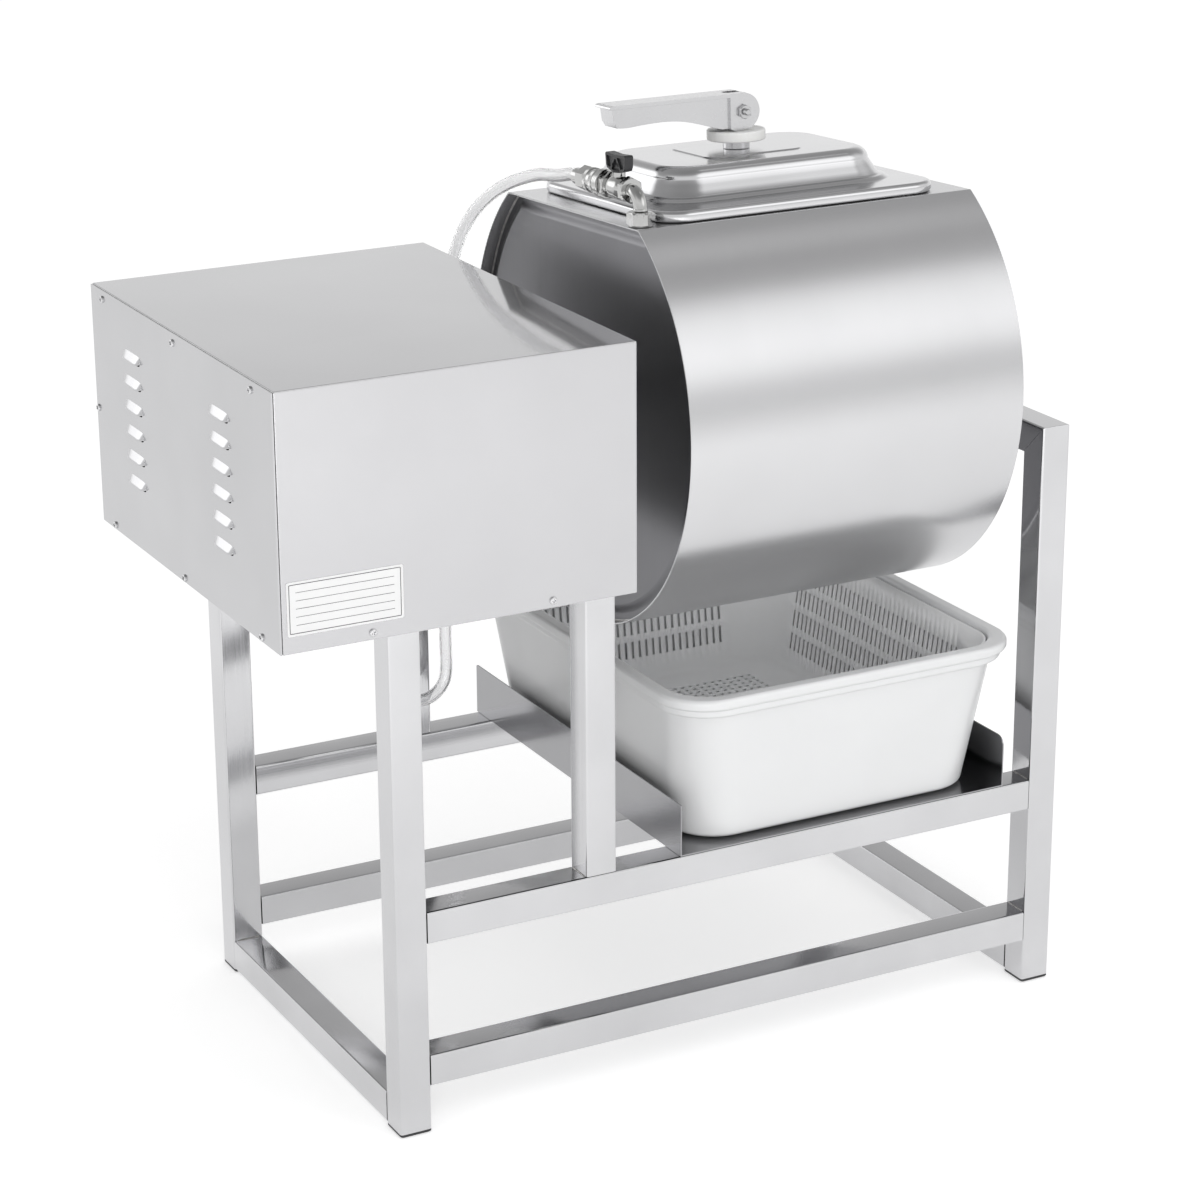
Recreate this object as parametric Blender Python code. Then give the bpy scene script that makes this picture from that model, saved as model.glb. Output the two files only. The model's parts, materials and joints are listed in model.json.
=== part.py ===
"""Meat vacuum tumbler: a drum with a flat-topped lid on a square-tube stand, driven from a sheet housing.

Metres, +Z up, +X along the drum's axis towards the right-hand posts, -Y the front, where the basin comes out.
Inside the stand, x is counted from the left legs' outer face, y from the middle plane and z from the floor.
On the drum, s runs across its flat towards the back and n stands square to it.
"""

import math

import bmesh
import bpy
from mathutils import Matrix, Vector

for old in list(bpy.data.objects):
    bpy.data.objects.remove(old)

# Clearances, and how far a cutter runs past what it cuts
GAP = 0.0003
CUT = 0.005

# Steps round turned shapes, corners and bends
SPIN_STEPS = 20
FINE_STEPS = 24
HOLE_STEPS = 16
ARC_STEPS = 12
ROLL_STEPS = 4
CORNER_STEPS = 4
SMALL_CORNER_STEPS = 3
EDGE_STEPS = 2
SMOOTH_ANGLE = 32
EDGE_ANGLE = 40

# Stand of square tube
TUBE = 0.030
TUBE_WALL = 0.0012
TUBE_EDGE = 0.0022
TUBE_EDGE_STEPS = 2
FRAME_LENGTH = 0.6845
FRAME_WIDTH = 0.4125
FOOT_PAD = 0.003
FOOT_PLUG = 0.012
MID_POST_X = 0.1845
POST_TOP = 0.5532
MIDDLE_RAIL_TOP = 0.2094
BOTTOM_RAIL_UNDER = 0.0438
HALF_WIDTH = FRAME_WIDTH / 2
SIDE_Y = HALF_WIDTH - TUBE / 2
RIGHT_POST_X = FRAME_LENGTH - TUBE

# Drive housing of folded sheet
SHEET = 0.0012
HOUSING_LEFT = -0.0961
HOUSING_RIGHT = 0.2338
HOUSING_UNDER = 0.4666
HOUSING_TOP = 0.6893
HOUSING_WRAP = 0.0034
HOUSING_FOLD = 0.0012
SEAM_FLANGE = 0.014
PAN_SKIRT = 0.0145
PAN_LIFT = 0.0006
HOUSING_HALF = HALF_WIDTH + HOUSING_WRAP
PAN_UNDER = HOUSING_UNDER + PAN_LIFT + PAN_SKIRT
PAN_TOP = PAN_UNDER + SHEET
SHAFT_HOLE = 0.014

# Louvres of the left end cover
LOUVRE_LENGTH = 0.040
LOUVRE_HEIGHT = 0.0095
LOUVRE_RISE = 0.0040
LOUVRE_PITCH = 0.0229
LOUVRE_TOP_Z = 0.6442
LOUVRE_BACK_Y = 0.1103
LOUVRE_FRONT_Y = -0.0938
LOUVRE_ROWS = 6
LOUVRE_STATIONS = 5
LOUVRE_SKIN = 0.0010
LOUVRE_MOUTH = 0.0014
LOUVRE_SQUARENESS = 2.6
LOUVRE_END_SHARE = 0.985

# Louvre hood from its root to its lip: how far out and how high, as shares of its rise and half height
LOUVRE_HOOD_SHARES = ((0.0, 1.0), (0.62, 0.35), (1.0, -0.55), (1.0, -1.0))

# Drum
DRUM_LEFT = 0.2860
DRUM_RIGHT = 0.6287
DRUM_RADIUS = 0.2105
DRUM_FLAT = 0.1689
DRUM_WALL = 0.0015
DRUM_AXIS_Z = 0.5837
DRUM_REST_TURN = math.radians(3.05)
DRUM_ARC_STEPS = 45
END_INSET = 0.009
END_PLATE = 0.002
END_DISH = 0.006
END_DISH_MARGIN = 0.016
DISH_FOOT_SHARE = 0.45
DISH_KNEE_SHARE = 0.80
DISH_KNEE_DEPTH_SHARE = 0.35
DISH_FOOT_SHEET_SHARE = 0.30
DISH_KNEE_SHEET_SHARE = 0.60
PADDLE_HEIGHT = 0.042
PADDLE_FOOT = 0.026
PADDLE_SHEET = 0.002
PADDLE_END_GAP = 0.006
PADDLE_ANGLE = math.radians(105)

# Blade of a paddle under its foot and round its rolled tip: across and up, as shares of the sheet's thickness
PADDLE_NECK_SHARES = ((-0.5, -2.0), (0.5, -2.0))
PADDLE_TIP_SHARES = ((-1.5, 2.0), (-3.0, 0.0), (-2.0, -0.7), (0.1, 2.0))
DRUM_LENGTH = DRUM_RIGHT - DRUM_LEFT
DRUM_X = (DRUM_LEFT + DRUM_RIGHT) / 2

# Shafts and bearings
SHAFT_RADIUS = 0.0085
SHAFT_CLEARANCE = 0.0003
HUB_RADIUS = 0.016
HUB_LENGTH = 0.014
HUB_FLANGE_RADIUS = 0.045
HUB_FLANGE = 0.006
BLOCK_LENGTH = 0.118
BLOCK_BASE = 0.012
BLOCK_RADIUS = 0.028
BLOCK_BASE_EDGE = 0.004

# Chain drive
SPROCKET_X = 0.1560
SPROCKET_WIDTH = 0.006
CHAIN_PITCH = 0.0127
ROLLER_RADIUS = 0.0042
DRUM_TEETH = 24
MOTOR_TEETH = 12
TOOTH_RISE = 0.0042
SPROCKET_HUB = 0.017
SPROCKET_HUB_LENGTH = 0.010
CHAIN_WIDTH = 0.0130
CHAIN_PLATE = 0.0016
CHAIN_LINK = 0.0110
CHAIN_ARC_STEPS = 18
CHAIN_TIP_GAP = 0.0007

# Roller seat and tooth tip, as shares of a quarter turn round the roller and of the tooth's own turn
SEAT_SHARES = (-0.92, 0.0, 0.92)
TIP_SHARES = (0.42, 0.58)

# Gear motor and vacuum pump
MOTOR_Y = -0.120
MOTOR_AXIS_LIFT = 0.052
GEARBOX_LENGTH = 0.062
GEARBOX_WIDTH = 0.088
GEARBOX_EDGE = 0.008
MOTOR_RADIUS = 0.042
MOTOR_LENGTH = 0.118
MOTOR_FIN = 0.0025
MOTOR_FINS = 5
FOOT_PLATE = 0.006
FOOT_PLATE_OVER = 0.014
PUMP_RADIUS = 0.038
PUMP_LENGTH = 0.120
PUMP_LEFT = -0.020
PUMP_Y = 0.116
PUMP_AXIS_LIFT = 0.048
PUMP_HEAD_LENGTH = 0.058
PUMP_HEAD_WIDTH = 0.086
PUMP_HEAD_EDGE = 0.006

# Back end of the motor's can, and where its cooling fins start, reach and are grooved, as shares of its size
MOTOR_END_SHARES = ((0.0, 1.0), (0.86, 1.0), (1.0, 0.94))
MOTOR_FIN_START_SHARE = 0.76
MOTOR_FIN_SPAN_SHARE = 0.70
MOTOR_GROOVE_SHARES = (0.25, 0.75)

# Outline of the pump's round motor, as shares of its radius and length
PUMP_SHARES = ((0.0, 0.0), (0.80, 0.0), (0.97, 0.05), (1.0, 0.12), (1.0, 1.0), (0.0, 1.0))

# Suction port under the housing
PORT_X = 0.166
PORT_Y = 0.146
PORT_HEX = 0.011
PORT_COLLAR = 0.007
PORT_BARB_RADIUS = 0.0062
PORT_DROP = 0.036
PORT_BARBS = 3
PORT_HOLE_CLEARANCE = 0.001
PORT_TIP_SHARE = 0.72
PORT_ROOT_SHARE = 0.80
PORT_CREST_SHARE = 0.70
PORT_NECK_SHARE = 0.60

# Controls on the back panel
PANEL_Z = 0.628
SWITCH_X = 0.050
SWITCH_PLATE_WIDTH = 0.062
SWITCH_PLATE_HEIGHT = 0.036
SWITCH_BEZEL = 0.0025
SWITCH_DEPTH = 0.016
ROCKER_WIDTH = 0.0135
ROCKER_HEIGHT = 0.0220
ROCKER_SPACING = 0.028
ROCKER_CLEARANCE = 0.0008
ROCKER_DEPTH = 0.009
ROCKER_REST_TILT = math.radians(-7)
KNOB_X = 0.130
KNOB_RADIUS = 0.017
KNOB_DEPTH = 0.0125
KNOB_SPINDLE = 0.003
KNOB_FLUTES = 9
KNOB_SKIRT_SHARE = 1.05
KNOB_WAVE_SHARE = 0.03
GLAND_X = -0.040
GLAND_Z = 0.512
GLAND_RADIUS = 0.011
GLAND_LENGTH = 0.012
GLAND_NECK = 0.0077
GLAND_BORE = 0.0045

# One half of a rocker's side view: how high, as shares of its half height, with the lift of its tip
ROCKER_FOOT_SHARE = 0.55
ROCKER_WAIST_SHARE = 0.96
ROCKER_TIP_SHARE = 0.92
ROCKER_DIP_SHARE = 0.40
ROCKER_LIFT_SHARE = 0.16

# Loops up the timer knob: radius, depth, and whether the loop is fluted, as shares of the knob's own size
KNOB_SHARES = (
    (KNOB_SKIRT_SHARE, 0.15, False),
    (1.00, 0.25, True),
    (0.92, 0.93, True),
    (0.78, 1.00, False),
)

# Dome of the gland's nut, as shares of its radius and length
GLAND_DOME_SHARES = ((1.0, 0.35), (0.86, 0.42), (0.80, 0.80), (0.62, 1.0))

# Lid, in heights above the drum's flat
LID_HALF_X = 0.1450
LID_HALF_S = 0.1215
LID_CORNER = 0.030
LID_SHEET = 0.0015
RIM_UNDER = 0.0012
RIM_TOP = 0.0105
RIM_ROLL = 0.0045
LEDGE_HALF_X = 0.1235
LEDGE_HALF_S = 0.0870
LEDGE_CORNER = 0.041
LEDGE_RISE = 0.0030
DOME_FOOT_X = 0.1180
DOME_FOOT_S = 0.0815
DOME_FOOT_CORNER = 0.038
DOME_TOP_X = 0.1100
DOME_TOP_S = 0.0735
DOME_TOP_CORNER = 0.034
DOME_TOP = 0.0385
DOME_SHOULDER = 0.011
RECESS_X = 0.0500
RECESS_S = 0.0370
RECESS_CORNER = 0.010
RECESS_DEPTH = 0.0030
MOUTH_HALF_X = 0.1090
MOUTH_HALF_S = 0.0740
MOUTH_CORNER = 0.030
GASKET_MARGIN = 0.003
GASKET_WIDTH = 0.016

# Rings round the lid's small ledge: how far in, how much rounder and how high, as shares of the ledge's rise
LEDGE_SHARES = ((-1.0, 1.0, 0.0), (0.0, 0.0, 0.25), (0.3, 0.0, 0.9), (1.0, -0.5, 1.0))

# Foot of the dome: how far out and how high, as shares of the ledge's rise
DOME_FOOT_SHARES = ((0.2, 1.0), (0.0, 1.3))

# Rings round the recess: how far in, how much rounder and how deep, as shares of its depth
RECESS_SHARES = ((-1.0, 1.0, 0.0), (0.0, 0.0, 0.2), (0.4, 0.0, 1.0))

# Lid lock
STUD_RADIUS = 0.006
STUD_BOSS = 0.0123
STUD_BOSS_TOP = 0.0470
DISC_RADIUS = 0.0268
DISC_THICK = 0.0095
DISC_CROWN = 0.0015
EYE_HALF = 0.0075
EYE_THICK = 0.0084
PIVOT_RISE = 0.0168
LEVER_LENGTH = 0.1370
LEVER_HALF = 0.0145
LEVER_PLATE = 0.0034
LEVER_LIP = 0.0030
LEVER_CHEEK_WIDTH = 0.0048
LEVER_CHEEK_BACK = 0.0135
LEVER_RIM_WALL = 0.0035
LEVER_SLOT_X = 0.0180
LEVER_SLOT_S = 0.0110
LEVER_SLOT_STEPS = 5
LEVER_FRONT_SHARE = 0.20
LEVER_WALL_START_SHARE = 0.972
LEVER_WALL_DEPTH_SHARE = 0.86
LEVER_CHANNEL_SHARE = 0.93
LEVER_FORK_SHARE = 0.40
LEVER_SLOT_SHARE = 0.25

# Nose of the lever's plate: behind its tip and above its underside, as shares of its thickness
LEVER_NOSE_SHARES = ((1.0, 1.0), (0.2, 0.7), (0.0, 0.3), (0.4, 0.0))

# Heel of the lever's cheeks: behind the pivot and below it, as shares of their length and radius
LEVER_HEEL_SHARES = ((1.0, 0.90), (0.75, 1.0))

# Lower edge of the lever's side walls: behind the pivot and above it, as shares of its length and height
LEVER_EDGE_SHARES = (
    (0.960, 0.10),
    (0.935, -0.22),
    (0.860, -0.25),
    (0.720, -0.17),
    (0.580, -0.14),
    (0.460, -0.22),
    (0.350, -0.42),
    (0.240, -0.68),
    (0.150, -0.88),
)

# Lever pin and catch bar
PIN_RADIUS = 0.0030
PIN_CLEARANCE = 0.0003
PIN_NUT_RADIUS = 0.0058
PIN_NUT = 0.0040
PIN_END = 0.0045
PIN_TIP_SHARE = 0.80
PIN_FACE_SHARE = 0.90
BAR_HALF_LENGTH = 0.1000
BAR_HALF_WIDTH = 0.0110
BAR_THICK = 0.008
BAR_DROP = 0.0060
BAR_TOE = 0.0020
BAR_FLAT_SHARE = 0.70

# Valve, coupling and hose on the flat's front left corner
VALVE_X = 0.2980
ELBOW_S = -0.1085
VALVE_RISE = 0.0290
BUSH_HEX = 0.0108
BUSH_RISE = 0.0130
ELBOW_RADIUS = 0.0066
ELBOW_BEND = 0.0140
ELBOW_END_S = -0.0930
VALVE_HEX = 0.0104
VALVE_COLLAR = 0.0070
VALVE_BALL = 0.0106
VALVE_END_S = -0.0500
STEM_S = -0.0720
STEM_RADIUS = 0.0052
STEM_TOP = 0.0135
HANDLE_HALF = 0.0205
HANDLE_THICK = 0.0042
HANDLE_RISE = 0.0160
HANDLE_HUB = 0.0068
COUPLER_RING = 0.0132
COUPLER_RING_WIDTH = 0.0078
COUPLER_NECK = 0.0082
SLEEVE_RADIUS = 0.0114
SLEEVE_START_S = -0.0368
SLEEVE_END_S = -0.0205
NUT_HEX = 0.0100
NUT_TIP_RADIUS = 0.0078
NUT_END_S = 0.0080
HOSE_RADIUS = 0.0059
HOSE_SIDE_STEPS = 2
ELBOW_STEPS = 5
VALVE_COLLAR_SHARE = 0.70
HANDLE_HUB_SHARES = ((0.0, 0.0), (1.0, 0.0), (1.0, 0.42), (0.8, 0.52), (0.0, 0.52))
NUT_HEX_SHARE = 0.52
NUT_SHOULDER_SHARE = 1.10

# Ball housing of the valve: radius, and place from the stem, as shares of the ball's radius
VALVE_BALL_SHARES = ((0.80, -1.15), (1.0, -0.75), (1.0, 0.75), (0.80, 1.15))

# Groove round the coupler's sleeve: radius and place along it, as shares of the sleeve's own
SLEEVE_GROOVE_SHARES = ((1.0, 0.30), (0.93, 0.36), (0.93, 0.64), (1.0, 0.70))

# Tray, basin and basket
TRAY_LEFT = 0.2790
TRAY_RIGHT = 0.6240
TRAY_FLANGE = 0.0480
TRAY_CORNER = 0.010
TRAY_CORNER_STEPS = 6
BASIN_X = 0.4515
BASIN_FLOOR_X = 0.1540
BASIN_FLOOR_Y = 0.1960
BASIN_NECK_X = 0.1705
BASIN_NECK_Y = 0.2140
BASIN_RIM_X = 0.1810
BASIN_RIM_Y = 0.2240
BASIN_RIM_TOP = 0.3580
BASIN_RIM_BAND = 0.0110
BASIN_STEP_BAND = 0.0080
BASIN_STEP_IN = 0.0040
BASIN_ROLL = 0.0035
BASIN_WALL = 0.0025
BASIN_CORNER = 0.046
BASIN_FOOT_ROUND = 0.012
BASIN_LIP = 0.0035
BASIN_EDGE_SHARE = 0.30
BASIN_INNER_FOOT_SHARE = 0.70
BASKET_GAP = 0.0022
BASKET_WALL = 0.0020
BASKET_RIM = 0.0020
SLOT_HEIGHT = 0.0220
SLOT_WIDTH = 0.0070
SLOT_PITCH = 0.0260
SLOT_ROW_PITCH = 0.0310
SLOT_ROWS = 2
SLOT_FIRST_Z = 0.283

# Rounded foot of the basin's wall: how far in and how high, as shares of its round
BASIN_FOOT_SHARES = ((1.0, 0.0), (0.4, 0.12), (0.0, 0.55))

# Hose route, points chosen by hand in the stand's own frame, from the nut to the suction port
HOSE_ROUTE = (
    (0.2975, 0.0600, 0.7735),
    (0.2940, 0.0840, 0.7705),
    (0.2885, 0.1060, 0.7640),
    (0.2815, 0.1270, 0.7550),
    (0.2745, 0.1460, 0.7430),
    (0.2690, 0.1650, 0.7270),
    (0.2655, 0.1830, 0.7080),
    (0.2630, 0.1975, 0.6860),
    (0.2610, 0.2080, 0.6600),
    (0.2600, 0.2140, 0.6250),
    (0.2585, 0.2130, 0.5800),
    (0.2560, 0.2060, 0.5300),
    (0.2500, 0.1935, 0.4750),
    (0.2405, 0.1780, 0.4200),
    (0.2300, 0.1640, 0.3700),
    (0.2230, 0.1565, 0.3300),
    (0.2213, 0.1535, 0.3060),
    (0.2207, 0.1520, 0.2840),
    (0.2171, 0.1505, 0.2704),
    (0.2071, 0.1490, 0.2604),
    (0.1935, 0.1475, 0.2568),
    (0.1799, 0.1465, 0.2604),
    (0.1699, 0.1460, 0.2704),
    (0.1663, 0.1460, 0.2840),
    (0.1660, 0.1460, 0.3120),
    (0.1660, 0.1460, 0.3500),
    (0.1660, 0.1460, 0.4000),
)
HOSE_POINTS_PER_LEG = 2

# The stand's middle, which the whole machine is centred on
LEFT_END = HOUSING_LEFT - LOUVRE_RISE
MIDDLE_X = (LEFT_END + FRAME_LENGTH) / 2


def material(name, colour, roughness, metallic=0.0):
    """A plain Principled material."""
    made = bpy.data.materials.new(name)
    made.use_nodes = True
    made.diffuse_color = (*colour, 1.0)
    shader = made.node_tree.nodes["Principled BSDF"]
    shader.inputs["Base Color"].default_value = (*colour, 1.0)
    shader.inputs["Roughness"].default_value = roughness
    shader.inputs["Metallic"].default_value = metallic
    return made


TUBE_STEEL = material("tube_steel", (0.66, 0.66, 0.67), 0.30, 1.0)
SHEET_STEEL = material("sheet_steel", (0.70, 0.70, 0.71), 0.18, 1.0)
DRUM_STEEL = material("drum_steel", (0.68, 0.68, 0.69), 0.32, 1.0)
END_STEEL = material("end_steel", (0.42, 0.42, 0.44), 0.38, 1.0)
LID_STEEL = material("lid_steel", (0.74, 0.74, 0.75), 0.22, 1.0)
BRIGHT_STEEL = material("bright_steel", (0.62, 0.62, 0.63), 0.25, 1.0)
CAST_ALLOY = material("cast_alloy", (0.72, 0.73, 0.74), 0.42, 1.0)
PLATED_BRASS = material("plated_brass", (0.66, 0.64, 0.60), 0.25, 1.0)
BLACK_PLASTIC = material("black_plastic", (0.02, 0.02, 0.022), 0.45)
WHITE_PLASTIC = material("white_plastic", (0.86, 0.87, 0.88), 0.35)
NYLON = material("nylon", (0.82, 0.82, 0.80), 0.45)
RUBBER = material("rubber", (0.05, 0.05, 0.05), 0.75)
CLEAR_HOSE = material("clear_hose", (0.80, 0.83, 0.85), 0.20)
MOTOR_PAINT = material("motor_paint", (0.10, 0.16, 0.26), 0.50)
CAST_IRON = material("cast_iron", (0.16, 0.17, 0.18), 0.60, 0.6)


def empty(name, parent=None, location=(0, 0, 0), rotation=(0, 0, 0)):
    """A frame that pieces are placed in."""
    made = bpy.data.objects.new(name, None)
    bpy.context.scene.collection.objects.link(made)
    made.parent = parent
    made.location = location
    made.rotation_euler = rotation
    return made


def place(name, bm, finish, parent, location=(0, 0, 0), rotation=(0, 0, 0), smooth=True):
    """Turns a bmesh into a named object with one material."""
    bmesh.ops.recalc_face_normals(bm, faces=bm.faces)
    mesh = bpy.data.meshes.new(name)
    bm.to_mesh(mesh)
    bm.free()
    mesh.materials.append(finish)
    if smooth:
        mesh.shade_smooth()
        mesh.set_sharp_from_angle(angle=math.radians(SMOOTH_ANGLE))
    made = bpy.data.objects.new(name, mesh)
    bpy.context.scene.collection.objects.link(made)
    made.parent = parent
    made.location = location
    made.rotation_euler = rotation
    return made


def tool(name, bm, parent, location=(0, 0, 0), rotation=(0, 0, 0)):
    """A hidden shape that a Boolean uses."""
    made = place(name, bm, RUBBER, parent, location, rotation, smooth=False)
    made.hide_render = True
    made.display_type = "WIRE"
    return made


def cut(body, cutter, operation="DIFFERENCE"):
    """Adds one exact Boolean to a body."""
    step = body.modifiers.new(cutter.name, "BOOLEAN")
    step.operation = operation
    step.solver = "EXACT"
    step.object = cutter


def skin(loops, wrap=False):
    """Quads between loops of equal length; the ends are capped, or joined to each other when wrap is set."""
    bm = bmesh.new()
    rows = [[bm.verts.new(point) for point in loop] for loop in loops]
    count = len(rows[0])
    pairs = list(zip(rows, rows[1:]))
    if wrap:
        pairs.append((rows[-1], rows[0]))
    for low, high in pairs:
        for i in range(count):
            j = (i + 1) % count
            bm.faces.new((low[i], low[j], high[j], high[i]))
    if not wrap:
        bm.faces.new(rows[0])
        bm.faces.new(rows[-1])
    return bm


def turned(profile, steps=SPIN_STEPS, axis=(0, 0, 1)):
    """A profile of (radius, height) points spun round an axis. Points on the axis close it."""
    bm = bmesh.new()
    along = Vector(axis)
    side = along.orthogonal().normalized()
    verts = [bm.verts.new(side * radius + along * height) for radius, height in profile]
    edges = [bm.edges.new(pair) for pair in zip(verts, verts[1:])]
    if profile[0][0] > 0:
        edges.append(bm.edges.new((verts[-1], verts[0])))
    bmesh.ops.spin(
        bm,
        geom=verts + edges,
        cent=(0, 0, 0),
        axis=axis,
        angle=2 * math.pi,
        steps=steps,
        use_merge=True,
    )
    bmesh.ops.remove_doubles(bm, verts=bm.verts, dist=GAP / 1000)
    return bm


def prism(outline, length, along="Z"):
    """A flat outline extruded from zero to a length: in (x, y) along Z, (y, z) along X or (x, z) along Y."""
    bm = bmesh.new()
    points = {
        "X": lambda a, b: (0, a, b),
        "Y": lambda a, b: (a, 0, b),
        "Z": lambda a, b: (a, b, 0),
    }[along]
    move = {"X": (length, 0, 0), "Y": (0, length, 0), "Z": (0, 0, length)}[along]
    face = bm.faces.new([bm.verts.new(points(a, b)) for a, b in outline])
    grown = bmesh.ops.extrude_face_region(bm, geom=[face])["geom"]
    moved = [part for part in grown if isinstance(part, bmesh.types.BMVert)]
    bmesh.ops.translate(bm, verts=moved, vec=move)
    return bm


def box(low, high):
    """A rectangular block between two corners."""
    (x0, y0, z0), (x1, y1, z1) = low, high
    bm = prism(((x0, y0), (x1, y0), (x1, y1), (x0, y1)), z1 - z0)
    bmesh.ops.translate(bm, verts=bm.verts, vec=(0, 0, z0))
    return bm


def moved(bm, offset=(0, 0, 0), turn=None):
    """Turns, then shifts, the whole of a bmesh."""
    if turn is not None:
        bmesh.ops.transform(bm, matrix=turn, verts=bm.verts)
    bmesh.ops.translate(bm, verts=bm.verts, vec=offset)
    return bm


def merged(*parts):
    """One bmesh that holds several, which may touch but aren't joined."""
    whole = bmesh.new()
    for part in parts:
        bmesh.ops.recalc_face_normals(part, faces=part.faces)
        mesh = bpy.data.meshes.new("part")
        part.to_mesh(mesh)
        part.free()
        whole.from_mesh(mesh)
        bpy.data.meshes.remove(mesh)
    return whole


def rounded(half_a, half_b, radius, steps=CORNER_STEPS):
    """The outline of a rectangle with round corners, anticlockwise from the corner at +a, +b."""
    points = []
    for quarter, (sign_a, sign_b) in enumerate(((1, 1), (-1, 1), (-1, -1), (1, -1))):
        for step in range(steps + 1):
            angle = math.pi / 2 * (quarter + step / steps)
            a = sign_a * (half_a - radius) + radius * math.cos(angle)
            b = sign_b * (half_b - radius) + radius * math.sin(angle)
            points.append((a, b))
    return points


def circle(radius, steps=SPIN_STEPS, turn=0.0):
    """Points round a circle."""
    angles = [2 * math.pi * i / steps + turn for i in range(steps)]
    return [(radius * math.cos(a), radius * math.sin(a)) for a in angles]


def hexagon(flat_radius):
    """A nut's outline from the distance of its flats to its middle, with flats facing the first axis."""
    return circle(flat_radius / math.cos(math.pi / 6), 6, math.pi / 6)


def loop_at(outline, height):
    """An outline lifted to a height."""
    return [(a, b, height) for a, b in outline]


def bevelled(body, width):
    """Rounds a body's sharp edges."""
    step = body.modifiers.new("edges", "BEVEL")
    step.width = width
    step.segments = EDGE_STEPS
    step.limit_method = "ANGLE"
    step.angle_limit = math.radians(EDGE_ANGLE)
    step.harden_normals = False
    return body


# Frames that carry the pieces
machine = empty("machine_middle", location=(-MIDDLE_X, 0, 0))
drum_axis = empty("drum_axis", machine, (0, 0, DRUM_AXIS_Z), (-DRUM_REST_TURN, 0, 0))
flat_frame = empty("drum_flat", drum_axis, (0, 0, DRUM_FLAT))
lid_frame = empty("lid_middle", flat_frame, (DRUM_X, 0, 0))


def square_tube(name, length, location, rotation, low_mitre=0, high_mitre=0):
    """A hollow square tube along its own Z. A mitre of 1 or -1 leaves the end longest at +y or -y."""
    half = TUBE / 2
    outer = rounded(half, half, TUBE_EDGE, TUBE_EDGE_STEPS)
    inner = rounded(half - TUBE_WALL, half - TUBE_WALL, TUBE_EDGE - TUBE_WALL, TUBE_EDGE_STEPS)

    def foot(y):
        return half - low_mitre * y if low_mitre else 0

    def head(y):
        return length - half + high_mitre * y if high_mitre else length

    loops = (
        [(x, y, foot(y)) for x, y in outer],
        [(x, y, head(y)) for x, y in outer],
        [(x, y, head(y)) for x, y in inner],
        [(x, y, foot(y)) for x, y in inner],
    )
    return place(name, skin(loops, wrap=True), TUBE_STEEL, machine, location, rotation)


ALONG_X = (0, math.pi / 2, 0)
ALONG_Y = (-math.pi / 2, 0, 0)
UPRIGHT = (0, 0, 0)


def post(name, x, side, low, high, mitred=False):
    """An upright tube; side is -1 at the front and 1 at the back, and a mitre slopes towards the middle."""
    square_tube(name, high - low, (x + TUBE / 2, side * SIDE_Y, low), UPRIGHT, 0, side if mitred else 0)


def long_rail(name, side, under):
    """A rail along X between the left legs and the right posts."""
    length = FRAME_LENGTH - 2 * TUBE - 2 * GAP
    square_tube(name, length, (TUBE + GAP, side * SIDE_Y, under + TUBE / 2), ALONG_X)


def side_rail(name, x, under):
    """A rail along Y between a front and a back leg."""
    length = FRAME_WIDTH - 2 * TUBE - 2 * GAP
    square_tube(name, length, (x + TUBE / 2, -length / 2, under + TUBE / 2), ALONG_Y)


def bearing_rail(name, x):
    """The top rail along Y that is mitred into two posts and carries a bearing."""
    length = FRAME_WIDTH - 2 * GAP
    square_tube(name, length, (x + TUBE / 2, -length / 2, POST_TOP - TUBE / 2), ALONG_Y, -1, -1)


def foot(name, x, side):
    """A plastic end cap with a thin pad below the tube and a ribbed plug inside it."""
    half = TUBE / 2
    plug = half - TUBE_WALL - GAP
    edge = TUBE_EDGE - TUBE_WALL
    pad = rounded(half, half, TUBE_EDGE, TUBE_EDGE_STEPS)
    inside = rounded(plug, plug, edge, TUBE_EDGE_STEPS)
    loops = (
        loop_at(rounded(half - FOOT_PAD / 3, half - FOOT_PAD / 3, TUBE_EDGE, TUBE_EDGE_STEPS), 0),
        loop_at(pad, FOOT_PAD / 3),
        loop_at(pad, FOOT_PAD - GAP),
        loop_at(inside, FOOT_PAD - GAP),
        loop_at(inside, FOOT_PAD + FOOT_PLUG),
    )
    place(name, skin(loops), BLACK_PLASTIC, machine, (x + half, side * SIDE_Y, 0))


def build_stand():
    """Legs, posts, rails and feet."""
    leg_top = PAN_UNDER - GAP
    mid_foot = MIDDLE_RAIL_TOP + GAP
    for side, where in ((-1, "front"), (1, "back")):
        post(f"{where}_left_leg", 0, side, FOOT_PAD, leg_top)
        post(f"{where}_mid_post", MID_POST_X, side, mid_foot, POST_TOP, mitred=True)
        post(f"{where}_right_post", RIGHT_POST_X, side, FOOT_PAD, POST_TOP, mitred=True)
        long_rail(f"{where}_middle_rail", side, MIDDLE_RAIL_TOP - TUBE)
        long_rail(f"{where}_bottom_rail", side, BOTTOM_RAIL_UNDER)
        foot(f"foot_{where}_left", 0, side)
        foot(f"foot_{where}_right", RIGHT_POST_X, side)
    side_rail("left_side_rail", 0, FOOT_PAD)
    side_rail("right_side_rail", RIGHT_POST_X, FOOT_PAD)
    bearing_rail("left_bearing_rail", MID_POST_X)
    bearing_rail("right_bearing_rail", RIGHT_POST_X)


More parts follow.
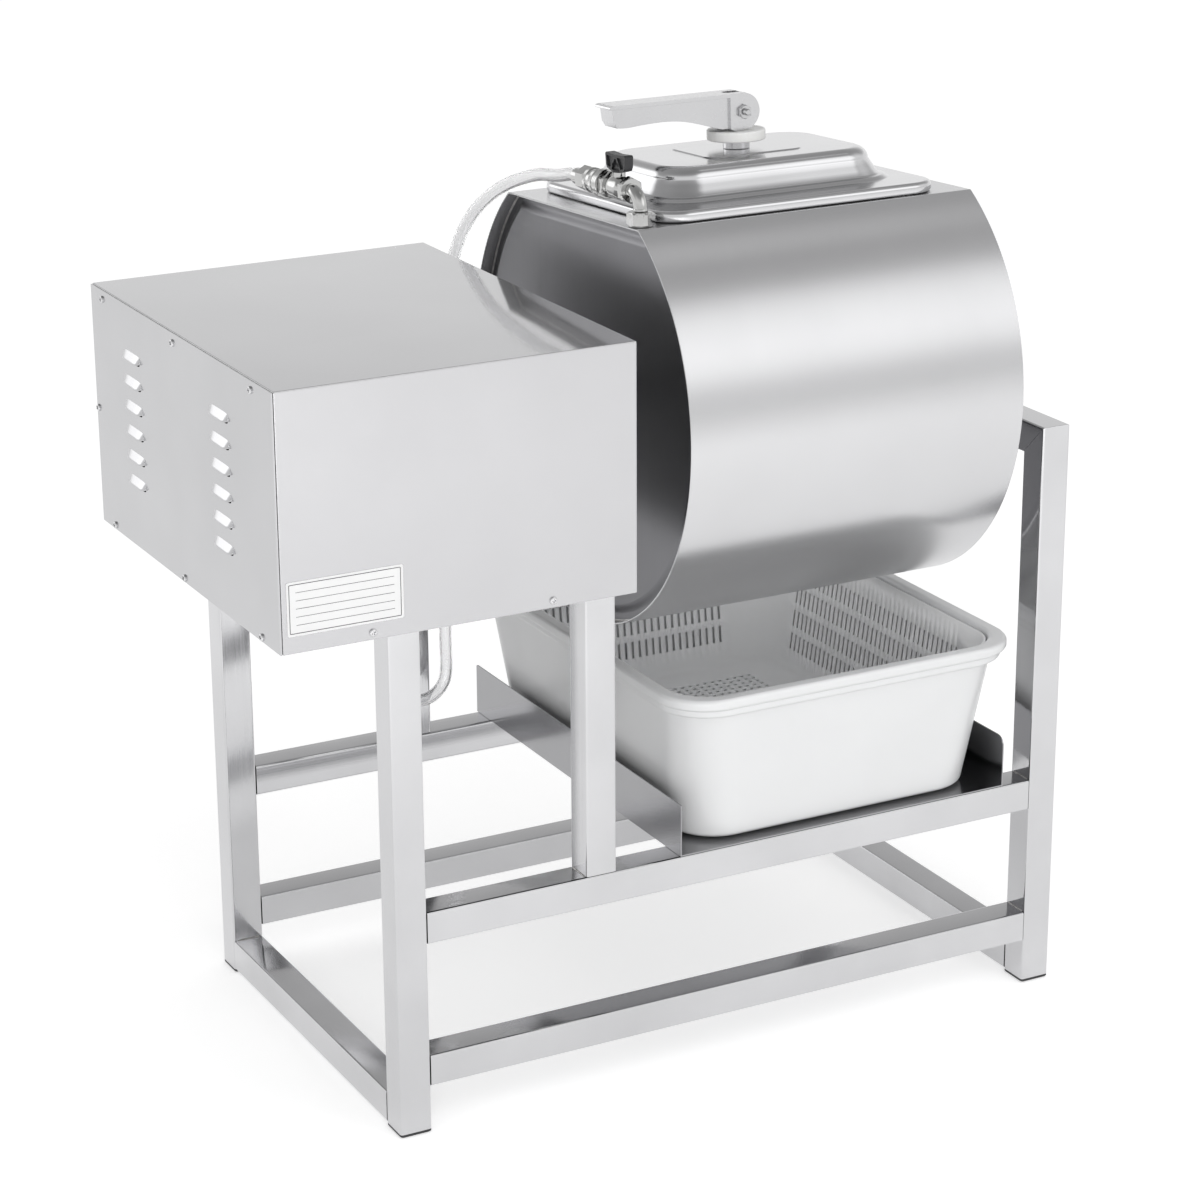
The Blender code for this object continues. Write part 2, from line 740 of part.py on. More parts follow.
def build_housing_shell():
    """Front, top and back folded from one sheet, with a screw flange turned in at the left end."""
    left = HOUSING_LEFT + SHEET + GAP
    body = place(
        "housing_shell",
        box((left, -HOUSING_HALF, HOUSING_UNDER), (HOUSING_RIGHT, HOUSING_HALF, HOUSING_TOP)),
        SHEET_STEEL,
        machine,
    )
    bevelled(body, HOUSING_FOLD)
    inner = HOUSING_HALF - SHEET
    inside_high = (HOUSING_RIGHT + CUT, inner, HOUSING_TOP - SHEET)
    inside = box((left + SHEET, -inner, HOUSING_UNDER - CUT), inside_high)
    cut(body, tool("cut_housing_inside", inside, machine))
    open_half = HOUSING_HALF - SEAM_FLANGE
    window_high = (left + SHEET + CUT, open_half, HOUSING_TOP - SEAM_FLANGE)
    window = box((left - CUT, -open_half, HOUSING_UNDER - CUT), window_high)
    cut(body, tool("cut_housing_window", window, machine))
    back = HOUSING_HALF - SHEET - CUT
    reach = SHEET + 2 * CUT
    half_w = SWITCH_PLATE_WIDTH / 2 - SWITCH_BEZEL + GAP
    half_h = SWITCH_PLATE_HEIGHT / 2 - SWITCH_BEZEL + GAP
    opening_outline = rounded(half_w, half_h, SWITCH_BEZEL, SMALL_CORNER_STEPS)
    opening = moved(prism(opening_outline, reach, "Y"), (SWITCH_X, back, PANEL_Z))
    knob_hole = moved(prism(circle(KNOB_SPINDLE + GAP, HOLE_STEPS), reach, "Y"), (KNOB_X, back, PANEL_Z))
    gland_hole = moved(prism(circle(GLAND_NECK + GAP, HOLE_STEPS), reach, "Y"), (GLAND_X, back, GLAND_Z))
    cut(body, tool("cut_back_panel", merged(opening, knob_hole, gland_hole), machine))


def louvre_section(share, shrink, drop):
    """One slice of a louvre hood in (x, z), at a share of its half length: from its root down to its lip."""
    size = max(1 - abs(share) ** LOUVRE_SQUARENESS, 0) ** 0.5
    half = LOUVRE_HEIGHT / 2 * size
    rise = (LOUVRE_RISE - shrink) * size
    hood = [(-rise * out, half * up - drop) for out, up in LOUVRE_HOOD_SHARES]
    return [(SHEET / 2, half - drop), *hood, (SHEET / 2, -half - drop)]


def louvre_bodies(shrink, drop, reach, length):
    """All the hoods, or with shrink, drop and reach the hollows under them, as separate shapes."""
    shapes = []
    last = LOUVRE_STATIONS - 1
    for y in (LOUVRE_BACK_Y, LOUVRE_FRONT_Y):
        for row in range(LOUVRE_ROWS):
            z = LOUVRE_TOP_Z - row * LOUVRE_PITCH
            loops = []
            for i in range(LOUVRE_STATIONS):
                share = LOUVRE_END_SHARE * math.sin(math.pi / 2 * (2 * i / last - 1))
                slice_points = louvre_section(share, shrink, drop)
                at = y + share * length / 2
                loops.append([(x + (reach if x > 0 else 0), at, z + dz) for x, dz in slice_points])
            shapes.append(skin(loops))
    return shapes


def build_left_cover():
    """Flat end cover with two columns of pressed louvres, open on their lower side."""
    edge = HOUSING_WRAP / 4
    half = HOUSING_HALF - edge
    low, high = HOUSING_UNDER, HOUSING_TOP - edge
    plate = box((0, -half, low), (SHEET, half, high))
    spot = (HOUSING_LEFT, 0, 0)
    body = place("left_end_cover", plate, SHEET_STEEL, machine, spot)
    hoods = merged(*louvre_bodies(0, 0, 0, LOUVRE_LENGTH))
    cut(body, tool("add_louvre_hoods", hoods, machine, spot), "UNION")
    length = LOUVRE_LENGTH - 2 * LOUVRE_SKIN
    hollows = merged(*louvre_bodies(LOUVRE_SKIN, LOUVRE_MOUTH, SHEET + CUT, length))
    cut(body, tool("cut_louvre_hollows", hollows, machine, spot))


def build_right_plate():
    """End plate that faces the drum, with the shaft's hole and a flange folded in at its top and sides."""
    half = HOUSING_HALF - SHEET - GAP
    top = HOUSING_TOP - SHEET - GAP
    right = HOUSING_RIGHT - GAP
    body = place(
        "right_end_plate",
        box((right - SEAM_FLANGE, -half, HOUSING_UNDER + PAN_LIFT), (right, half, top)),
        SHEET_STEEL,
        machine,
    )
    inner = half - SHEET
    inside_low = (right - SEAM_FLANGE - CUT, -inner, HOUSING_UNDER - CUT)
    inside = box(inside_low, (right - SHEET, inner, top - SHEET))
    cut(body, tool("cut_right_plate_inside", inside, machine))
    hole = moved(prism(circle(SHAFT_HOLE), SHEET + 2 * CUT, "X"), (right - SHEET - CUT, 0, DRUM_AXIS_Z))
    cut(body, tool("cut_right_plate_hole", hole, machine))


def build_floor_pan():
    """Floor plate with its skirt turned down over the leg tops, notched for the mid posts."""
    left = HOUSING_LEFT + SHEET + GAP + SHEET + GAP
    right = HOUSING_RIGHT - SHEET - 2 * GAP
    half = HOUSING_HALF - SHEET - SHEET - 2 * GAP
    low = HOUSING_UNDER + PAN_LIFT
    body = place("housing_floor", box((left, -half, low), (right, half, PAN_TOP)), SHEET_STEEL, machine)
    thin = HOUSING_WRAP - 2 * SHEET - 3 * GAP
    inside = box((left + SHEET, -half + thin, low - CUT), (right - SHEET, half - thin, PAN_UNDER))
    cut(body, tool("cut_pan_inside", inside, machine))
    notch_low = MID_POST_X - 2 * GAP
    notch_high = MID_POST_X + TUBE + 2 * GAP
    inner_y = HALF_WIDTH - TUBE - 2 * GAP
    outer_y = half - thin
    notches = [
        box((notch_low, -outer_y, PAN_UNDER - CUT), (notch_high, -inner_y, PAN_TOP + CUT)),
        box((notch_low, inner_y, PAN_UNDER - CUT), (notch_high, outer_y, PAN_TOP + CUT)),
        moved(
            prism(circle(PORT_BARB_RADIUS + PORT_HOLE_CLEARANCE), SHEET + 2 * CUT),
            (PORT_X, PORT_Y, PAN_UNDER - CUT),
        ),
    ]
    cut(body, tool("cut_pan_notches", merged(*notches), machine))


def build_gear_motor():
    """Gearbox block, round finned motor and foot plate, joined into one casting."""
    axis_z = PAN_TOP + MOTOR_AXIS_LIFT
    face = SPROCKET_X - SPROCKET_WIDTH / 2 - SPROCKET_HUB_LENGTH - GAP
    start = face - GEARBOX_LENGTH
    half = GEARBOX_WIDTH / 2
    spot = (start, MOTOR_Y, axis_z)
    block = prism(rounded(half, half, GEARBOX_EDGE), GEARBOX_LENGTH, "X")
    body = place("gear_motor", block, MOTOR_PAINT, machine, spot)
    profile = [(MOTOR_RADIUS * out, -MOTOR_LENGTH * along) for out, along in MOTOR_END_SHARES]
    fin_span = MOTOR_LENGTH * MOTOR_FIN_SPAN_SHARE / MOTOR_FINS
    first = -MOTOR_LENGTH * MOTOR_FIN_START_SHARE
    for i in range(MOTOR_FINS):
        at = first + i * fin_span
        profile.append((MOTOR_RADIUS, at))
        profile += [(MOTOR_RADIUS - MOTOR_FIN, at + fin_span * share) for share in MOTOR_GROOVE_SHARES]
    profile += [(MOTOR_RADIUS, first + MOTOR_FINS * fin_span), (MOTOR_RADIUS, CUT), (0, CUT)]
    cut(body, tool("add_motor_can", turned(profile, SPIN_STEPS, (1, 0, 0)), machine, spot), "UNION")
    foot_half = half + FOOT_PLATE_OVER
    base_low, base_top = PAN_TOP + GAP - axis_z, PAN_TOP + FOOT_PLATE - axis_z
    base = box((0, -foot_half, base_low), (GEARBOX_LENGTH, foot_half, base_top))
    cut(body, tool("add_motor_base", base, machine, spot), "UNION")
    web_low = PAN_TOP + FOOT_PLATE / 2 - axis_z
    web = box((GEARBOX_EDGE, -half, web_low), (GEARBOX_LENGTH - GEARBOX_EDGE, half, -half / 2))
    cut(body, tool("add_motor_web", web, machine, spot), "UNION")


def pitch_radius(teeth):
    """Radius of the circle that the chain's rollers run on."""
    return CHAIN_PITCH / (2 * math.sin(math.pi / teeth))


def sprocket_outline(teeth):
    """Toothed outline: round roller seats between tapered tips."""
    pitch = pitch_radius(teeth)
    points = []
    for tooth in range(teeth):
        middle = 2 * math.pi * tooth / teeth
        seat = Vector((pitch * math.cos(middle), pitch * math.sin(middle)))
        inward = math.pi + middle
        for share in SEAT_SHARES:
            angle = inward - share * math.pi / 2
            points.append(tuple(seat + ROLLER_RADIUS * Vector((math.cos(angle), math.sin(angle)))))
        for share in TIP_SHARES:
            angle = middle + share * 2 * math.pi / teeth
            tip = pitch + TOOTH_RISE
            points.append((tip * math.cos(angle), tip * math.sin(angle)))
    return points


def sprocket(name, teeth, bore, parent, location, hub_side):
    """Toothed wheel with a hub to one side, bored for its shaft."""
    wheel = prism(sprocket_outline(teeth), SPROCKET_WIDTH, "X")
    body = place(name, wheel, CAST_IRON, parent, location, smooth=False)
    start = -SPROCKET_HUB_LENGTH if hub_side < 0 else SPROCKET_WIDTH / 2
    hub = moved(prism(circle(SPROCKET_HUB), SPROCKET_HUB_LENGTH + SPROCKET_WIDTH / 2, "X"), (start, 0, 0))
    cut(body, tool(f"add_{name}_hub", hub, parent, location), "UNION")
    if bore:
        reach = SPROCKET_WIDTH + 2 * SPROCKET_HUB_LENGTH + 2 * CUT
        hole = moved(prism(circle(bore), reach, "X"), (-SPROCKET_HUB_LENGTH - CUT, 0, 0))
        cut(body, tool(f"cut_{name}_bore", hole, parent, location))
    return body


def wrap_outline(centre_a, radius_a, centre_b, radius_b, steps):
    """Outline of a belt round two circles: an arc on each and the two straight runs between them."""
    between = Vector(centre_b) - Vector(centre_a)
    heading = math.atan2(between.y, between.x)
    lean = math.acos((radius_a - radius_b) / between.length)
    points = []
    for i in range(steps + 1):
        angle = heading + lean + (2 * math.pi - 2 * lean) * i / steps
        points.append((centre_a[0] + radius_a * math.cos(angle), centre_a[1] + radius_a * math.sin(angle)))
    for i in range(steps + 1):
        angle = heading - lean + 2 * lean * i / steps
        points.append((centre_b[0] + radius_b * math.cos(angle), centre_b[1] + radius_b * math.sin(angle)))
    return points


def build_chain_drive():
    """Both sprockets and the chain: side plates beside the teeth and a web of rollers outside them."""
    axis_z = PAN_TOP + MOTOR_AXIS_LIFT
    drum_centre = (0.0, DRUM_AXIS_Z)
    motor_centre = (MOTOR_Y, axis_z)
    big, small = pitch_radius(DRUM_TEETH), pitch_radius(MOTOR_TEETH)
    left = SPROCKET_X - SPROCKET_WIDTH / 2
    sprocket("drum_sprocket", DRUM_TEETH, SHAFT_RADIUS + GAP, drum_axis, (left, 0, 0), 1)
    motor_axis = empty("motor_axis", machine, (0, MOTOR_Y, axis_z))
    sprocket("motor_sprocket", MOTOR_TEETH, 0, motor_axis, (left, 0, 0), -1)

    def chain_loop(offset, x):
        outline = wrap_outline(drum_centre, big + offset, motor_centre, small + offset, CHAIN_ARC_STEPS)
        return [(x, y, z) for y, z in outline]

    outer = TOOTH_RISE + CHAIN_TIP_GAP + CHAIN_PLATE
    root = TOOTH_RISE + CHAIN_TIP_GAP
    plate_in = outer - CHAIN_LINK
    half = CHAIN_WIDTH / 2
    groove = half - CHAIN_PLATE
    section = (
        (outer, -half),
        (outer, half),
        (plate_in, half),
        (plate_in, groove),
        (root, groove),
        (root, -groove),
        (plate_in, -groove),
        (plate_in, -half),
    )
    loops = [chain_loop(offset, SPROCKET_X + x) for offset, x in section]
    place("drive_chain", skin(loops, wrap=True), CAST_IRON, machine, smooth=False)


def pillow_block(name, x):
    """Bearing block: a long foot with a round head, bored for the shaft."""
    rise = DRUM_AXIS_Z - POST_TOP
    half = BLOCK_LENGTH / 2
    profile = [(half, GAP), (half, BLOCK_BASE - BLOCK_BASE_EDGE), (half - BLOCK_BASE_EDGE, BLOCK_BASE)]
    start = math.asin((BLOCK_BASE - rise) / BLOCK_RADIUS)
    for i in range(ARC_STEPS + 1):
        angle = start + (math.pi - 2 * start) * i / ARC_STEPS
        profile.append((BLOCK_RADIUS * math.cos(angle), rise + BLOCK_RADIUS * math.sin(angle)))
    profile += [(-half + BLOCK_BASE_EDGE, BLOCK_BASE), (-half, BLOCK_BASE - BLOCK_BASE_EDGE), (-half, GAP)]
    width = TUBE - 2 * GAP
    body = place(name, prism(profile, width, "X"), CAST_IRON, machine, (x + GAP, 0, POST_TOP))
    bore = moved(prism(circle(SHAFT_RADIUS + SHAFT_CLEARANCE), width + 2 * CUT, "X"), (-CUT, 0, rise))
    cut(body, tool(f"cut_{name}_bore", bore, machine, (x + GAP, 0, POST_TOP)))


def build_pump():
    """Vacuum pump: round motor, squared head over the suction port, and a foot plate."""
    axis_z = PAN_TOP + PUMP_AXIS_LIFT
    spot = (PUMP_LEFT, PUMP_Y, axis_z)
    profile = [(PUMP_RADIUS * out, PUMP_LENGTH * along) for out, along in PUMP_SHARES]
    body = place("vacuum_pump", turned(profile, SPIN_STEPS, (1, 0, 0)), BLACK_PLASTIC, machine, spot)
    half = PUMP_HEAD_WIDTH / 2
    head_low = PAN_TOP + PORT_COLLAR + 2 * GAP - axis_z
    head_high = PUMP_RADIUS
    centre = (head_low + head_high) / 2
    head = prism(rounded(half, (head_high - head_low) / 2, PUMP_HEAD_EDGE), PUMP_HEAD_LENGTH + CUT, "X")
    start = PUMP_LEFT + PUMP_LENGTH - CUT
    cut(body, tool("add_pump_head", moved(head, (0, 0, centre)), machine, (start, PUMP_Y, axis_z)), "UNION")
    base_low, base_top = PAN_TOP + GAP - axis_z, PAN_TOP + FOOT_PLATE - axis_z
    base = box((CUT, -half, base_low), (PUMP_LENGTH - CUT, half, base_top))
    cut(body, tool("add_pump_base", base, machine, spot), "UNION")
    web_half = PUMP_RADIUS / 2
    web_low = PAN_TOP + FOOT_PLATE / 2 - axis_z
    web = box((2 * CUT, -web_half, web_low), (PUMP_LENGTH - 2 * CUT, web_half, 0))
    cut(body, tool("add_pump_web", web, machine, spot), "UNION")


def build_port():
    """Suction port: a collar on the floor pan and a barbed tail below it for the hose."""
    hex_low = loop_at(hexagon(PORT_HEX), GAP)
    hex_high = loop_at(hexagon(PORT_HEX), PORT_COLLAR)
    body = place("suction_port", skin((hex_low, hex_high)), PLATED_BRASS, machine, (PORT_X, PORT_Y, PAN_TOP))
    barb = PORT_DROP / (PORT_BARBS + 1)
    root = PORT_BARB_RADIUS * PORT_ROOT_SHARE
    profile = [(0, -PORT_DROP), (PORT_BARB_RADIUS * PORT_TIP_SHARE, -PORT_DROP)]
    for i in range(PORT_BARBS):
        at = -PORT_DROP + i * barb
        profile += [(PORT_BARB_RADIUS, at + barb * PORT_CREST_SHARE), (root, at + barb)]
    profile += [(root, -barb * PORT_NECK_SHARE), (root, PORT_COLLAR / 2), (0, PORT_COLLAR / 2)]
    cut(body, tool("add_port_tail", turned(profile, HOLE_STEPS), machine, (PORT_X, PORT_Y, PAN_TOP)), "UNION")


def build_switch_plate():
    """Bezel on the back panel with a well behind it, and a cell for each rocker."""
    spot = (SWITCH_X, HOUSING_HALF, PANEL_Z)
    half_w, half_h = SWITCH_PLATE_WIDTH / 2, SWITCH_PLATE_HEIGHT / 2
    bezel = moved(prism(rounded(half_w, half_h, SWITCH_BEZEL), SWITCH_BEZEL - GAP, "Y"), (0, GAP, 0))
    body = place("switch_plate", bezel, BLACK_PLASTIC, machine, spot)
    inner_w, inner_h = half_w - SWITCH_BEZEL - GAP, half_h - SWITCH_BEZEL - GAP
    inner = rounded(inner_w, inner_h, SWITCH_BEZEL / 2, SMALL_CORNER_STEPS)
    well = moved(prism(inner, SWITCH_DEPTH + SWITCH_BEZEL / 2, "Y"), (0, -SWITCH_DEPTH, 0))
    cut(body, tool("add_switch_well", well, machine, spot), "UNION")
    cells = []
    cell_w = ROCKER_WIDTH / 2 + ROCKER_CLEARANCE
    cell_h = ROCKER_HEIGHT / 2 + ROCKER_CLEARANCE
    floor = -SWITCH_DEPTH + SWITCH_BEZEL / 2
    for side in (-1, 1):
        x = side * ROCKER_SPACING / 2
        cells.append(box((x - cell_w, floor, -cell_h), (x + cell_w, SWITCH_BEZEL + CUT, cell_h)))
    cut(body, tool("cut_switch_cells", merged(*cells), machine, spot))


def rocker(name, side):
    """A rocker, tilted to its off side; side is -1 for the left cell and 1 for the right one."""
    half = ROCKER_HEIGHT / 2
    proud = SWITCH_BEZEL + GAP
    upper = (
        (-ROCKER_DEPTH, half * ROCKER_FOOT_SHARE),
        (0, half * ROCKER_WAIST_SHARE),
        (proud + half * ROCKER_LIFT_SHARE, half * ROCKER_TIP_SHARE),
        (proud, half * ROCKER_DIP_SHARE),
    )
    lower = [(depth, -height) for depth, height in reversed(upper)]
    shape = moved(prism([*upper, *lower], ROCKER_WIDTH, "X"), (-ROCKER_WIDTH / 2, 0, 0))
    spot = (SWITCH_X + side * ROCKER_SPACING / 2, HOUSING_HALF, PANEL_Z)
    place(name, shape, BLACK_PLASTIC, machine, spot, (ROCKER_REST_TILT, 0, 0), smooth=False)


def knob_loop(size_share, depth, fluted):
    """One loop round the timer knob; a fluted one waves in and out."""
    steps = KNOB_FLUTES * 3
    points = []
    for i in range(steps):
        angle = 2 * math.pi * i / steps
        wave = KNOB_WAVE_SHARE * (math.cos(KNOB_FLUTES * angle) - 1) if fluted else 0
        radius = KNOB_RADIUS * size_share * (1 + wave)
        points.append((radius * math.cos(angle), depth, radius * math.sin(angle)))
    return points


def build_timer_knob():
    """Fluted knob with a round skirt on a spindle that goes through the panel."""
    spot = (KNOB_X, HOUSING_HALF, PANEL_Z)
    loops = [knob_loop(KNOB_SKIRT_SHARE, GAP, False)]
    loops += [knob_loop(size_share, KNOB_DEPTH * share, fluted) for size_share, share, fluted in KNOB_SHARES]
    knob = place("timer_knob", skin(loops), BLACK_PLASTIC, machine, spot)
    shank = prism(circle(KNOB_SPINDLE, HOLE_STEPS), SWITCH_DEPTH + CUT / 2, "Y")
    cut(knob, tool("add_knob_spindle", moved(shank, (0, -SWITCH_DEPTH, 0)), machine, spot), "UNION")


def build_mains_gland():
    """Cable gland: a threaded neck through the panel and a domed nut outside it, bored for the cable."""
    dome = [(GLAND_RADIUS * out, GLAND_LENGTH * along) for out, along in GLAND_DOME_SHARES]
    neck = [(GLAND_BORE, -GLAND_LENGTH), (GLAND_NECK, -GLAND_LENGTH), (GLAND_NECK, GAP)]
    profile = [*neck, (GLAND_RADIUS, GAP), *dome, (GLAND_BORE, GLAND_LENGTH)]
    spot = (GLAND_X, HOUSING_HALF, GLAND_Z)
    place("mains_gland", turned(profile, HOLE_STEPS, (0, 1, 0)), BLACK_PLASTIC, machine, spot)


def drum_loop(x, inset):
    """Loop round the drum in its own frame, moved in from the shell's outside: an arc closed by the flat."""
    radius, flat = DRUM_RADIUS - inset, DRUM_FLAT - inset
    half = math.acos(flat / radius)
    sweep = 2 * math.pi - 2 * half
    points = []
    for i in range(DRUM_ARC_STEPS + 1):
        angle = math.pi / 2 + half + sweep * i / DRUM_ARC_STEPS
        points.append((x, radius * math.cos(angle), radius * math.sin(angle)))
    return points


def build_drum_shell():
    """Rolled shell with its flat, open at both ends, with the mouth cut in the flat."""
    stations = ((DRUM_LEFT, 0), (DRUM_RIGHT, 0), (DRUM_RIGHT, DRUM_WALL), (DRUM_LEFT, DRUM_WALL))
    loops = [drum_loop(x, inset) for x, inset in stations]
    body = place("drum_shell", skin(loops, wrap=True), DRUM_STEEL, drum_axis)
    mouth = prism(rounded(MOUTH_HALF_X, MOUTH_HALF_S, MOUTH_CORNER), DRUM_WALL + 2 * CUT)
    cut(body, tool("cut_mouth", mouth, lid_frame, (0, 0, -DRUM_WALL - CUT)))


def drum_end(name, x, outward):
    """Dished end plate set a little inside the shell's edge; outward is -1 at the left and 1 at the right."""
    fit = DRUM_WALL + GAP
    crown = x - outward * END_INSET
    sheet = outward * END_PLATE
    foot = crown - outward * END_DISH
    knee = crown - outward * END_DISH * DISH_KNEE_DEPTH_SHARE
    foot_in, knee_in = END_DISH_MARGIN * DISH_FOOT_SHARE, END_DISH_MARGIN * DISH_KNEE_SHARE
    stations = (
        (crown - sheet, END_DISH_MARGIN + END_PLATE),
        (knee, knee_in + END_PLATE * DISH_KNEE_SHEET_SHARE),
        (foot, foot_in + END_PLATE * DISH_FOOT_SHEET_SHARE),
        (foot, 0),
        (foot + sheet, 0),
        (foot + sheet, foot_in),
        (knee + sheet, knee_in),
        (crown, END_DISH_MARGIN),
    )
    return place(name, skin([drum_loop(at, fit + inset) for at, inset in stations]), END_STEEL, drum_axis)


def shaft(name, x, outward, end):
    """Stub shaft with a round flange on the drum's end plate; it runs outward to its free end."""
    face = x - outward * (END_INSET - GAP)
    length = abs(end - face)
    profile = (
        (0, 0),
        (HUB_FLANGE_RADIUS - HUB_FLANGE / 4, 0),
        (HUB_FLANGE_RADIUS, HUB_FLANGE / 4),
        (HUB_FLANGE_RADIUS, HUB_FLANGE),
        (HUB_RADIUS, HUB_FLANGE),
        (HUB_RADIUS, HUB_LENGTH),
        (SHAFT_RADIUS, HUB_LENGTH),
        (SHAFT_RADIUS, length - HUB_FLANGE / 4),
        (SHAFT_RADIUS - HUB_FLANGE / 4, length),
        (0, length),
    )
    place(name, turned(profile, FINE_STEPS, (outward, 0, 0)), BRIGHT_STEEL, drum_axis, (face, 0, 0))


def paddle(name, angle):
    """Bent fin that lifts the meat: a foot on the shell's inside and a blade with a rolled tip."""
    foot = DRUM_RADIUS - DRUM_WALL - GAP
    foot_half = PADDLE_FOOT / 2
    foot_r = math.sqrt(foot * foot - foot_half * foot_half)
    thick = PADDLE_SHEET
    top = foot_r - PADDLE_HEIGHT
    neck = [(thick * across, foot_r + thick * up) for across, up in PADDLE_NECK_SHARES]
    tip = [(thick * across, top + thick * up) for across, up in PADDLE_TIP_SHARES]
    left_foot = [(-foot_half, foot_r), (-foot_half, foot_r - thick)]
    right_foot = [(foot_half, foot_r - thick), (foot_half, foot_r)]
    outline = [*left_foot, neck[0], *tip, neck[1], *right_foot]
    ends = END_INSET + END_DISH + PADDLE_END_GAP
    length = DRUM_LENGTH - 2 * ends
    shape = prism(outline, length, "X")
    place(name, shape, DRUM_STEEL, drum_axis, (DRUM_LEFT + ends, 0, 0), (angle, 0, 0), smooth=False)


def build_lid_pan():
    """Pressed lid of one sheet: rolled rim, flat border, small ledge and a domed middle, with a stud hole."""
    stations = []

    def ring(half_x, half_s, corner, height):
        stations.append((half_x, half_s, corner, height))

    edge = LID_SHEET / 2
    ring(LID_HALF_X - edge, LID_HALF_S - edge, LID_CORNER, RIM_UNDER)
    ring(LID_HALF_X, LID_HALF_S, LID_CORNER, RIM_UNDER + LID_SHEET)
    rim_wall = RIM_TOP - RIM_ROLL
    ring(LID_HALF_X, LID_HALF_S, LID_CORNER, rim_wall)
    for i in range(1, ROLL_STEPS + 1):
        angle = math.pi / 2 * i / ROLL_STEPS
        inset = RIM_ROLL * (1 - math.cos(angle))
        height = rim_wall + RIM_ROLL * math.sin(angle)
        ring(LID_HALF_X - inset, LID_HALF_S - inset, LID_CORNER - inset, height)
    for inward, rounder, up in LEDGE_SHARES:
        inset = LEDGE_RISE * inward
        height = RIM_TOP + LEDGE_RISE * up
        ring(LEDGE_HALF_X - inset, LEDGE_HALF_S - inset, LEDGE_CORNER + LEDGE_RISE * rounder, height)
    for outward, up in DOME_FOOT_SHARES:
        over = LEDGE_RISE * outward
        ring(DOME_FOOT_X + over, DOME_FOOT_S + over, DOME_FOOT_CORNER, RIM_TOP + LEDGE_RISE * up)
    wall_top = DOME_TOP - DOME_SHOULDER
    ring(DOME_TOP_X, DOME_TOP_S, DOME_TOP_CORNER, wall_top)
    for i in range(1, ROLL_STEPS + 1):
        angle = math.pi / 2 * i / ROLL_STEPS
        inset = DOME_SHOULDER * (1 - math.cos(angle))
        height = wall_top + DOME_SHOULDER * math.sin(angle)
        ring(DOME_TOP_X - inset, DOME_TOP_S - inset, DOME_TOP_CORNER - inset / 2, height)
    for inward, rounder, down in RECESS_SHARES:
        inset = RECESS_DEPTH * inward
        height = DOME_TOP - RECESS_DEPTH * down
        ring(RECESS_X - inset, RECESS_S - inset, RECESS_CORNER + RECESS_DEPTH * rounder, height)
    outer = [loop_at(rounded(hx, hs, corner), height) for hx, hs, corner, height in stations]
    thin = LID_SHEET
    inner = []
    for i, (hx, hs, corner, height) in enumerate(stations):
        before = stations[max(i - 1, 0)]
        after = stations[min(i + 1, len(stations) - 1)]
        run, rise = before[0] - after[0], after[3] - before[3]
        length = math.hypot(run, rise)
        inward, down = thin * rise / length, thin * run / length
        corner_in = max(corner - inward, thin)
        inner.append(loop_at(rounded(hx - inward, hs - inward, corner_in), height - down))
    body = place("lid_pan", skin(list(reversed(inner)) + outer), LID_STEEL, lid_frame)
    hole = prism(circle(STUD_RADIUS + GAP), DOME_TOP)
    cut(body, tool("cut_stud_hole", hole, lid_frame, (0, 0, DOME_TOP / 2)))


def build_gasket():
    """Flat rubber ring between the lid's border and the drum's flat."""
    low, high = GAP, RIM_TOP - LID_SHEET - GAP
    inner_x, inner_s = MOUTH_HALF_X + GASKET_MARGIN, MOUTH_HALF_S + GASKET_MARGIN
    outer_x, outer_s, corner = inner_x + GASKET_WIDTH, inner_s + GASKET_WIDTH, MOUTH_CORNER + GASKET_WIDTH
    bulge = GASKET_WIDTH / 8
    loops = (
        loop_at(rounded(outer_x, outer_s, corner), low),
        loop_at(rounded(outer_x + bulge, outer_s + bulge, corner), (low + high) / 2),
        loop_at(rounded(outer_x, outer_s, corner), high),
        loop_at(rounded(inner_x, inner_s, MOUTH_CORNER), high),
        loop_at(rounded(inner_x, inner_s, MOUTH_CORNER), low),
    )
    place("lid_gasket", skin(loops, wrap=True), RUBBER, lid_frame)


DISC_LOW = STUD_BOSS_TOP + GAP
DISC_HIGH = DISC_LOW + DISC_THICK
PIVOT_N = DISC_HIGH + GAP + PIVOT_RISE
lock_frame = empty("lock_axis", lid_frame)
lever_frame = empty("lever_axis", lock_frame, (0, 0, PIVOT_N))


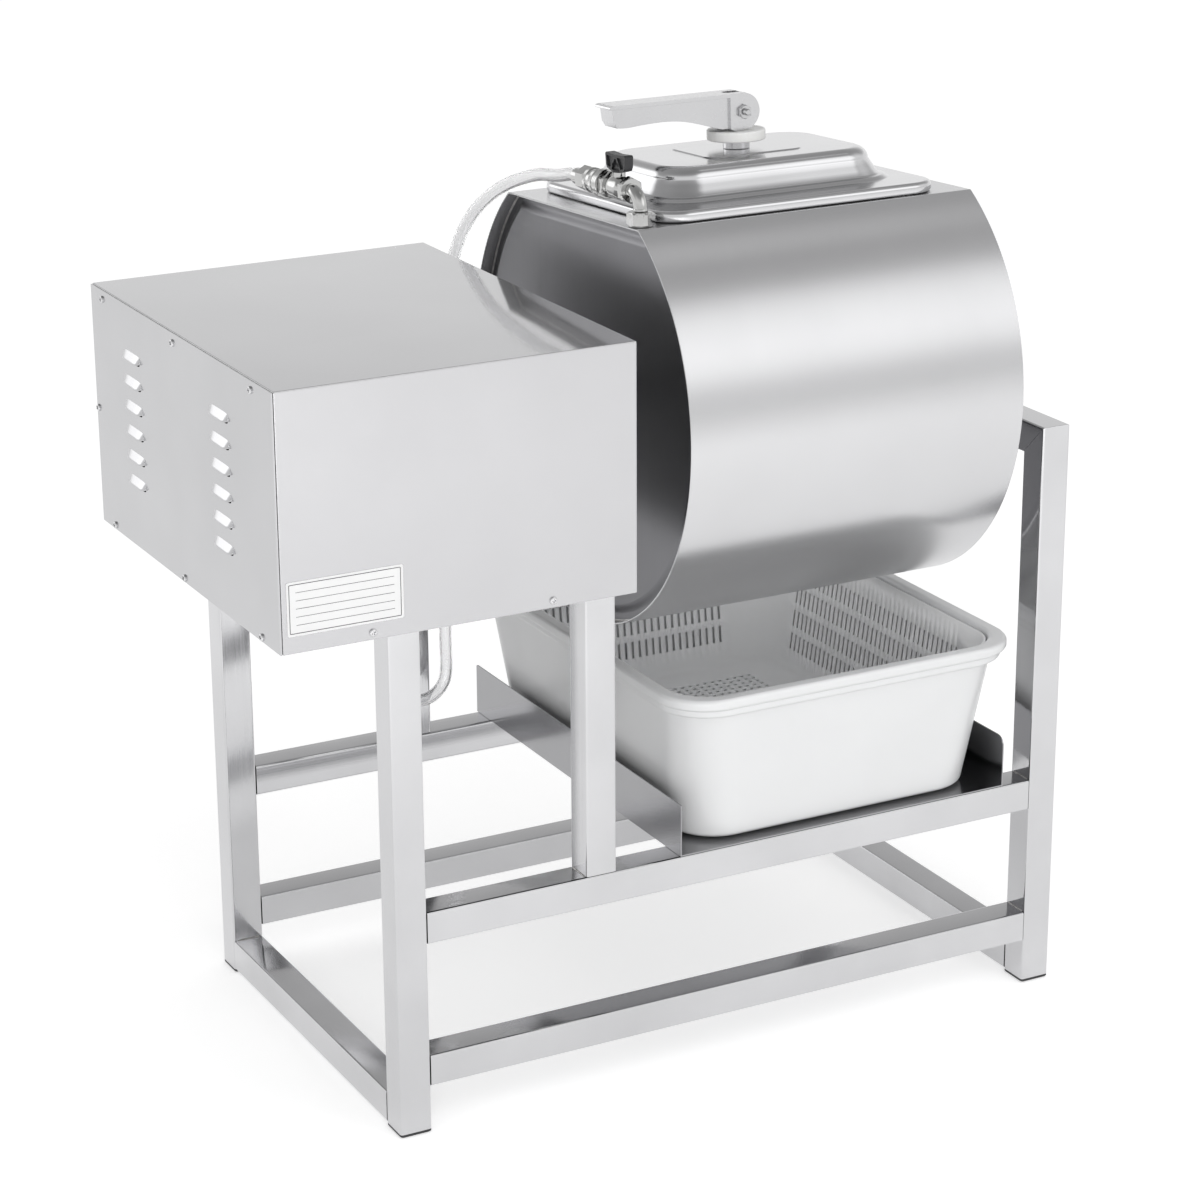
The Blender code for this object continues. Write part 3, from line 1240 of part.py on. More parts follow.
def build_lock():
    """Stud with its boss and eye, nylon disc, catch bar, and the pin with its nut."""
    boss_low = DOME_TOP - RECESS_DEPTH + GAP
    bar_top = -DRUM_WALL - BAR_DROP
    profile = (
        (0, bar_top + GAP),
        (STUD_RADIUS, bar_top + GAP),
        (STUD_RADIUS, boss_low),
        (STUD_BOSS, boss_low),
        (STUD_BOSS, STUD_BOSS_TOP - STUD_RADIUS / 6),
        (STUD_BOSS - STUD_RADIUS / 6, STUD_BOSS_TOP),
        (STUD_RADIUS, STUD_BOSS_TOP),
        (STUD_RADIUS, DISC_HIGH + STUD_RADIUS / 2),
        (0, DISC_HIGH + STUD_RADIUS / 2),
    )
    stud = place("lock_stud", turned(profile), BRIGHT_STEEL, lock_frame)
    eye_outline = [(EYE_HALF, DISC_HIGH - CUT), (EYE_HALF, PIVOT_N)]
    for i in range(1, ARC_STEPS):
        angle = math.pi * i / ARC_STEPS
        eye_outline.append((EYE_HALF * math.cos(angle), PIVOT_N + EYE_HALF * math.sin(angle)))
    eye_outline += [(-EYE_HALF, PIVOT_N), (-EYE_HALF, DISC_HIGH - CUT)]
    eye_half = EYE_THICK / 2
    eye = moved(prism(eye_outline, 2 * eye_half, "Y"), (0, -eye_half, 0))
    cut(stud, tool("add_stud_eye", eye, lock_frame), "UNION")
    pin_hole = prism(circle(PIN_RADIUS + PIN_CLEARANCE, HOLE_STEPS), 2 * LEVER_HALF + 2 * CUT, "Y")
    cut(stud, tool("cut_stud_eye", moved(pin_hole, (0, -LEVER_HALF - CUT, PIVOT_N)), lock_frame))
    bore = math.hypot(EYE_HALF, eye_half) + GAP
    disc_profile = (
        (bore, DISC_LOW),
        (DISC_RADIUS - DISC_CROWN, DISC_LOW),
        (DISC_RADIUS, DISC_LOW + DISC_CROWN),
        (DISC_RADIUS, DISC_HIGH - DISC_CROWN),
        (DISC_RADIUS - DISC_CROWN, DISC_HIGH),
        (bore, DISC_HIGH),
    )
    place("nylon_disc", turned(disc_profile, FINE_STEPS), NYLON, lock_frame)
    toe = BAR_TOE
    low = bar_top - BAR_THICK
    flat = BAR_HALF_LENGTH * BAR_FLAT_SHARE
    side = (
        (-BAR_HALF_LENGTH, low + toe),
        (-flat, low),
        (flat, low),
        (BAR_HALF_LENGTH, low + toe),
        (BAR_HALF_LENGTH, bar_top - toe / 2),
        (BAR_HALF_LENGTH - toe, bar_top),
        (-BAR_HALF_LENGTH + toe, bar_top),
        (-BAR_HALF_LENGTH, bar_top - toe / 2),
    )
    bar = moved(prism(side, 2 * BAR_HALF_WIDTH, "Y"), (0, -BAR_HALF_WIDTH, 0))
    place("catch_bar", bar, BRIGHT_STEEL, lock_frame, smooth=False)
    reach = LEVER_HALF
    tip = -reach - PIN_NUT - PIN_END
    pin_profile = (
        (0, tip),
        (PIN_RADIUS * PIN_TIP_SHARE, tip),
        (PIN_RADIUS, tip + PIN_RADIUS / 4),
        (PIN_RADIUS, reach + GAP),
        (PIN_NUT_RADIUS, reach + GAP),
        (PIN_NUT_RADIUS * PIN_FACE_SHARE, reach + PIN_NUT),
        (0, reach + PIN_NUT),
    )
    pin = place("lever_pin", turned(pin_profile, HOLE_STEPS, (0, 1, 0)), BRIGHT_STEEL, lever_frame)
    nut = moved(prism(hexagon(PIN_NUT_RADIUS), PIN_NUT - GAP, "Y"), (0, -reach - PIN_NUT, 0))
    cut(pin, tool("add_pin_nut", nut, lever_frame), "UNION")


def build_lever():
    """Cast cam lever: a lipped top plate over two walls that arch between the tip and the round cheeks."""
    top = PIVOT_RISE
    under = top - LEVER_PLATE
    radius = PIVOT_RISE
    plate_end = radius * LEVER_FRONT_SHARE
    nose = [(-LEVER_LENGTH + LEVER_PLATE * back, under + LEVER_PLATE * up) for back, up in LEVER_NOSE_SHARES]
    plate_outline = [*nose, (plate_end, under), (plate_end, top)]
    plate = moved(prism(plate_outline, 2 * LEVER_HALF, "Y"), (0, -LEVER_HALF, 0))
    body = place("cam_lever", plate, CAST_ALLOY, lever_frame)
    edge = [(-LEVER_LENGTH * share_x, top * share_n) for share_x, share_n in LEVER_EDGE_SHARES]
    seam = top - LEVER_PLATE / 2
    wall_low = -radius * LEVER_WALL_DEPTH_SHARE
    wall_outline = [(-LEVER_LENGTH * LEVER_WALL_START_SHARE, seam), *edge]
    wall_outline += [(-LEVER_CHEEK_BACK / 2, wall_low), (0, wall_low), (0, seam)]
    wall_out = LEVER_HALF - LEVER_LIP
    wall = moved(prism(wall_outline, 2 * wall_out, "Y"), (0, -wall_out, 0))
    cut(body, tool("add_lever_walls", wall, lever_frame), "UNION")
    cheek_outline = [(-LEVER_CHEEK_BACK, seam)]
    cheek_outline += [(-LEVER_CHEEK_BACK * back, -radius * down) for back, down in LEVER_HEEL_SHARES]
    for i in range(ARC_STEPS + 1):
        angle = -math.pi / 2 + math.pi * i / ARC_STEPS
        cheek_outline.append((radius * math.cos(angle), radius * math.sin(angle)))
    cheek = moved(prism(cheek_outline, 2 * LEVER_HALF, "Y"), (0, -LEVER_HALF, 0))
    cut(body, tool("add_lever_cheeks", cheek, lever_frame), "UNION")
    channel = LEVER_HALF - LEVER_LIP - LEVER_RIM_WALL
    inner_cheek = LEVER_HALF - LEVER_CHEEK_WIDTH
    hollow_low = (-LEVER_LENGTH * LEVER_CHANNEL_SHARE, -channel, -2 * radius)
    hollow = box(hollow_low, (-LEVER_CHEEK_BACK, channel, under))
    fork_high = (2 * radius, inner_cheek, under - LEVER_PLATE * LEVER_FORK_SHARE)
    fork = box((-LEVER_CHEEK_BACK - CUT, -inner_cheek, -2 * radius), fork_high)
    cut(body, tool("cut_lever_channel", hollow, lever_frame))
    cut(body, tool("cut_lever_fork", fork, lever_frame))
    slot_corner = LEVER_SLOT_S / 2 - GAP
    slot = moved(
        prism(rounded(LEVER_SLOT_X / 2, LEVER_SLOT_S / 2, slot_corner, LEVER_SLOT_STEPS), 2 * CUT),
        (-LEVER_SLOT_X * LEVER_SLOT_SHARE, 0, top - LEVER_PLATE - CUT),
    )
    cut(body, tool("cut_lever_slot", slot, lever_frame))
    pin_hole = prism(circle(PIN_RADIUS + PIN_CLEARANCE, HOLE_STEPS), 2 * LEVER_HALF + 2 * CUT, "Y")
    cut(body, tool("cut_lever_pin_hole", moved(pin_hole, (0, -LEVER_HALF - CUT, 0)), lever_frame))


valve_frame = empty("valve_line", flat_frame, (VALVE_X, 0, VALVE_RISE))


def build_valve():
    """Base bush, elbow, ball valve with its handle, quick coupler with its sleeve, and the hose nut."""
    chamfer = BUSH_RISE / 8
    hexes = (
        loop_at(hexagon(BUSH_HEX - chamfer), GAP),
        loop_at(hexagon(BUSH_HEX), chamfer),
        loop_at(hexagon(BUSH_HEX), BUSH_RISE - chamfer),
        loop_at(hexagon(BUSH_HEX - chamfer), BUSH_RISE),
    )
    place("valve_bush", skin(hexes), PLATED_BRASS, flat_frame, (VALVE_X, ELBOW_S, 0), smooth=False)

    start_n = BUSH_RISE + GAP - VALVE_RISE
    pipe = circle(ELBOW_RADIUS, HOLE_STEPS)
    loops = [[(x, ELBOW_S + y, start_n) for x, y in pipe]]
    centre = Vector((0, ELBOW_S + ELBOW_BEND, -ELBOW_BEND))
    for i in range(ELBOW_STEPS + 1):
        angle = math.pi - math.pi / 2 * i / ELBOW_STEPS
        along = Vector((0, math.cos(angle), math.sin(angle)))
        middle = centre + ELBOW_BEND * along
        loops.append([tuple(middle + Vector((x, 0, 0)) - y * along) for x, y in pipe])
    end = ELBOW_END_S - GAP
    loops.append([(x, end, -y) for x, y in pipe])
    place("valve_elbow", skin(loops), PLATED_BRASS, valve_frame)

    hex_prism = moved(prism(hexagon(VALVE_HEX), VALVE_COLLAR, "Y"), (0, ELBOW_END_S, 0))
    valve = place("valve_body", hex_prism, PLATED_BRASS, valve_frame)
    ball_start = ELBOW_END_S + VALVE_COLLAR * VALVE_COLLAR_SHARE
    housing = [(VALVE_BALL * out, STEM_S + VALVE_BALL * along) for out, along in VALVE_BALL_SHARES]
    neck = housing[0][0]
    profile = [(0, ball_start), (neck, ball_start), *housing, (neck, VALVE_END_S), (0, VALVE_END_S)]
    cut(valve, tool("add_valve_ball", turned(profile, SPIN_STEPS, (0, 1, 0)), valve_frame), "UNION")
    far_hex = moved(prism(hexagon(VALVE_HEX), VALVE_COLLAR, "Y"), (0, VALVE_END_S - VALVE_COLLAR - GAP, 0))
    cut(valve, tool("add_valve_far_hex", far_hex, valve_frame), "UNION")
    stem = moved(prism(circle(STEM_RADIUS, HOLE_STEPS), STEM_TOP), (0, STEM_S, 0))
    cut(valve, tool("add_valve_stem", stem, valve_frame), "UNION")

    build_valve_handle()

    ring = COUPLER_RING
    edge = ring / 12
    start = VALVE_END_S + GAP
    ring_end = start + COUPLER_RING_WIDTH
    coupler = (
        (0, start),
        (ring - edge, start),
        (ring, start + edge),
        (ring, ring_end - edge),
        (ring - edge, ring_end),
        (COUPLER_NECK, ring_end),
        (COUPLER_NECK, SLEEVE_END_S),
        (0, SLEEVE_END_S),
    )
    place("coupler_body", turned(coupler, SPIN_STEPS, (0, 1, 0)), PLATED_BRASS, valve_frame)
    bore = COUPLER_NECK + GAP
    sleeve_length = SLEEVE_END_S - SLEEVE_START_S
    groove = [(SLEEVE_RADIUS * out, sleeve_length * along) for out, along in SLEEVE_GROOVE_SHARES]
    near_end = [(bore, 0), (SLEEVE_RADIUS - edge, 0), (SLEEVE_RADIUS, edge)]
    far_end = [(radius, sleeve_length - along) for radius, along in reversed(near_end)]
    sleeve = turned([*near_end, *groove, *far_end], SPIN_STEPS, (0, 1, 0))
    place("coupler_sleeve", sleeve, PLATED_BRASS, valve_frame, (0, SLEEVE_START_S, 0))
    nut_start = SLEEVE_END_S + GAP
    nut_mid = nut_start + (NUT_END_S - nut_start) * NUT_HEX_SHARE

    def nut_loop(radius, s, six):
        outline = []
        for i in range(FINE_STEPS):
            angle = 2 * math.pi * i / FINE_STEPS
            sector = (angle + math.pi / 6) % (math.pi / 3) - math.pi / 6
            reach = radius / math.cos(sector) if six else radius
            outline.append((reach * math.cos(angle), s, reach * math.sin(angle)))
        return outline

    nut = (
        nut_loop(NUT_HEX - edge, nut_start, False),
        nut_loop(NUT_HEX, nut_start + edge, True),
        nut_loop(NUT_HEX, nut_mid, True),
        nut_loop(NUT_TIP_RADIUS * NUT_SHOULDER_SHARE, nut_mid + edge, False),
        nut_loop(NUT_TIP_RADIUS, NUT_END_S - edge, False),
        nut_loop(NUT_TIP_RADIUS - edge, NUT_END_S, False),
    )
    place("hose_nut", skin(nut), PLATED_BRASS, valve_frame)


# Side view of one half of the valve handle, as shares of its half length and its rise
HANDLE_SHARES = (
    (0.00, 0.00),
    (0.30, 0.00),
    (0.42, 0.16),
    (0.98, 0.38),
    (1.00, 0.55),
    (0.90, 1.00),
    (0.78, 1.00),
    (0.40, 0.62),
    (0.00, 0.56),
)


def build_valve_handle():
    """Butterfly handle that sits on the valve's stem, with its wings along the pipe."""
    right = [(s * HANDLE_HALF, n * HANDLE_RISE) for s, n in HANDLE_SHARES]
    left = [(-s, n) for s, n in reversed(right[1:-1])]
    wings = moved(prism(right + left, 2 * HANDLE_THICK, "X"), (-HANDLE_THICK, 0, 0))
    base = STEM_TOP + GAP
    stem_frame = empty("handle_axis", valve_frame, (0, STEM_S, base))
    body = place("valve_handle", wings, BLACK_PLASTIC, stem_frame, smooth=False)
    hub = [(HANDLE_HUB * out, HANDLE_RISE * up) for out, up in HANDLE_HUB_SHARES]
    cut(body, tool("add_handle_hub", turned(hub, HOLE_STEPS), stem_frame), "UNION")


def build_tray():
    """Folded sheet channel on the middle rails, open at the front and the back."""
    floor = MIDDLE_RAIL_TOP + GAP
    width = TRAY_RIGHT - TRAY_LEFT
    depth = FRAME_WIDTH
    high = SHEET + TRAY_FLANGE
    outline = (
        (0, 0),
        (width, 0),
        (width, high),
        (width - SHEET, high),
        (width - SHEET, SHEET),
        (SHEET, SHEET),
        (SHEET, high),
        (0, high),
    )
    shape = moved(prism(outline, depth, "Y"), (0, -depth / 2, 0))
    body = place("drip_tray", shape, SHEET_STEEL, machine, (TRAY_LEFT, 0, floor), smooth=False)
    radius = TRAY_CORNER
    angles = [math.pi / 2 * i / TRAY_CORNER_STEPS for i in range(TRAY_CORNER_STEPS + 1)]
    arc = [(radius - radius * math.cos(a), high - radius + radius * math.sin(a)) for a in angles]
    corners = []
    for side in (-1, 1):
        outer = [(-CUT, high + CUT), (-CUT, high - radius)] + arc + [(radius, high + CUT)]
        outline_y = [(side * (depth / 2 - y), z) for y, z in outer]
        corners.append(moved(prism(outline_y, width + 2 * CUT, "X"), (-CUT, 0, 0)))
    cut(body, tool("cut_tray_corners", merged(*corners), machine, (TRAY_LEFT, 0, floor)))


BASIN_UNDER = MIDDLE_RAIL_TOP + 2 * GAP + SHEET


def basin_ring(half_x, half_y, corner, z):
    """A rounded rectangular loop round the basin's middle."""
    return loop_at(rounded(half_x, half_y, corner), z)


def build_basin():
    """Moulded basin: sloping walls, a rolled rim and a stepped band below it."""
    rim_low = BASIN_RIM_TOP - BASIN_RIM_BAND
    neck_z = rim_low - BASIN_STEP_BAND
    corner = BASIN_CORNER
    roll = BASIN_ROLL
    wall = BASIN_WALL
    foot = BASIN_FOOT_ROUND
    step_x, step_y = BASIN_RIM_X - BASIN_STEP_IN, BASIN_RIM_Y - BASIN_STEP_IN
    edge = roll * BASIN_EDGE_SHARE

    def ring(half_x, half_y, inset, corner_inset, z):
        return basin_ring(half_x - inset, half_y - inset, corner - corner_inset, z)

    outer = [
        ring(BASIN_FLOOR_X, BASIN_FLOOR_Y, foot * inward, foot * inward, BASIN_UNDER + foot * up)
        for inward, up in BASIN_FOOT_SHARES
    ]
    outer += [
        ring(BASIN_NECK_X, BASIN_NECK_Y, 0, 0, neck_z),
        ring(step_x, step_y, roll / 2, 0, neck_z + roll / 4),
        ring(step_x, step_y, 0, 0, neck_z + roll),
        ring(step_x, step_y, 0, 0, rim_low),
        ring(BASIN_RIM_X, BASIN_RIM_Y, roll / 2, 0, rim_low + roll / 4),
        ring(BASIN_RIM_X, BASIN_RIM_Y, 0, 0, rim_low + roll),
        ring(BASIN_RIM_X, BASIN_RIM_Y, 0, 0, BASIN_RIM_TOP - roll),
        ring(BASIN_RIM_X, BASIN_RIM_Y, edge, 0, BASIN_RIM_TOP - edge),
        ring(BASIN_RIM_X, BASIN_RIM_Y, roll, 0, BASIN_RIM_TOP),
    ]
    inner_foot = BASIN_UNDER + foot * BASIN_INNER_FOOT_SHARE
    inner = [
        ring(BASIN_NECK_X, BASIN_NECK_Y, BASIN_LIP - roll, BASIN_LIP, BASIN_RIM_TOP),
        ring(BASIN_NECK_X, BASIN_NECK_Y, BASIN_LIP, BASIN_LIP, BASIN_RIM_TOP - roll),
        ring(BASIN_NECK_X, BASIN_NECK_Y, wall, wall, neck_z),
        ring(BASIN_FLOOR_X, BASIN_FLOOR_Y, wall, wall, inner_foot),
        ring(BASIN_FLOOR_X, BASIN_FLOOR_Y, foot, foot, BASIN_UNDER + wall),
    ]
    place("basin", skin(outer + inner), WHITE_PLASTIC, machine, (BASIN_X, 0, 0))


def build_basket():
    """Perforated liner inside the basin, with rows of upright slots on every wall."""
    floor_z = BASIN_UNDER + BASIN_WALL + GAP
    top = BASIN_RIM_TOP - BASIN_ROLL - GAP
    gap = BASIN_WALL + BASKET_GAP
    wall = BASKET_WALL
    foot = BASIN_FOOT_ROUND
    corner = BASIN_CORNER - gap
    bottom_x, bottom_y = BASIN_FLOOR_X - gap, BASIN_FLOOR_Y - gap
    top_x, top_y = BASIN_NECK_X - gap, BASIN_NECK_Y - gap
    outer = [
        basin_ring(bottom_x - foot, bottom_y - foot, corner - foot, floor_z),
        basin_ring(bottom_x, bottom_y, corner, floor_z + foot),
        basin_ring(top_x, top_y, corner, top - BASKET_RIM),
        basin_ring(top_x, top_y, corner, top),
    ]
    inner = [
        basin_ring(top_x - wall, top_y - wall, corner - wall, top),
        basin_ring(top_x - wall, top_y - wall, corner - wall, top - BASKET_RIM),
        basin_ring(bottom_x - wall, bottom_y - wall, corner - wall, floor_z + foot),
        basin_ring(bottom_x - foot, bottom_y - foot, corner - foot, floor_z + wall),
    ]
    body = place("basket", skin(outer + inner), WHITE_PLASTIC, machine, (BASIN_X, 0, 0))
    reach = BASIN_NECK_X - BASIN_FLOOR_X + wall + 2 * CUT
    slots = []
    walls = ((top_x - corner, bottom_y, True), (top_y - corner, bottom_x, False))
    for row in range(SLOT_ROWS):
        z = SLOT_FIRST_Z + row * SLOT_ROW_PITCH
        for half_along, half_across, along_x in walls:
            count = int(2 * half_along / SLOT_PITCH / 2) * 2 - 1
            first = -(count - 1) / 2 * SLOT_PITCH
            for i in range(count):
                at = first + i * SLOT_PITCH
                for side in (-1, 1):
                    near = side * (half_across - wall - CUT)
                    far = side * (half_across - wall - CUT + reach)
                    across = sorted((near, far))
                    along = (at - SLOT_WIDTH / 2, at + SLOT_WIDTH / 2)
                    xs, ys = (along, across) if along_x else (across, along)
                    slots.append(box((xs[0], ys[0], z), (xs[1], ys[1], z + SLOT_HEIGHT)))
    cut(body, tool("cut_basket_slots", merged(*slots), machine, (BASIN_X, 0, 0)))


def smooth_route(points, per_leg):
    """Points on a smooth curve through the route."""
    route = [Vector(point) for point in points]
    padded = [2 * route[0] - route[1]] + route + [2 * route[-1] - route[-2]]
    found = []
    for i in range(1, len(padded) - 2):
        p0, p1, p2, p3 = padded[i - 1 : i + 3]
        for step in range(per_leg):
            t = step / per_leg
            a = 2 * p1
            b = p2 - p0
            c = 2 * p0 - 5 * p1 + 4 * p2 - p3
            d = 3 * p1 - p0 - 3 * p2 + p3
            found.append((a + b * t + c * t * t + d * t * t * t) / 2)
    found.append(route[-1])
    return found


def build_hose():
    """Clear hose from the nut on the drum down behind the housing, in a loop, and up to the suction port."""
    turn = Matrix.Rotation(-DRUM_REST_TURN, 3, "X")
    nut_end = Vector((VALVE_X, NUT_END_S + GAP, DRUM_FLAT + VALVE_RISE))
    start = turn @ nut_end + Vector((0, 0, DRUM_AXIS_Z))
    straight = start + turn @ Vector((0, 2 * HOSE_RADIUS, 0))
    port_low = PAN_TOP - PORT_DROP - GAP
    finish = Vector((PORT_X, PORT_Y, port_low))
    before = finish - Vector((0, 0, 2 * HOSE_RADIUS))
    route = [straight] + [Vector(point) for point in HOSE_ROUTE] + [before]
    points = [start] + smooth_route(route, HOSE_POINTS_PER_LEG) + [finish]
    curve = bpy.data.curves.new("vacuum_hose", "CURVE")
    curve.dimensions = "3D"
    curve.bevel_depth = HOSE_RADIUS
    curve.bevel_resolution = HOSE_SIDE_STEPS
    curve.use_fill_caps = True
    spline = curve.splines.new("POLY")
    spline.points.add(len(points) - 1)
    for slot, point in zip(spline.points, points):
        slot.co = (*point, 1)
    curve.materials.append(CLEAR_HOSE)
    hose = bpy.data.objects.new("vacuum_hose", curve)
    bpy.context.scene.collection.objects.link(hose)
    hose.parent = machine


build_stand()
build_housing_shell()
build_left_cover()
build_right_plate()
build_floor_pan()
build_gear_motor()
build_chain_drive()
pillow_block("left_pillow_block", MID_POST_X)
pillow_block("right_pillow_block", RIGHT_POST_X)
build_pump()
build_port()
build_switch_plate()
rocker("drum_rocker", -1)
rocker("pump_rocker", 1)
build_timer_knob()
build_mains_gland()
build_drum_shell()
drum_end("drum_left_end", DRUM_LEFT, -1)
drum_end("drum_right_end", DRUM_RIGHT, 1)
shaft("left_shaft", DRUM_LEFT, -1, SPROCKET_X - SPROCKET_WIDTH)
shaft("right_shaft", DRUM_RIGHT, 1, FRAME_LENGTH - GAP)
paddle("front_paddle", PADDLE_ANGLE)
paddle("back_paddle", -PADDLE_ANGLE)
build_lid_pan()
build_gasket()
build_lock()
build_lever()
build_valve()
build_tray()
build_basin()
build_basket()
build_hose()
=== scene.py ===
import json
import logging
import math
from dataclasses import dataclass
from enum import Enum
from typing import Callable, Iterable, Sequence

import bmesh
import bpy
from mathutils import Matrix, Vector

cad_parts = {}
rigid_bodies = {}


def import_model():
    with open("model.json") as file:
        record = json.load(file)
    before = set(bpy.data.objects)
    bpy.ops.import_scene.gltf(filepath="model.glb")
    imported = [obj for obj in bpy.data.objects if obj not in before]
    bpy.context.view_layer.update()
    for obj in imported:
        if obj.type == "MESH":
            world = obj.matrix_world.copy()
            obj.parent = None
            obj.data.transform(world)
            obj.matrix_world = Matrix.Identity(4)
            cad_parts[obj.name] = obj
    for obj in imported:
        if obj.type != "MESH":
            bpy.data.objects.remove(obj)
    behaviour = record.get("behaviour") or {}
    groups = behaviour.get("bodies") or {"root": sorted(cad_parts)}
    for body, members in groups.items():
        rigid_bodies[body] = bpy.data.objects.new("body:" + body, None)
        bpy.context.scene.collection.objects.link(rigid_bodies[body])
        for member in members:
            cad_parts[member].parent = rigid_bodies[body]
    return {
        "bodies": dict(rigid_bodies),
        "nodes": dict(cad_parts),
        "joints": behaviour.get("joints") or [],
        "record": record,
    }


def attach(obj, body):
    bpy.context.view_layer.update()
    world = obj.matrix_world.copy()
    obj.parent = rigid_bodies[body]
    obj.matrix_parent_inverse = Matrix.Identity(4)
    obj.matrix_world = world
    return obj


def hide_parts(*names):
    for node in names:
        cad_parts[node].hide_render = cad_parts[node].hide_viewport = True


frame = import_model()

for spare in ("Cube", "Light", "Camera"):
    if spare in bpy.data.objects:
        bpy.data.objects.remove(bpy.data.objects[spare])
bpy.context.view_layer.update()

Point = tuple[float, float, float]
Pair = tuple[float, float]
Size = tuple[float, float, float]
Colour = tuple[float, float, float]
Loop = list[Point]
Station = tuple[float, float, float, float]
Shape = bmesh.types.BMesh
Socket = bpy.types.NodeSocket

QUARTER = math.pi / 2
CORNERS = ((1, 1), (-1, 1), (-1, -1), (1, -1))

log = logging.getLogger("tumbler")


class Grain(Enum):
    """Which way the fine lines of a finish run. The value scales a noise on X, Y and Z."""

    NONE = (260.0, 260.0, 260.0)
    ALONG_X = (4.0, 1500.0, 1500.0)
    ALONG_Y = (1500.0, 4.0, 1500.0)
    ALONG_Z = (1500.0, 1500.0, 4.0)
    ROUND_DRUM = (1900.0, 5.0, 5.0)


class Join(Enum):
    """How a tool shape changes a body. The value is the modifier's word for it."""

    CUT = "DIFFERENCE"
    ADD = "UNION"


@dataclass(frozen=True)
class Layout:
    """Places that several sub-assemblies share, in metres, in the stand's own frame."""

    middle_x: float = 0.2922
    axis_z: float = 0.5837
    rest_turn: float = math.radians(3.05)
    flat: float = 0.1689
    radius: float = 0.2105
    drum_left: float = 0.2860
    drum_right: float = 0.6287
    valve_x: float = 0.2980
    valve_rise: float = 0.0290
    gap: float = 0.0003

    @property
    def lid_x(self) -> float:
        """The middle of the drum's length."""
        return (self.drum_left + self.drum_right) / 2

    @property
    def machine(self) -> Matrix:
        """From the stand's frame to the row frame."""
        return Matrix.Translation((-self.middle_x, 0, 0))

    @property
    def drum(self) -> Matrix:
        """From the drum's frame (x, s, n) to the row frame."""
        turn = Matrix.Rotation(-self.rest_turn, 4, "X")
        return Matrix.Translation((-self.middle_x, 0, self.axis_z)) @ turn

    @property
    def lid(self) -> Matrix:
        """From the lid's frame, on the middle of the drum's flat, to the row frame."""
        return self.drum @ Matrix.Translation((self.lid_x, 0, self.flat))

    @property
    def valve(self) -> Matrix:
        """From the valve's line to the row frame."""
        return self.drum @ Matrix.Translation((self.valve_x, 0, self.flat + self.valve_rise))


LAYOUT = Layout()


@dataclass(frozen=True)
class Bevels:
    """Widths of the bevels on the pieces' sharp edges."""

    label: float = 0.0001
    tube: float = 0.00018
    fine: float = 0.0002
    cover: float = 0.00022
    shell: float = 0.00025
    small: float = 0.0003
    soft: float = 0.0004
    cast: float = 0.0006
    bar: float = 0.0008


BEVELS = Bevels()


# Mesh shapes


def skin(loops: Sequence[Loop], wrap: bool = False) -> Shape:
    """Quads between loops of equal length.

    Args:
        loops: rings of points in order.
        wrap: joins the last ring to the first instead of capping both.

    Returns:
        The closed shape.
    """
    bm = bmesh.new()
    rows = [[bm.verts.new(point) for point in loop] for loop in loops]
    count = len(rows[0])
    pairs = list(zip(rows, rows[1:]))
    if wrap:
        pairs.append((rows[-1], rows[0]))
    for low, high in pairs:
        for i in range(count):
            j = (i + 1) % count
            bm.faces.new((low[i], low[j], high[j], high[i]))
    if not wrap:
        bm.faces.new(rows[0])
        bm.faces.new(rows[-1])
    return bm


def turned(profile: Sequence[Pair], steps: int, axis: Point = (0, 0, 1)) -> Shape:
    """A profile of (radius, height) spun round an axis.

    Args:
        profile: points from one end to the other; ends on the axis close the shape.
        steps: facets round the axis.
        axis: direction of the height.

    Returns:
        The closed shape.
    """
    along = Vector(axis)
    side = along.orthogonal().normalized()
    other = along.cross(side)
    open_ends = profile[0][0] > 0
    bm = bmesh.new()
    rows = []
    for radius, height in profile:
        if radius <= 0:
            rows.append([bm.verts.new(along * height)])
            continue
        rows.append([bm.verts.new(side * a + other * b + along * height) for a, b in circle(radius, steps)])
    pairs = list(zip(rows, rows[1:]))
    if open_ends:
        pairs.append((rows[-1], rows[0]))
    for low, high in pairs:
        for i in range(steps):
            j = (i + 1) % steps
            ring = [low[i % len(low)], low[j % len(low)], high[j % len(high)], high[i % len(high)]]
            corners = list(dict.fromkeys(ring))
            if len(corners) > 2:
                bm.faces.new(corners)
    return bm


def prism(outline: Sequence[Pair], length: float, along: str = "Z") -> Shape:
    """A flat outline extruded from zero to a length.

    Args:
        outline: points in (x, y) for Z, in (y, z) for X and in (x, z) for Y.
        length: how far it goes.
        along: "X", "Y" or "Z".

    Returns:
        The closed shape.
    """
    lift: dict[str, Callable[[float, float, float], Point]] = {
        "X": lambda a, b, c: (c, a, b),
        "Y": lambda a, b, c: (a, c, b),
        "Z": lambda a, b, c: (a, b, c),
    }
    put = lift[along]
    return skin([[put(a, b, 0.0) for a, b in outline], [put(a, b, length) for a, b in outline]])


def block(low: Point, high: Point) -> Shape:
    """A rectangular block between two corners."""
    outline = ((low[0], low[1]), (high[0], low[1]), (high[0], high[1]), (low[0], high[1]))
    return moved(prism(outline, high[2] - low[2]), (0, 0, low[2]))


def moved(bm: Shape, offset: Point, turn: Matrix | None = None) -> Shape:
    """Turns, then shifts, the whole of a shape.

    Args:
        bm: the shape; it is changed.
        offset: how far it goes.
        turn: the turn before that, if any.

    Returns:
        The same shape.
    """
    if turn is not None:
        bmesh.ops.transform(bm, matrix=turn, verts=bm.verts)
    bmesh.ops.translate(bm, verts=bm.verts, vec=offset)
    return bm


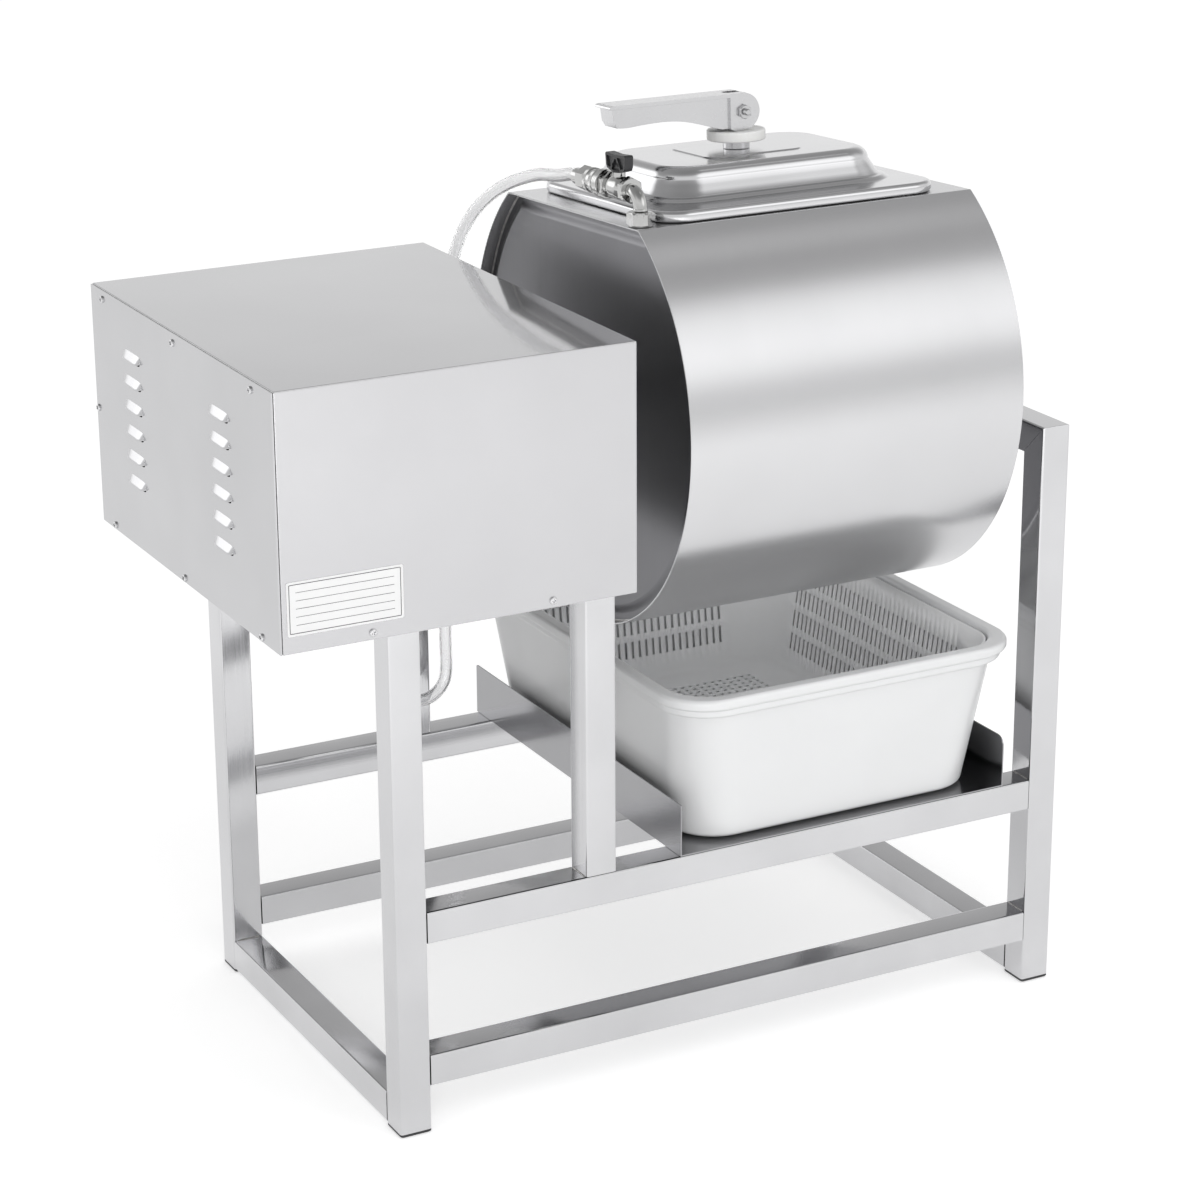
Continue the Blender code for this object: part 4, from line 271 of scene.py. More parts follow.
def merged(parts: Iterable[Shape]) -> Shape:
    """One shape that holds several, not joined to each other.

    Args:
        parts: the shapes; they are used up.

    Returns:
        The new shape.
    """
    whole = bmesh.new()
    for part in parts:
        bmesh.ops.recalc_face_normals(part, faces=part.faces)
        mesh = bpy.data.meshes.new("part")
        part.to_mesh(mesh)
        part.free()
        whole.from_mesh(mesh)
        bpy.data.meshes.remove(mesh)
    return whole


def arc(centre: Pair, radii: Pair, start: float, stop: float, steps: int) -> list[Pair]:
    """Points on an arc, both ends included.

    Args:
        centre: its middle.
        radii: its radius along each of the two directions.
        start: first angle.
        stop: last angle.
        steps: chords between the two.

    Returns:
        The points.
    """
    angles = [start + (stop - start) * i / steps for i in range(steps + 1)]
    return [(centre[0] + radii[0] * math.cos(a), centre[1] + radii[1] * math.sin(a)) for a in angles]


def circle(radius: float, steps: int) -> list[Pair]:
    """Points round a circle."""
    return arc((0, 0), (radius, radius), 0, 4 * QUARTER, steps)[:-1]


def rounded(half_a: float, half_b: float, radius: float, steps: int) -> list[Pair]:
    """The outline of a rectangle with round corners, anticlockwise from the corner at +a, +b.

    Args:
        half_a: half its size along a.
        half_b: half its size along b.
        radius: radius of the corners.
        steps: legs in each corner.

    Returns:
        The points.
    """
    points = []
    for quarter, (sign_a, sign_b) in enumerate(CORNERS):
        corner = (sign_a * (half_a - radius), sign_b * (half_b - radius))
        points += arc(corner, (radius, radius), QUARTER * quarter, QUARTER * (quarter + 1), steps)
    return points


def smooth(share: float) -> float:
    """A share from 0 to 1 with soft ends."""
    return share * share * (3 - 2 * share)


def on_curve(points: Sequence[Vector], share: float) -> Vector:
    """A point between the middle two of four points, on the smooth curve through all four.

    Args:
        points: the four points.
        share: how far it is from the second to the third.

    Returns:
        The point.
    """
    before, start, stop, after = points
    square = share * share
    bend = (2 * before - 5 * start + 4 * stop - after) * square
    bend += (3 * start - before - 3 * stop + after) * square * share
    return (2 * start + (stop - before) * share + bend) / 2


def at_height(outline: Sequence[Pair], height: float) -> Loop:
    """An outline lifted to a height."""
    return [(a, b, height) for a, b in outline]


def hex_ring(radius: float, height: float, steps: int = 48, six: bool = True) -> Loop:
    """A ring of points on a hexagon, or on its inner circle, that can be joined to round rings.

    Args:
        radius: distance of the flats from the middle.
        height: the ring's height.
        steps: how many points.
        six: whether it is the hexagon.

    Returns:
        The points.
    """
    ring = []
    for i in range(steps):
        angle = 2 * math.pi * i / steps
        sector = (angle + math.pi / 6) % (math.pi / 3) - math.pi / 6
        reach = radius / math.cos(sector) if six else radius
        ring.append((reach * math.cos(angle), reach * math.sin(angle), height))
    return ring


def hex_bar(radius: float, low: float, high: float, chamfer: float) -> Shape:
    """A hexagon with its corners turned off at both ends, standing on Z.

    Args:
        radius: distance of the flats from the middle.
        low: lower end.
        high: upper end.
        chamfer: height of the turned corners.

    Returns:
        The closed shape.
    """
    loops = [
        hex_ring(radius * 0.97, low, six=False),
        hex_ring(radius, low + chamfer * 0.25, six=False),
        hex_ring(radius, low + chamfer),
        hex_ring(radius, high - chamfer),
        hex_ring(radius, high - chamfer * 0.25, six=False),
        hex_ring(radius * 0.97, high, six=False),
    ]
    return skin(loops)


TO_Y = Matrix.Rotation(-QUARTER, 4, "X")
TO_FRONT = Matrix.Rotation(QUARTER, 4, "X")
TO_LEFT = Matrix.Rotation(-QUARTER, 4, "Y")


# Finishes

# How far the mirror image is turned from the drum's axis, as a share of a full turn
ACROSS_THE_LINES = 0.25

# Noise factors lie mostly between these two
NOISE_SPAN = (0.3, 0.7)


def steel(level: float) -> Colour:
    """A neutral metal colour with a trace of blue."""
    return (level, level, level + 0.01)


def shades(colour: Colour, mottle: float) -> tuple[Colour, Colour]:
    """A darker and a paler version of a colour."""
    dark = tuple(channel * (1 - mottle) for channel in colour)
    return dark, tuple(min(channel * (1 + mottle), 1.0) for channel in colour)


@dataclass(frozen=True)
class Metal:
    """A bare metal: its colour, how sharp it mirrors, and the lines that rolling or brushing left.

    Args:
        name: material name.
        colour: reflected colour.
        roughness: mean roughness.
        grain: way of the lines.
        depth: height of the lines for the bump, in metres.
        streak: how much the lines change the roughness.
        mottle: how much the colour wanders over some centimetres.
        pull: how much the lines round the drum's axis spread the mirror image across them.
        cloud: size of the wandering, as a noise scale.
        metallic: how far it is bare metal.
    """

    name: str
    colour: Colour
    roughness: float
    grain: Grain = Grain.NONE
    depth: float = 0.00002
    streak: float = 0.06
    mottle: float = 0.05
    pull: float = 0.0
    cloud: float = 9.0
    metallic: float = 1.0

    def build(self) -> bpy.types.Material:
        """Makes the node material.

        Returns:
            The material.
        """
        net = Net(self.name)
        shader = net.shader
        shader.inputs["Metallic"].default_value = self.metallic
        shader.inputs["Anisotropic"].default_value = self.pull
        where = net.node("ShaderNodeTexCoord").outputs["Object"]
        lines = net.noise(net.stretched(where, self.grain.value), 1.0, 5.0, 0.62)
        slow = net.noise(where, self.cloud, 3.0, 0.5)
        rough = net.ranged(lines, self.roughness - self.streak, self.roughness + self.streak)
        net.link(rough, shader.inputs["Roughness"])
        net.link(net.blend(slow, *shades(self.colour, self.mottle)), shader.inputs["Base Color"])
        net.link(net.bump(lines, self.depth), shader.inputs["Normal"])
        if self.pull:
            tangent = net.node("ShaderNodeTangent")
            tangent.direction_type = "RADIAL"
            tangent.axis = "X"
            net.link(tangent.outputs["Tangent"], shader.inputs["Tangent"])
            shader.inputs["Anisotropic Rotation"].default_value = ACROSS_THE_LINES
        return net.material


@dataclass(frozen=True)
class Plastic:
    """A moulded plastic, rubber or paint: fine grain, slight colour change, and how far light goes in.

    Args:
        name: material name.
        colour: body colour.
        roughness: mean roughness.
        texture: noise scale of the moulded grain.
        depth: height of the grain, in metres.
        soak: subsurface weight.
        clear: transmission weight.
        coat: clear coat weight.
        mottle: how much the colour wanders.
        reach: how far light spreads inside, in metres.
    """

    name: str
    colour: Colour
    roughness: float
    texture: float = 900.0
    depth: float = 0.00003
    soak: float = 0.0
    clear: float = 0.0
    coat: float = 0.0
    mottle: float = 0.04
    reach: float = 0.006

    def build(self) -> bpy.types.Material:
        """Makes the node material.

        Returns:
            The material.
        """
        net = Net(self.name)
        shader = net.shader
        shader.inputs["Metallic"].default_value = 0.0
        shader.inputs["IOR"].default_value = 1.48
        shader.inputs["Subsurface Weight"].default_value = self.soak
        shader.inputs["Subsurface Radius"].default_value = (1.0, 1.0, 1.1)
        shader.inputs["Subsurface Scale"].default_value = self.reach
        shader.inputs["Transmission Weight"].default_value = self.clear
        shader.inputs["Coat Weight"].default_value = self.coat
        shader.inputs["Coat Roughness"].default_value = 0.12
        where = net.node("ShaderNodeTexCoord").outputs["Object"]
        fine = net.noise(where, self.texture, 3.0, 0.55)
        slow = net.noise(where, 14.0, 3.0, 0.5)
        net.link(net.ranged(slow, self.roughness * 0.88, self.roughness * 1.12), shader.inputs["Roughness"])
        net.link(net.blend(slow, *shades(self.colour, self.mottle)), shader.inputs["Base Color"])
        net.link(net.bump(fine, self.depth), shader.inputs["Normal"])
        return net.material


class Wiring:
    """A node tree with short ways to add and join nodes."""

    def __init__(self, tree: bpy.types.NodeTree) -> None:
        """Keeps the tree."""
        self.tree = tree

    def node(self, kind: str) -> bpy.types.Node:
        """Adds a node."""
        return self.tree.nodes.new(kind)

    def link(self, out: Socket, into: Socket) -> None:
        """Joins two sockets."""
        self.tree.links.new(out, into)

    def worked(self, operation: str, first: Socket, second: Socket | float) -> Socket:
        """The result of one arithmetic step.

        Args:
            operation: ADD, MULTIPLY or MAXIMUM.
            first: the first value.
            second: the second value, wired or plain.

        Returns:
            The result's socket.
        """
        step = self.node("ShaderNodeMath")
        step.operation = operation
        self.link(first, step.inputs[0])
        if isinstance(second, float):
            step.inputs[1].default_value = second
        else:
            self.link(second, step.inputs[1])
        return step.outputs["Value"]

    def mapped(self, value: Socket, span: Pair, to: Pair, ease: str = "SMOOTHSTEP") -> Socket:
        """A value mapped from one span to another.

        Args:
            value: what is mapped.
            span: where it starts and stops to change.
            to: the results there.
            ease: SMOOTHSTEP for soft ends, or LINEAR.

        Returns:
            The result's socket.
        """
        spread = self.node("ShaderNodeMapRange")
        spread.interpolation_type = ease
        for name, number in zip(("From Min", "From Max", "To Min", "To Max"), (*span, *to)):
            spread.inputs[name].default_value = number
        self.link(value, spread.inputs["Value"])
        return spread.outputs["Result"]

    def seen_rays(self) -> Socket:
        """One for what the camera sees straight, in a mirror image or through clear plastic, else zero.

        Returns:
            The result's socket.
        """
        rays = self.node("ShaderNodeLightPath").outputs
        direct = self.worked("MAXIMUM", rays["Is Camera Ray"], rays["Is Glossy Ray"])
        return self.worked("MAXIMUM", direct, rays["Is Transmission Ray"])


class Net(Wiring):
    """A material's node tree, with the noises and bumps that the finishes share."""

    def __init__(self, name: str) -> None:
        """Makes the material and finds its shader.

        Args:
            name: the material's name.
        """
        self.material = bpy.data.materials.new(name)
        self.material.use_nodes = True
        super().__init__(self.material.node_tree)
        self.shader = self.tree.nodes["Principled BSDF"]

    def stretched(self, where: Socket, scale: Point) -> Socket:
        """Coordinates scaled by a vector.

        Args:
            where: the coordinates.
            scale: the factors.

        Returns:
            The result's socket.
        """
        mapping = self.node("ShaderNodeMapping")
        mapping.inputs["Scale"].default_value = scale
        self.link(where, mapping.inputs["Vector"])
        return mapping.outputs["Vector"]

    def noise(self, where: Socket, scale: float, detail: float, rough: float) -> Socket:
        """A noise's factor at the given coordinates.

        Args:
            where: the coordinates.
            scale: how fine it is.
            detail: how many finer noises it adds.
            rough: how strong those are.

        Returns:
            The factor's socket.
        """
        noise = self.node("ShaderNodeTexNoise")
        noise.inputs["Scale"].default_value = scale
        noise.inputs["Detail"].default_value = detail
        noise.inputs["Roughness"].default_value = rough
        self.link(where, noise.inputs["Vector"])
        return noise.outputs["Fac"]

    def ranged(self, value: Socket, low: float, high: float) -> Socket:
        """A noise factor spread over a range."""
        return self.mapped(value, NOISE_SPAN, (low, high), "LINEAR")

    def blend(self, value: Socket, low: Colour, high: Colour) -> Socket:
        """A colour between two by a noise factor.

        Args:
            value: the factor.
            low: the colour where it is low.
            high: the colour where it is high.

        Returns:
            The result's socket.
        """
        ramp = self.node("ShaderNodeValToRGB")
        for element, place, colour in zip(ramp.color_ramp.elements, NOISE_SPAN, (low, high)):
            element.position = place
            element.color = (*colour, 1)
        self.link(value, ramp.inputs["Fac"])
        return ramp.outputs["Color"]

    def bump(self, value: Socket, depth: float) -> Socket:
        """A normal from a height.

        Args:
            value: the height, from 0 to 1.
            depth: what 1 stands for, in metres.

        Returns:
            The result's socket.
        """
        bump = self.node("ShaderNodeBump")
        bump.inputs["Strength"].default_value = 1.0
        bump.inputs["Distance"].default_value = depth
        self.link(value, bump.inputs["Height"])
        return bump.outputs["Normal"]


Finish = Metal | Plastic


@dataclass(frozen=True)
class Finishes:
    """Every finish on the machine, by the part that carries it."""

    rail_x: Metal = Metal("tube_brushed_along_x", steel(0.58), 0.11, Grain.ALONG_X, 0.000006, 0.04)
    rail_y: Metal = Metal("tube_brushed_along_y", steel(0.58), 0.11, Grain.ALONG_Y, 0.000006, 0.04)
    post: Metal = Metal("tube_brushed_upright", steel(0.58), 0.11, Grain.ALONG_Z, 0.000006, 0.04)
    sheet: Metal = Metal(
        "housing_sheet", steel(0.53), 0.07, Grain.ALONG_Y, 0.000002, streak=0.02, mottle=0.02, metallic=0.66
    )
    cover: Metal = Metal("end_cover_sheet", steel(0.52), 0.18, Grain.ALONG_Z, 0.000003, 0.03, 0.03)
    tray: Metal = Metal("tray_sheet", steel(0.34), 0.16, Grain.ALONG_X, 0.000004, 0.04, 0.04)
    shell: Metal = Metal(
        "drum_shell_brushed",
        steel(0.61),
        0.25,
        Grain.ROUND_DRUM,
        0.000002,
        streak=0.02,
        mottle=0.02,
        pull=0.7,
        metallic=0.82,
    )
    drum_end: Metal = Metal("drum_end_satin", steel(0.20), 0.36, Grain.ALONG_Z, 0.000008, 0.05, 0.05)
    lid: Metal = Metal("lid_pressed_sheet", steel(0.62), 0.18, Grain.ALONG_X, 0.000005, 0.04, 0.03)
    bright: Metal = Metal("turned_steel", steel(0.62), 0.20, Grain.NONE, 0.00001, 0.05, 0.05)
    cast: Metal = Metal("cast_alloy_satin", steel(0.66), 0.24, Grain.NONE, 0.00001, 0.05, 0.04)
    nickel: Metal = Metal("nickel_plate", (0.52, 0.52, 0.515), 0.08, Grain.NONE, 0.000003, 0.04, 0.05)
    iron: Metal = Metal("oiled_iron", (0.17, 0.18, 0.19), 0.45, Grain.NONE, 0.0001, 0.10, 0.20, metallic=0.7)
    screw: Metal = Metal("screw_steel", steel(0.66), 0.22, Grain.NONE, 0.00002, 0.05, 0.08)
    weld: Metal = Metal("weld_bead", (0.50, 0.49, 0.48), 0.38, Grain.NONE, 0.00012, 0.10, 0.20, cloud=180.0)
    black: Plastic = Plastic("black_moulding", (0.022, 0.022, 0.024), 0.40, 700.0, 0.00005)
    basin: Plastic = Plastic(
        "basin_translucent_white",
        (0.76, 0.765, 0.77),
        0.34,
        500.0,
        0.00002,
        0.08,
        coat=0.25,
        mottle=0.01,
        reach=0.003,
    )
    # Painted light: the basket's white is paler than the basin's, though both are the same plastic, to
    # lighten the basin's inside, which lies in shade under the drum
    basket: Plastic = Plastic(
        "basket_translucent_white",
        (0.97, 0.975, 0.98),
        0.36,
        500.0,
        0.00002,
        0.08,
        coat=0.1,
        mottle=0.01,
        reach=0.003,
    )
    nylon: Plastic = Plastic("nylon_white", (0.80, 0.80, 0.79), 0.42, 600.0, 0.00003, 0.25)
    rubber: Plastic = Plastic("gasket_rubber", (0.06, 0.06, 0.06), 0.70, 500.0, 0.00006)
    hose: Plastic = Plastic("hose_clear", (0.98, 0.98, 0.985), 0.10, 300.0, 0.00001, clear=0.90, mottle=0.01)
    enamel: Plastic = Plastic("motor_enamel", (0.09, 0.14, 0.23), 0.42, 260.0, 0.00012, coat=0.3)
    label: Plastic = Plastic("blank_label", (0.78, 0.78, 0.78), 0.45, 900.0, 0.00001, mottle=0.02)
    ink: Plastic = Plastic("label_border", (0.05, 0.05, 0.055), 0.5, 900.0, 0.00001)
    marking: Plastic = Plastic("white_marking", (0.80, 0.80, 0.80), 0.5, 900.0, 0.00001)


FINISHES = Finishes()


class Workshop:
    """Turns shapes into pieces that ride on the machine's bodies."""

    coplanar: float = math.radians(0.8)
    welded: float = 1e-6

    def __init__(self, packed: dict) -> None:
        """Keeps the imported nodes, and which record slot and body each has.
        """
        self.nodes = packed["nodes"]
        record = packed["record"]
        self.slots = {row["node"]: row["material_slot"] for row in record["subparts"]}
        self.bodies = {node: body for body, nodes in record["behaviour"]["bodies"].items() for node in nodes}
        self.made: dict[str, bpy.types.Material] = {}
        self.count = 0

    def material(self, finish: Finish) -> bpy.types.Material:
        """The material of a finish, made once."""
        if finish.name not in self.made:
            self.made[finish.name] = finish.build()
        return self.made[finish.name]

    def carve(self, body: Shape, tool: Shape, join: Join) -> Shape:
        """Cuts a tool shape out of a body, or adds it.

        Args:
            body: the shape to change; it is used up.
            tool: the shape to cut or add; it is used up.
            join: cut or add.

        Returns:
            The new shape.
        """
        helpers = []
        for bm in (body, tool):
            bmesh.ops.recalc_face_normals(bm, faces=bm.faces)
            mesh = bpy.data.meshes.new("helper")
            bm.to_mesh(mesh)
            bm.free()
            helper = bpy.data.objects.new("helper", mesh)
            bpy.context.scene.collection.objects.link(helper)
            helpers.append(helper)
        step = helpers[0].modifiers.new("carve", "BOOLEAN")
        step.operation = join.value
        step.solver = "EXACT"
        step.object = helpers[1]
        graph = bpy.context.evaluated_depsgraph_get()
        done = bpy.data.meshes.new_from_object(helpers[0].evaluated_get(graph))
        result = bmesh.new()
        result.from_mesh(done)
        for helper in helpers:
            bpy.data.objects.remove(helper)
        bpy.data.meshes.remove(done)
        return result

    def add(
        self,
        name: str,
        bm: Shape,
        finish: Finish,
        node: str,
        place: Matrix = LAYOUT.machine,
        whole: bool = True,
        edge: float = 0.0,
        sharp: float = 34.0,
        flatten: bool = False,
    ) -> bpy.types.Object:
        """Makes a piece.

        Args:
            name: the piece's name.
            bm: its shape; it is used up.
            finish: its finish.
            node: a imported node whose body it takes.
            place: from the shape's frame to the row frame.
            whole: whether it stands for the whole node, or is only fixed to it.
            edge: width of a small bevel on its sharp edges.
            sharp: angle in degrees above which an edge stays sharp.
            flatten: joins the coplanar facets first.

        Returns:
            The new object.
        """
        if flatten:
            bmesh.ops.dissolve_limit(
                bm, angle_limit=self.coplanar, verts=bm.verts, edges=bm.edges, delimit={"NORMAL"}
            )
        bmesh.ops.recalc_face_normals(bm, faces=bm.faces)
        bmesh.ops.transform(bm, matrix=place, verts=bm.verts)
        mesh = bpy.data.meshes.new(name)
        bm.to_mesh(mesh)
        bm.free()
        mesh.materials.append(self.material(finish))
        mesh.shade_smooth()
        mesh.set_sharp_from_angle(angle=math.radians(sharp))
        piece = bpy.data.objects.new(name, mesh)
        bpy.context.scene.collection.objects.link(piece)
        if edge:
            step = piece.modifiers.new("soft_edges", "BEVEL")
            step.width = edge
            step.segments = 3
            step.limit_method = "ANGLE"
            step.angle_limit = math.radians(sharp)
            step.harden_normals = True
        even = piece.modifiers.new("flat_faces_stay_flat", "WEIGHTED_NORMAL")
        even.keep_sharp = True
        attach(piece, self.bodies[node])
        if whole:
            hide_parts(node)
        self.count += 1
        log.info("made %s on %s", name, self.bodies[node])
        return piece

    def attach(
        self,
        name: str,
        bm: Shape,
        finish: Finish,
        node: str,
        place: Matrix = LAYOUT.machine,
        edge: float = 0.0,
        sharp: float = 34.0,
    ) -> None:
        """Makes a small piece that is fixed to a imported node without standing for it.

        Args:
            name: the piece's name.
            bm: its shape; it is used up.
            finish: its finish.
            node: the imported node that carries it.
            place: from the shape's frame to the row frame.
            edge: width of the bevel on its sharp edges.
            sharp: angle in degrees above which an edge is sharp.
        """
        self.add(name, bm, finish, node, place, False, edge, sharp)

    def carry(self, node: str, finish: Finish, edge: float = 0.0003, sharp: float = 34.0) -> None:
        """A welded, smooth-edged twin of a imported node, which stands for it.

        Args:
            node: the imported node.
            finish: its finish.
            edge: width of the bevel on its sharp edges.
            sharp: angle in degrees above which an edge is sharp.
        """
        bm = bmesh.new()
        bm.from_mesh(self.nodes[node].data)
        bmesh.ops.remove_doubles(bm, verts=bm.verts, dist=self.welded)
        self.add(f"{node}_finished", bm, finish, node, Matrix.Identity(4), True, edge, sharp, True)


WORKSHOP = Workshop(frame)


# The studio


@dataclass(frozen=True)
class Lamp:
    """A rectangular soft lamp, which metal doesn't show.

    Args:
        name: the lamp's name.
        at: its place.
        aim: the point that it faces.
        width: its width.
        height: its height.
        level: brightness of its face.
    """

    name: str
    at: Point
    aim: Point
    width: float
    height: float
    level: float


@dataclass(frozen=True)
class Glow:
    """A feathered bright patch of the room, which only mirror images show.

    Args:
        name: what stands there in a studio.
        towards: its direction from the machine.
        core: angle in degrees from that direction up to which it is full.
        edge: angle in degrees at which it has faded out.
        level: brightness that it adds.
    """

    name: str
    towards: Point
    core: float
    edge: float
    level: float


@dataclass
class Studio:
    """Camera, floor, backdrop and lamps."""

    lens: float = 100.03
    camera_at: Point = (-1.3513, -2.58375, 1.3978)
    look: Point = (0.44198, 0.83504, -0.32764)
    right: Point = (0.88383, -0.46780, 0.0)
    up: Point = (0.15327, 0.28958, 0.94479)
    roll: float = -0.0056
    floor_half: float = 9.0
    floor_colour: Colour = (0.86, 0.86, 0.86)
    floor_lift: float = 0.47
    floor_level: float = -0.0006
    soft_level: float = 0.64
    turn_over: Pair = (-0.30, 0.30)
    back_levels: tuple[Pair, ...] = (
        (0.0, 1.0),
        (0.23, 1.0),
        (0.34, 0.62),
        (0.50, 0.45),
        (0.75, 0.40),
        (1.0, 0.35),
    )
    front_levels: tuple[Pair, ...] = (
        (0.0, 0.85),
        (0.40, 1.0),
        (0.60, 0.80),
        (0.74, 0.45),
        (0.85, 0.36),
        (1.0, 0.30),
    )
    glows: tuple[Glow, ...] = (
        Glow("front_softbox", (0.46, -0.74, 0.50), 11.0, 25.0, 0.62),
        Glow("ceiling_strip", (0.44, -0.14, 0.89), 2.0, 9.0, 0.40),
        Glow("left_softbox", (-0.52, 0.80, 0.24), 7.0, 20.0, 1.10),
    )
    lamps: tuple[Lamp, ...] = (
        Lamp("front_flood", (0.5, -2.9, 2.9), (0.2, -0.6, 0.1), 2.6, 2.0, 1.3),
        Lamp("camera_side_fill", (-0.9, -2.9, 0.80), (0.15, 0.0, 0.30), 2.0, 1.2, 4.4),
    )

    def build(self) -> None:
        """Makes the whole studio."""
        self.build_camera()
        self.build_floor()
        self.build_world()
        self.build_lamps()
        bpy.context.scene.view_settings.view_transform = "Standard"

    def build_camera(self) -> None:
        """The photograph's viewpoint."""
        data = bpy.data.cameras.new("camera")
        data.sensor_width = 36.0
        data.lens = self.lens
        data.clip_end = 60.0
        camera = bpy.data.objects.new("camera", data)
        bpy.context.scene.collection.objects.link(camera)
        cos, sin = math.cos(self.roll), math.sin(self.roll)
        right, up, look = Vector(self.right), Vector(self.up), Vector(self.look)
        side = (right * cos + up * sin).normalized()
        back = -look.normalized()
        top = back.cross(side).normalized()
        turn = Matrix((side, top, back)).transposed().to_4x4()
        camera.matrix_world = Matrix.Translation(self.camera_at) @ turn
        bpy.context.scene.camera = camera

    def build_floor(self) -> None:
        """A pale floor that shows white to the camera and keeps the soft shadow."""
        bm = bmesh.new()
        half = self.floor_half
        bm.faces.new([bm.verts.new((x * half, y * half, self.floor_level)) for x, y in CORNERS])
        mesh = bpy.data.meshes.new("floor")
        bm.to_mesh(mesh)
        bm.free()
        net = Net("floor_pale")
        net.shader.inputs["Base Color"].default_value = (*self.floor_colour, 1)
        net.shader.inputs["Roughness"].default_value = 0.9
        net.shader.inputs["Specular IOR Level"].default_value = 0.0
        net.shader.inputs["Emission Color"].default_value = (1, 1, 1, 1)
        lift = net.worked("MULTIPLY", net.seen_rays(), self.floor_lift)
        net.link(lift, net.shader.inputs["Emission Strength"])
        mesh.materials.append(net.material)
        floor = bpy.data.objects.new("floor", mesh)
        bpy.context.scene.collection.objects.link(floor)

    def build_world(self) -> None:
        """White to the camera. Mirror images see it too, up to its upper edge, with the dimmer room above."""
        world = bpy.data.worlds.new("studio")
        bpy.context.scene.world = world
        world.use_nodes = True
        world.node_tree.nodes.clear()
        net = Wiring(world.node_tree)
        path = net.node("ShaderNodeLightPath")
        straight = net.worked("MAXIMUM", path.outputs["Is Camera Ray"], path.outputs["Is Transmission Ray"])
        views = {}
        for name, level in (("soft", self.soft_level), ("white", 1.0), ("room", 1.0)):
            shade = net.node("ShaderNodeBackground")
            shade.inputs["Color"].default_value = (level, level, level, 1)
            views[name] = shade.outputs["Background"]
            if name == "room":
                net.link(self.room(net), shade.inputs["Color"])
        shown = views["soft"]
        for ray, name in ((path.outputs["Is Glossy Ray"], "room"), (straight, "white")):
            mix = net.node("ShaderNodeMixShader")
            net.link(ray, mix.inputs["Fac"])
            net.link(shown, mix.inputs[1])
            net.link(views[name], mix.inputs[2])
            shown = mix.outputs["Shader"]
        net.link(shown, net.node("ShaderNodeOutputWorld").inputs["Surface"])

    def room(self, net: Wiring) -> Socket:
        """Brightness of the room by direction: backdrop, front side and glows.

        Args:
            net: the world's wiring.

        Returns:
            The socket that holds it.
        """
        where = net.node("ShaderNodeTexCoord").outputs["Generated"]
        split = net.node("ShaderNodeSeparateXYZ")
        net.link(where, split.inputs["Vector"])
        sides = []
        for levels in (self.front_levels, self.back_levels):
            ramp = net.node("ShaderNodeValToRGB")
            elements = ramp.color_ramp.elements
            for height, _ in levels[1:-1]:
                elements.new(height)
            for stop, (height, level) in zip(elements, levels):
                stop.position = height
                stop.color = (level, level, level, 1)
            net.link(split.outputs["Z"], ramp.inputs["Fac"])
            sides.append(ramp.outputs["Color"])
        mix = net.node("ShaderNodeMix")
        net.link(net.mapped(split.outputs["Y"], self.turn_over, (0.0, 1.0)), mix.inputs[0])
        net.link(sides[0], mix.inputs[2])
        net.link(sides[1], mix.inputs[3])
        shown = mix.outputs[0]
        for glow in self.glows:
            aim = net.node("ShaderNodeVectorMath")
            aim.operation = "DOT_PRODUCT"
            net.link(where, aim.inputs[0])
            aim.inputs[1].default_value = Vector(glow.towards).normalized()
            span = tuple(math.cos(math.radians(angle)) for angle in (glow.edge, glow.core))
            shown = net.worked("ADD", shown, net.mapped(aim.outputs["Value"], span, (0.0, glow.level)))
        return shown

    def build_lamps(self) -> None:
        """Soft lamps that light the plastics and the floor."""
        for lamp in self.lamps:
            data = bpy.data.lights.new(lamp.name, "AREA")
            data.shape = "RECTANGLE"
            data.size = lamp.width
            data.size_y = lamp.height
            data.energy = lamp.level * math.pi * lamp.width * lamp.height
            made = bpy.data.objects.new(lamp.name, data)
            bpy.context.scene.collection.objects.link(made)
            made.location = lamp.at
            made.visible_glossy = False
            made.visible_camera = False
            aim = Vector(lamp.aim) - Vector(lamp.at)
            made.rotation_euler = aim.to_track_quat("-Z", "Y").to_euler()


# The hose


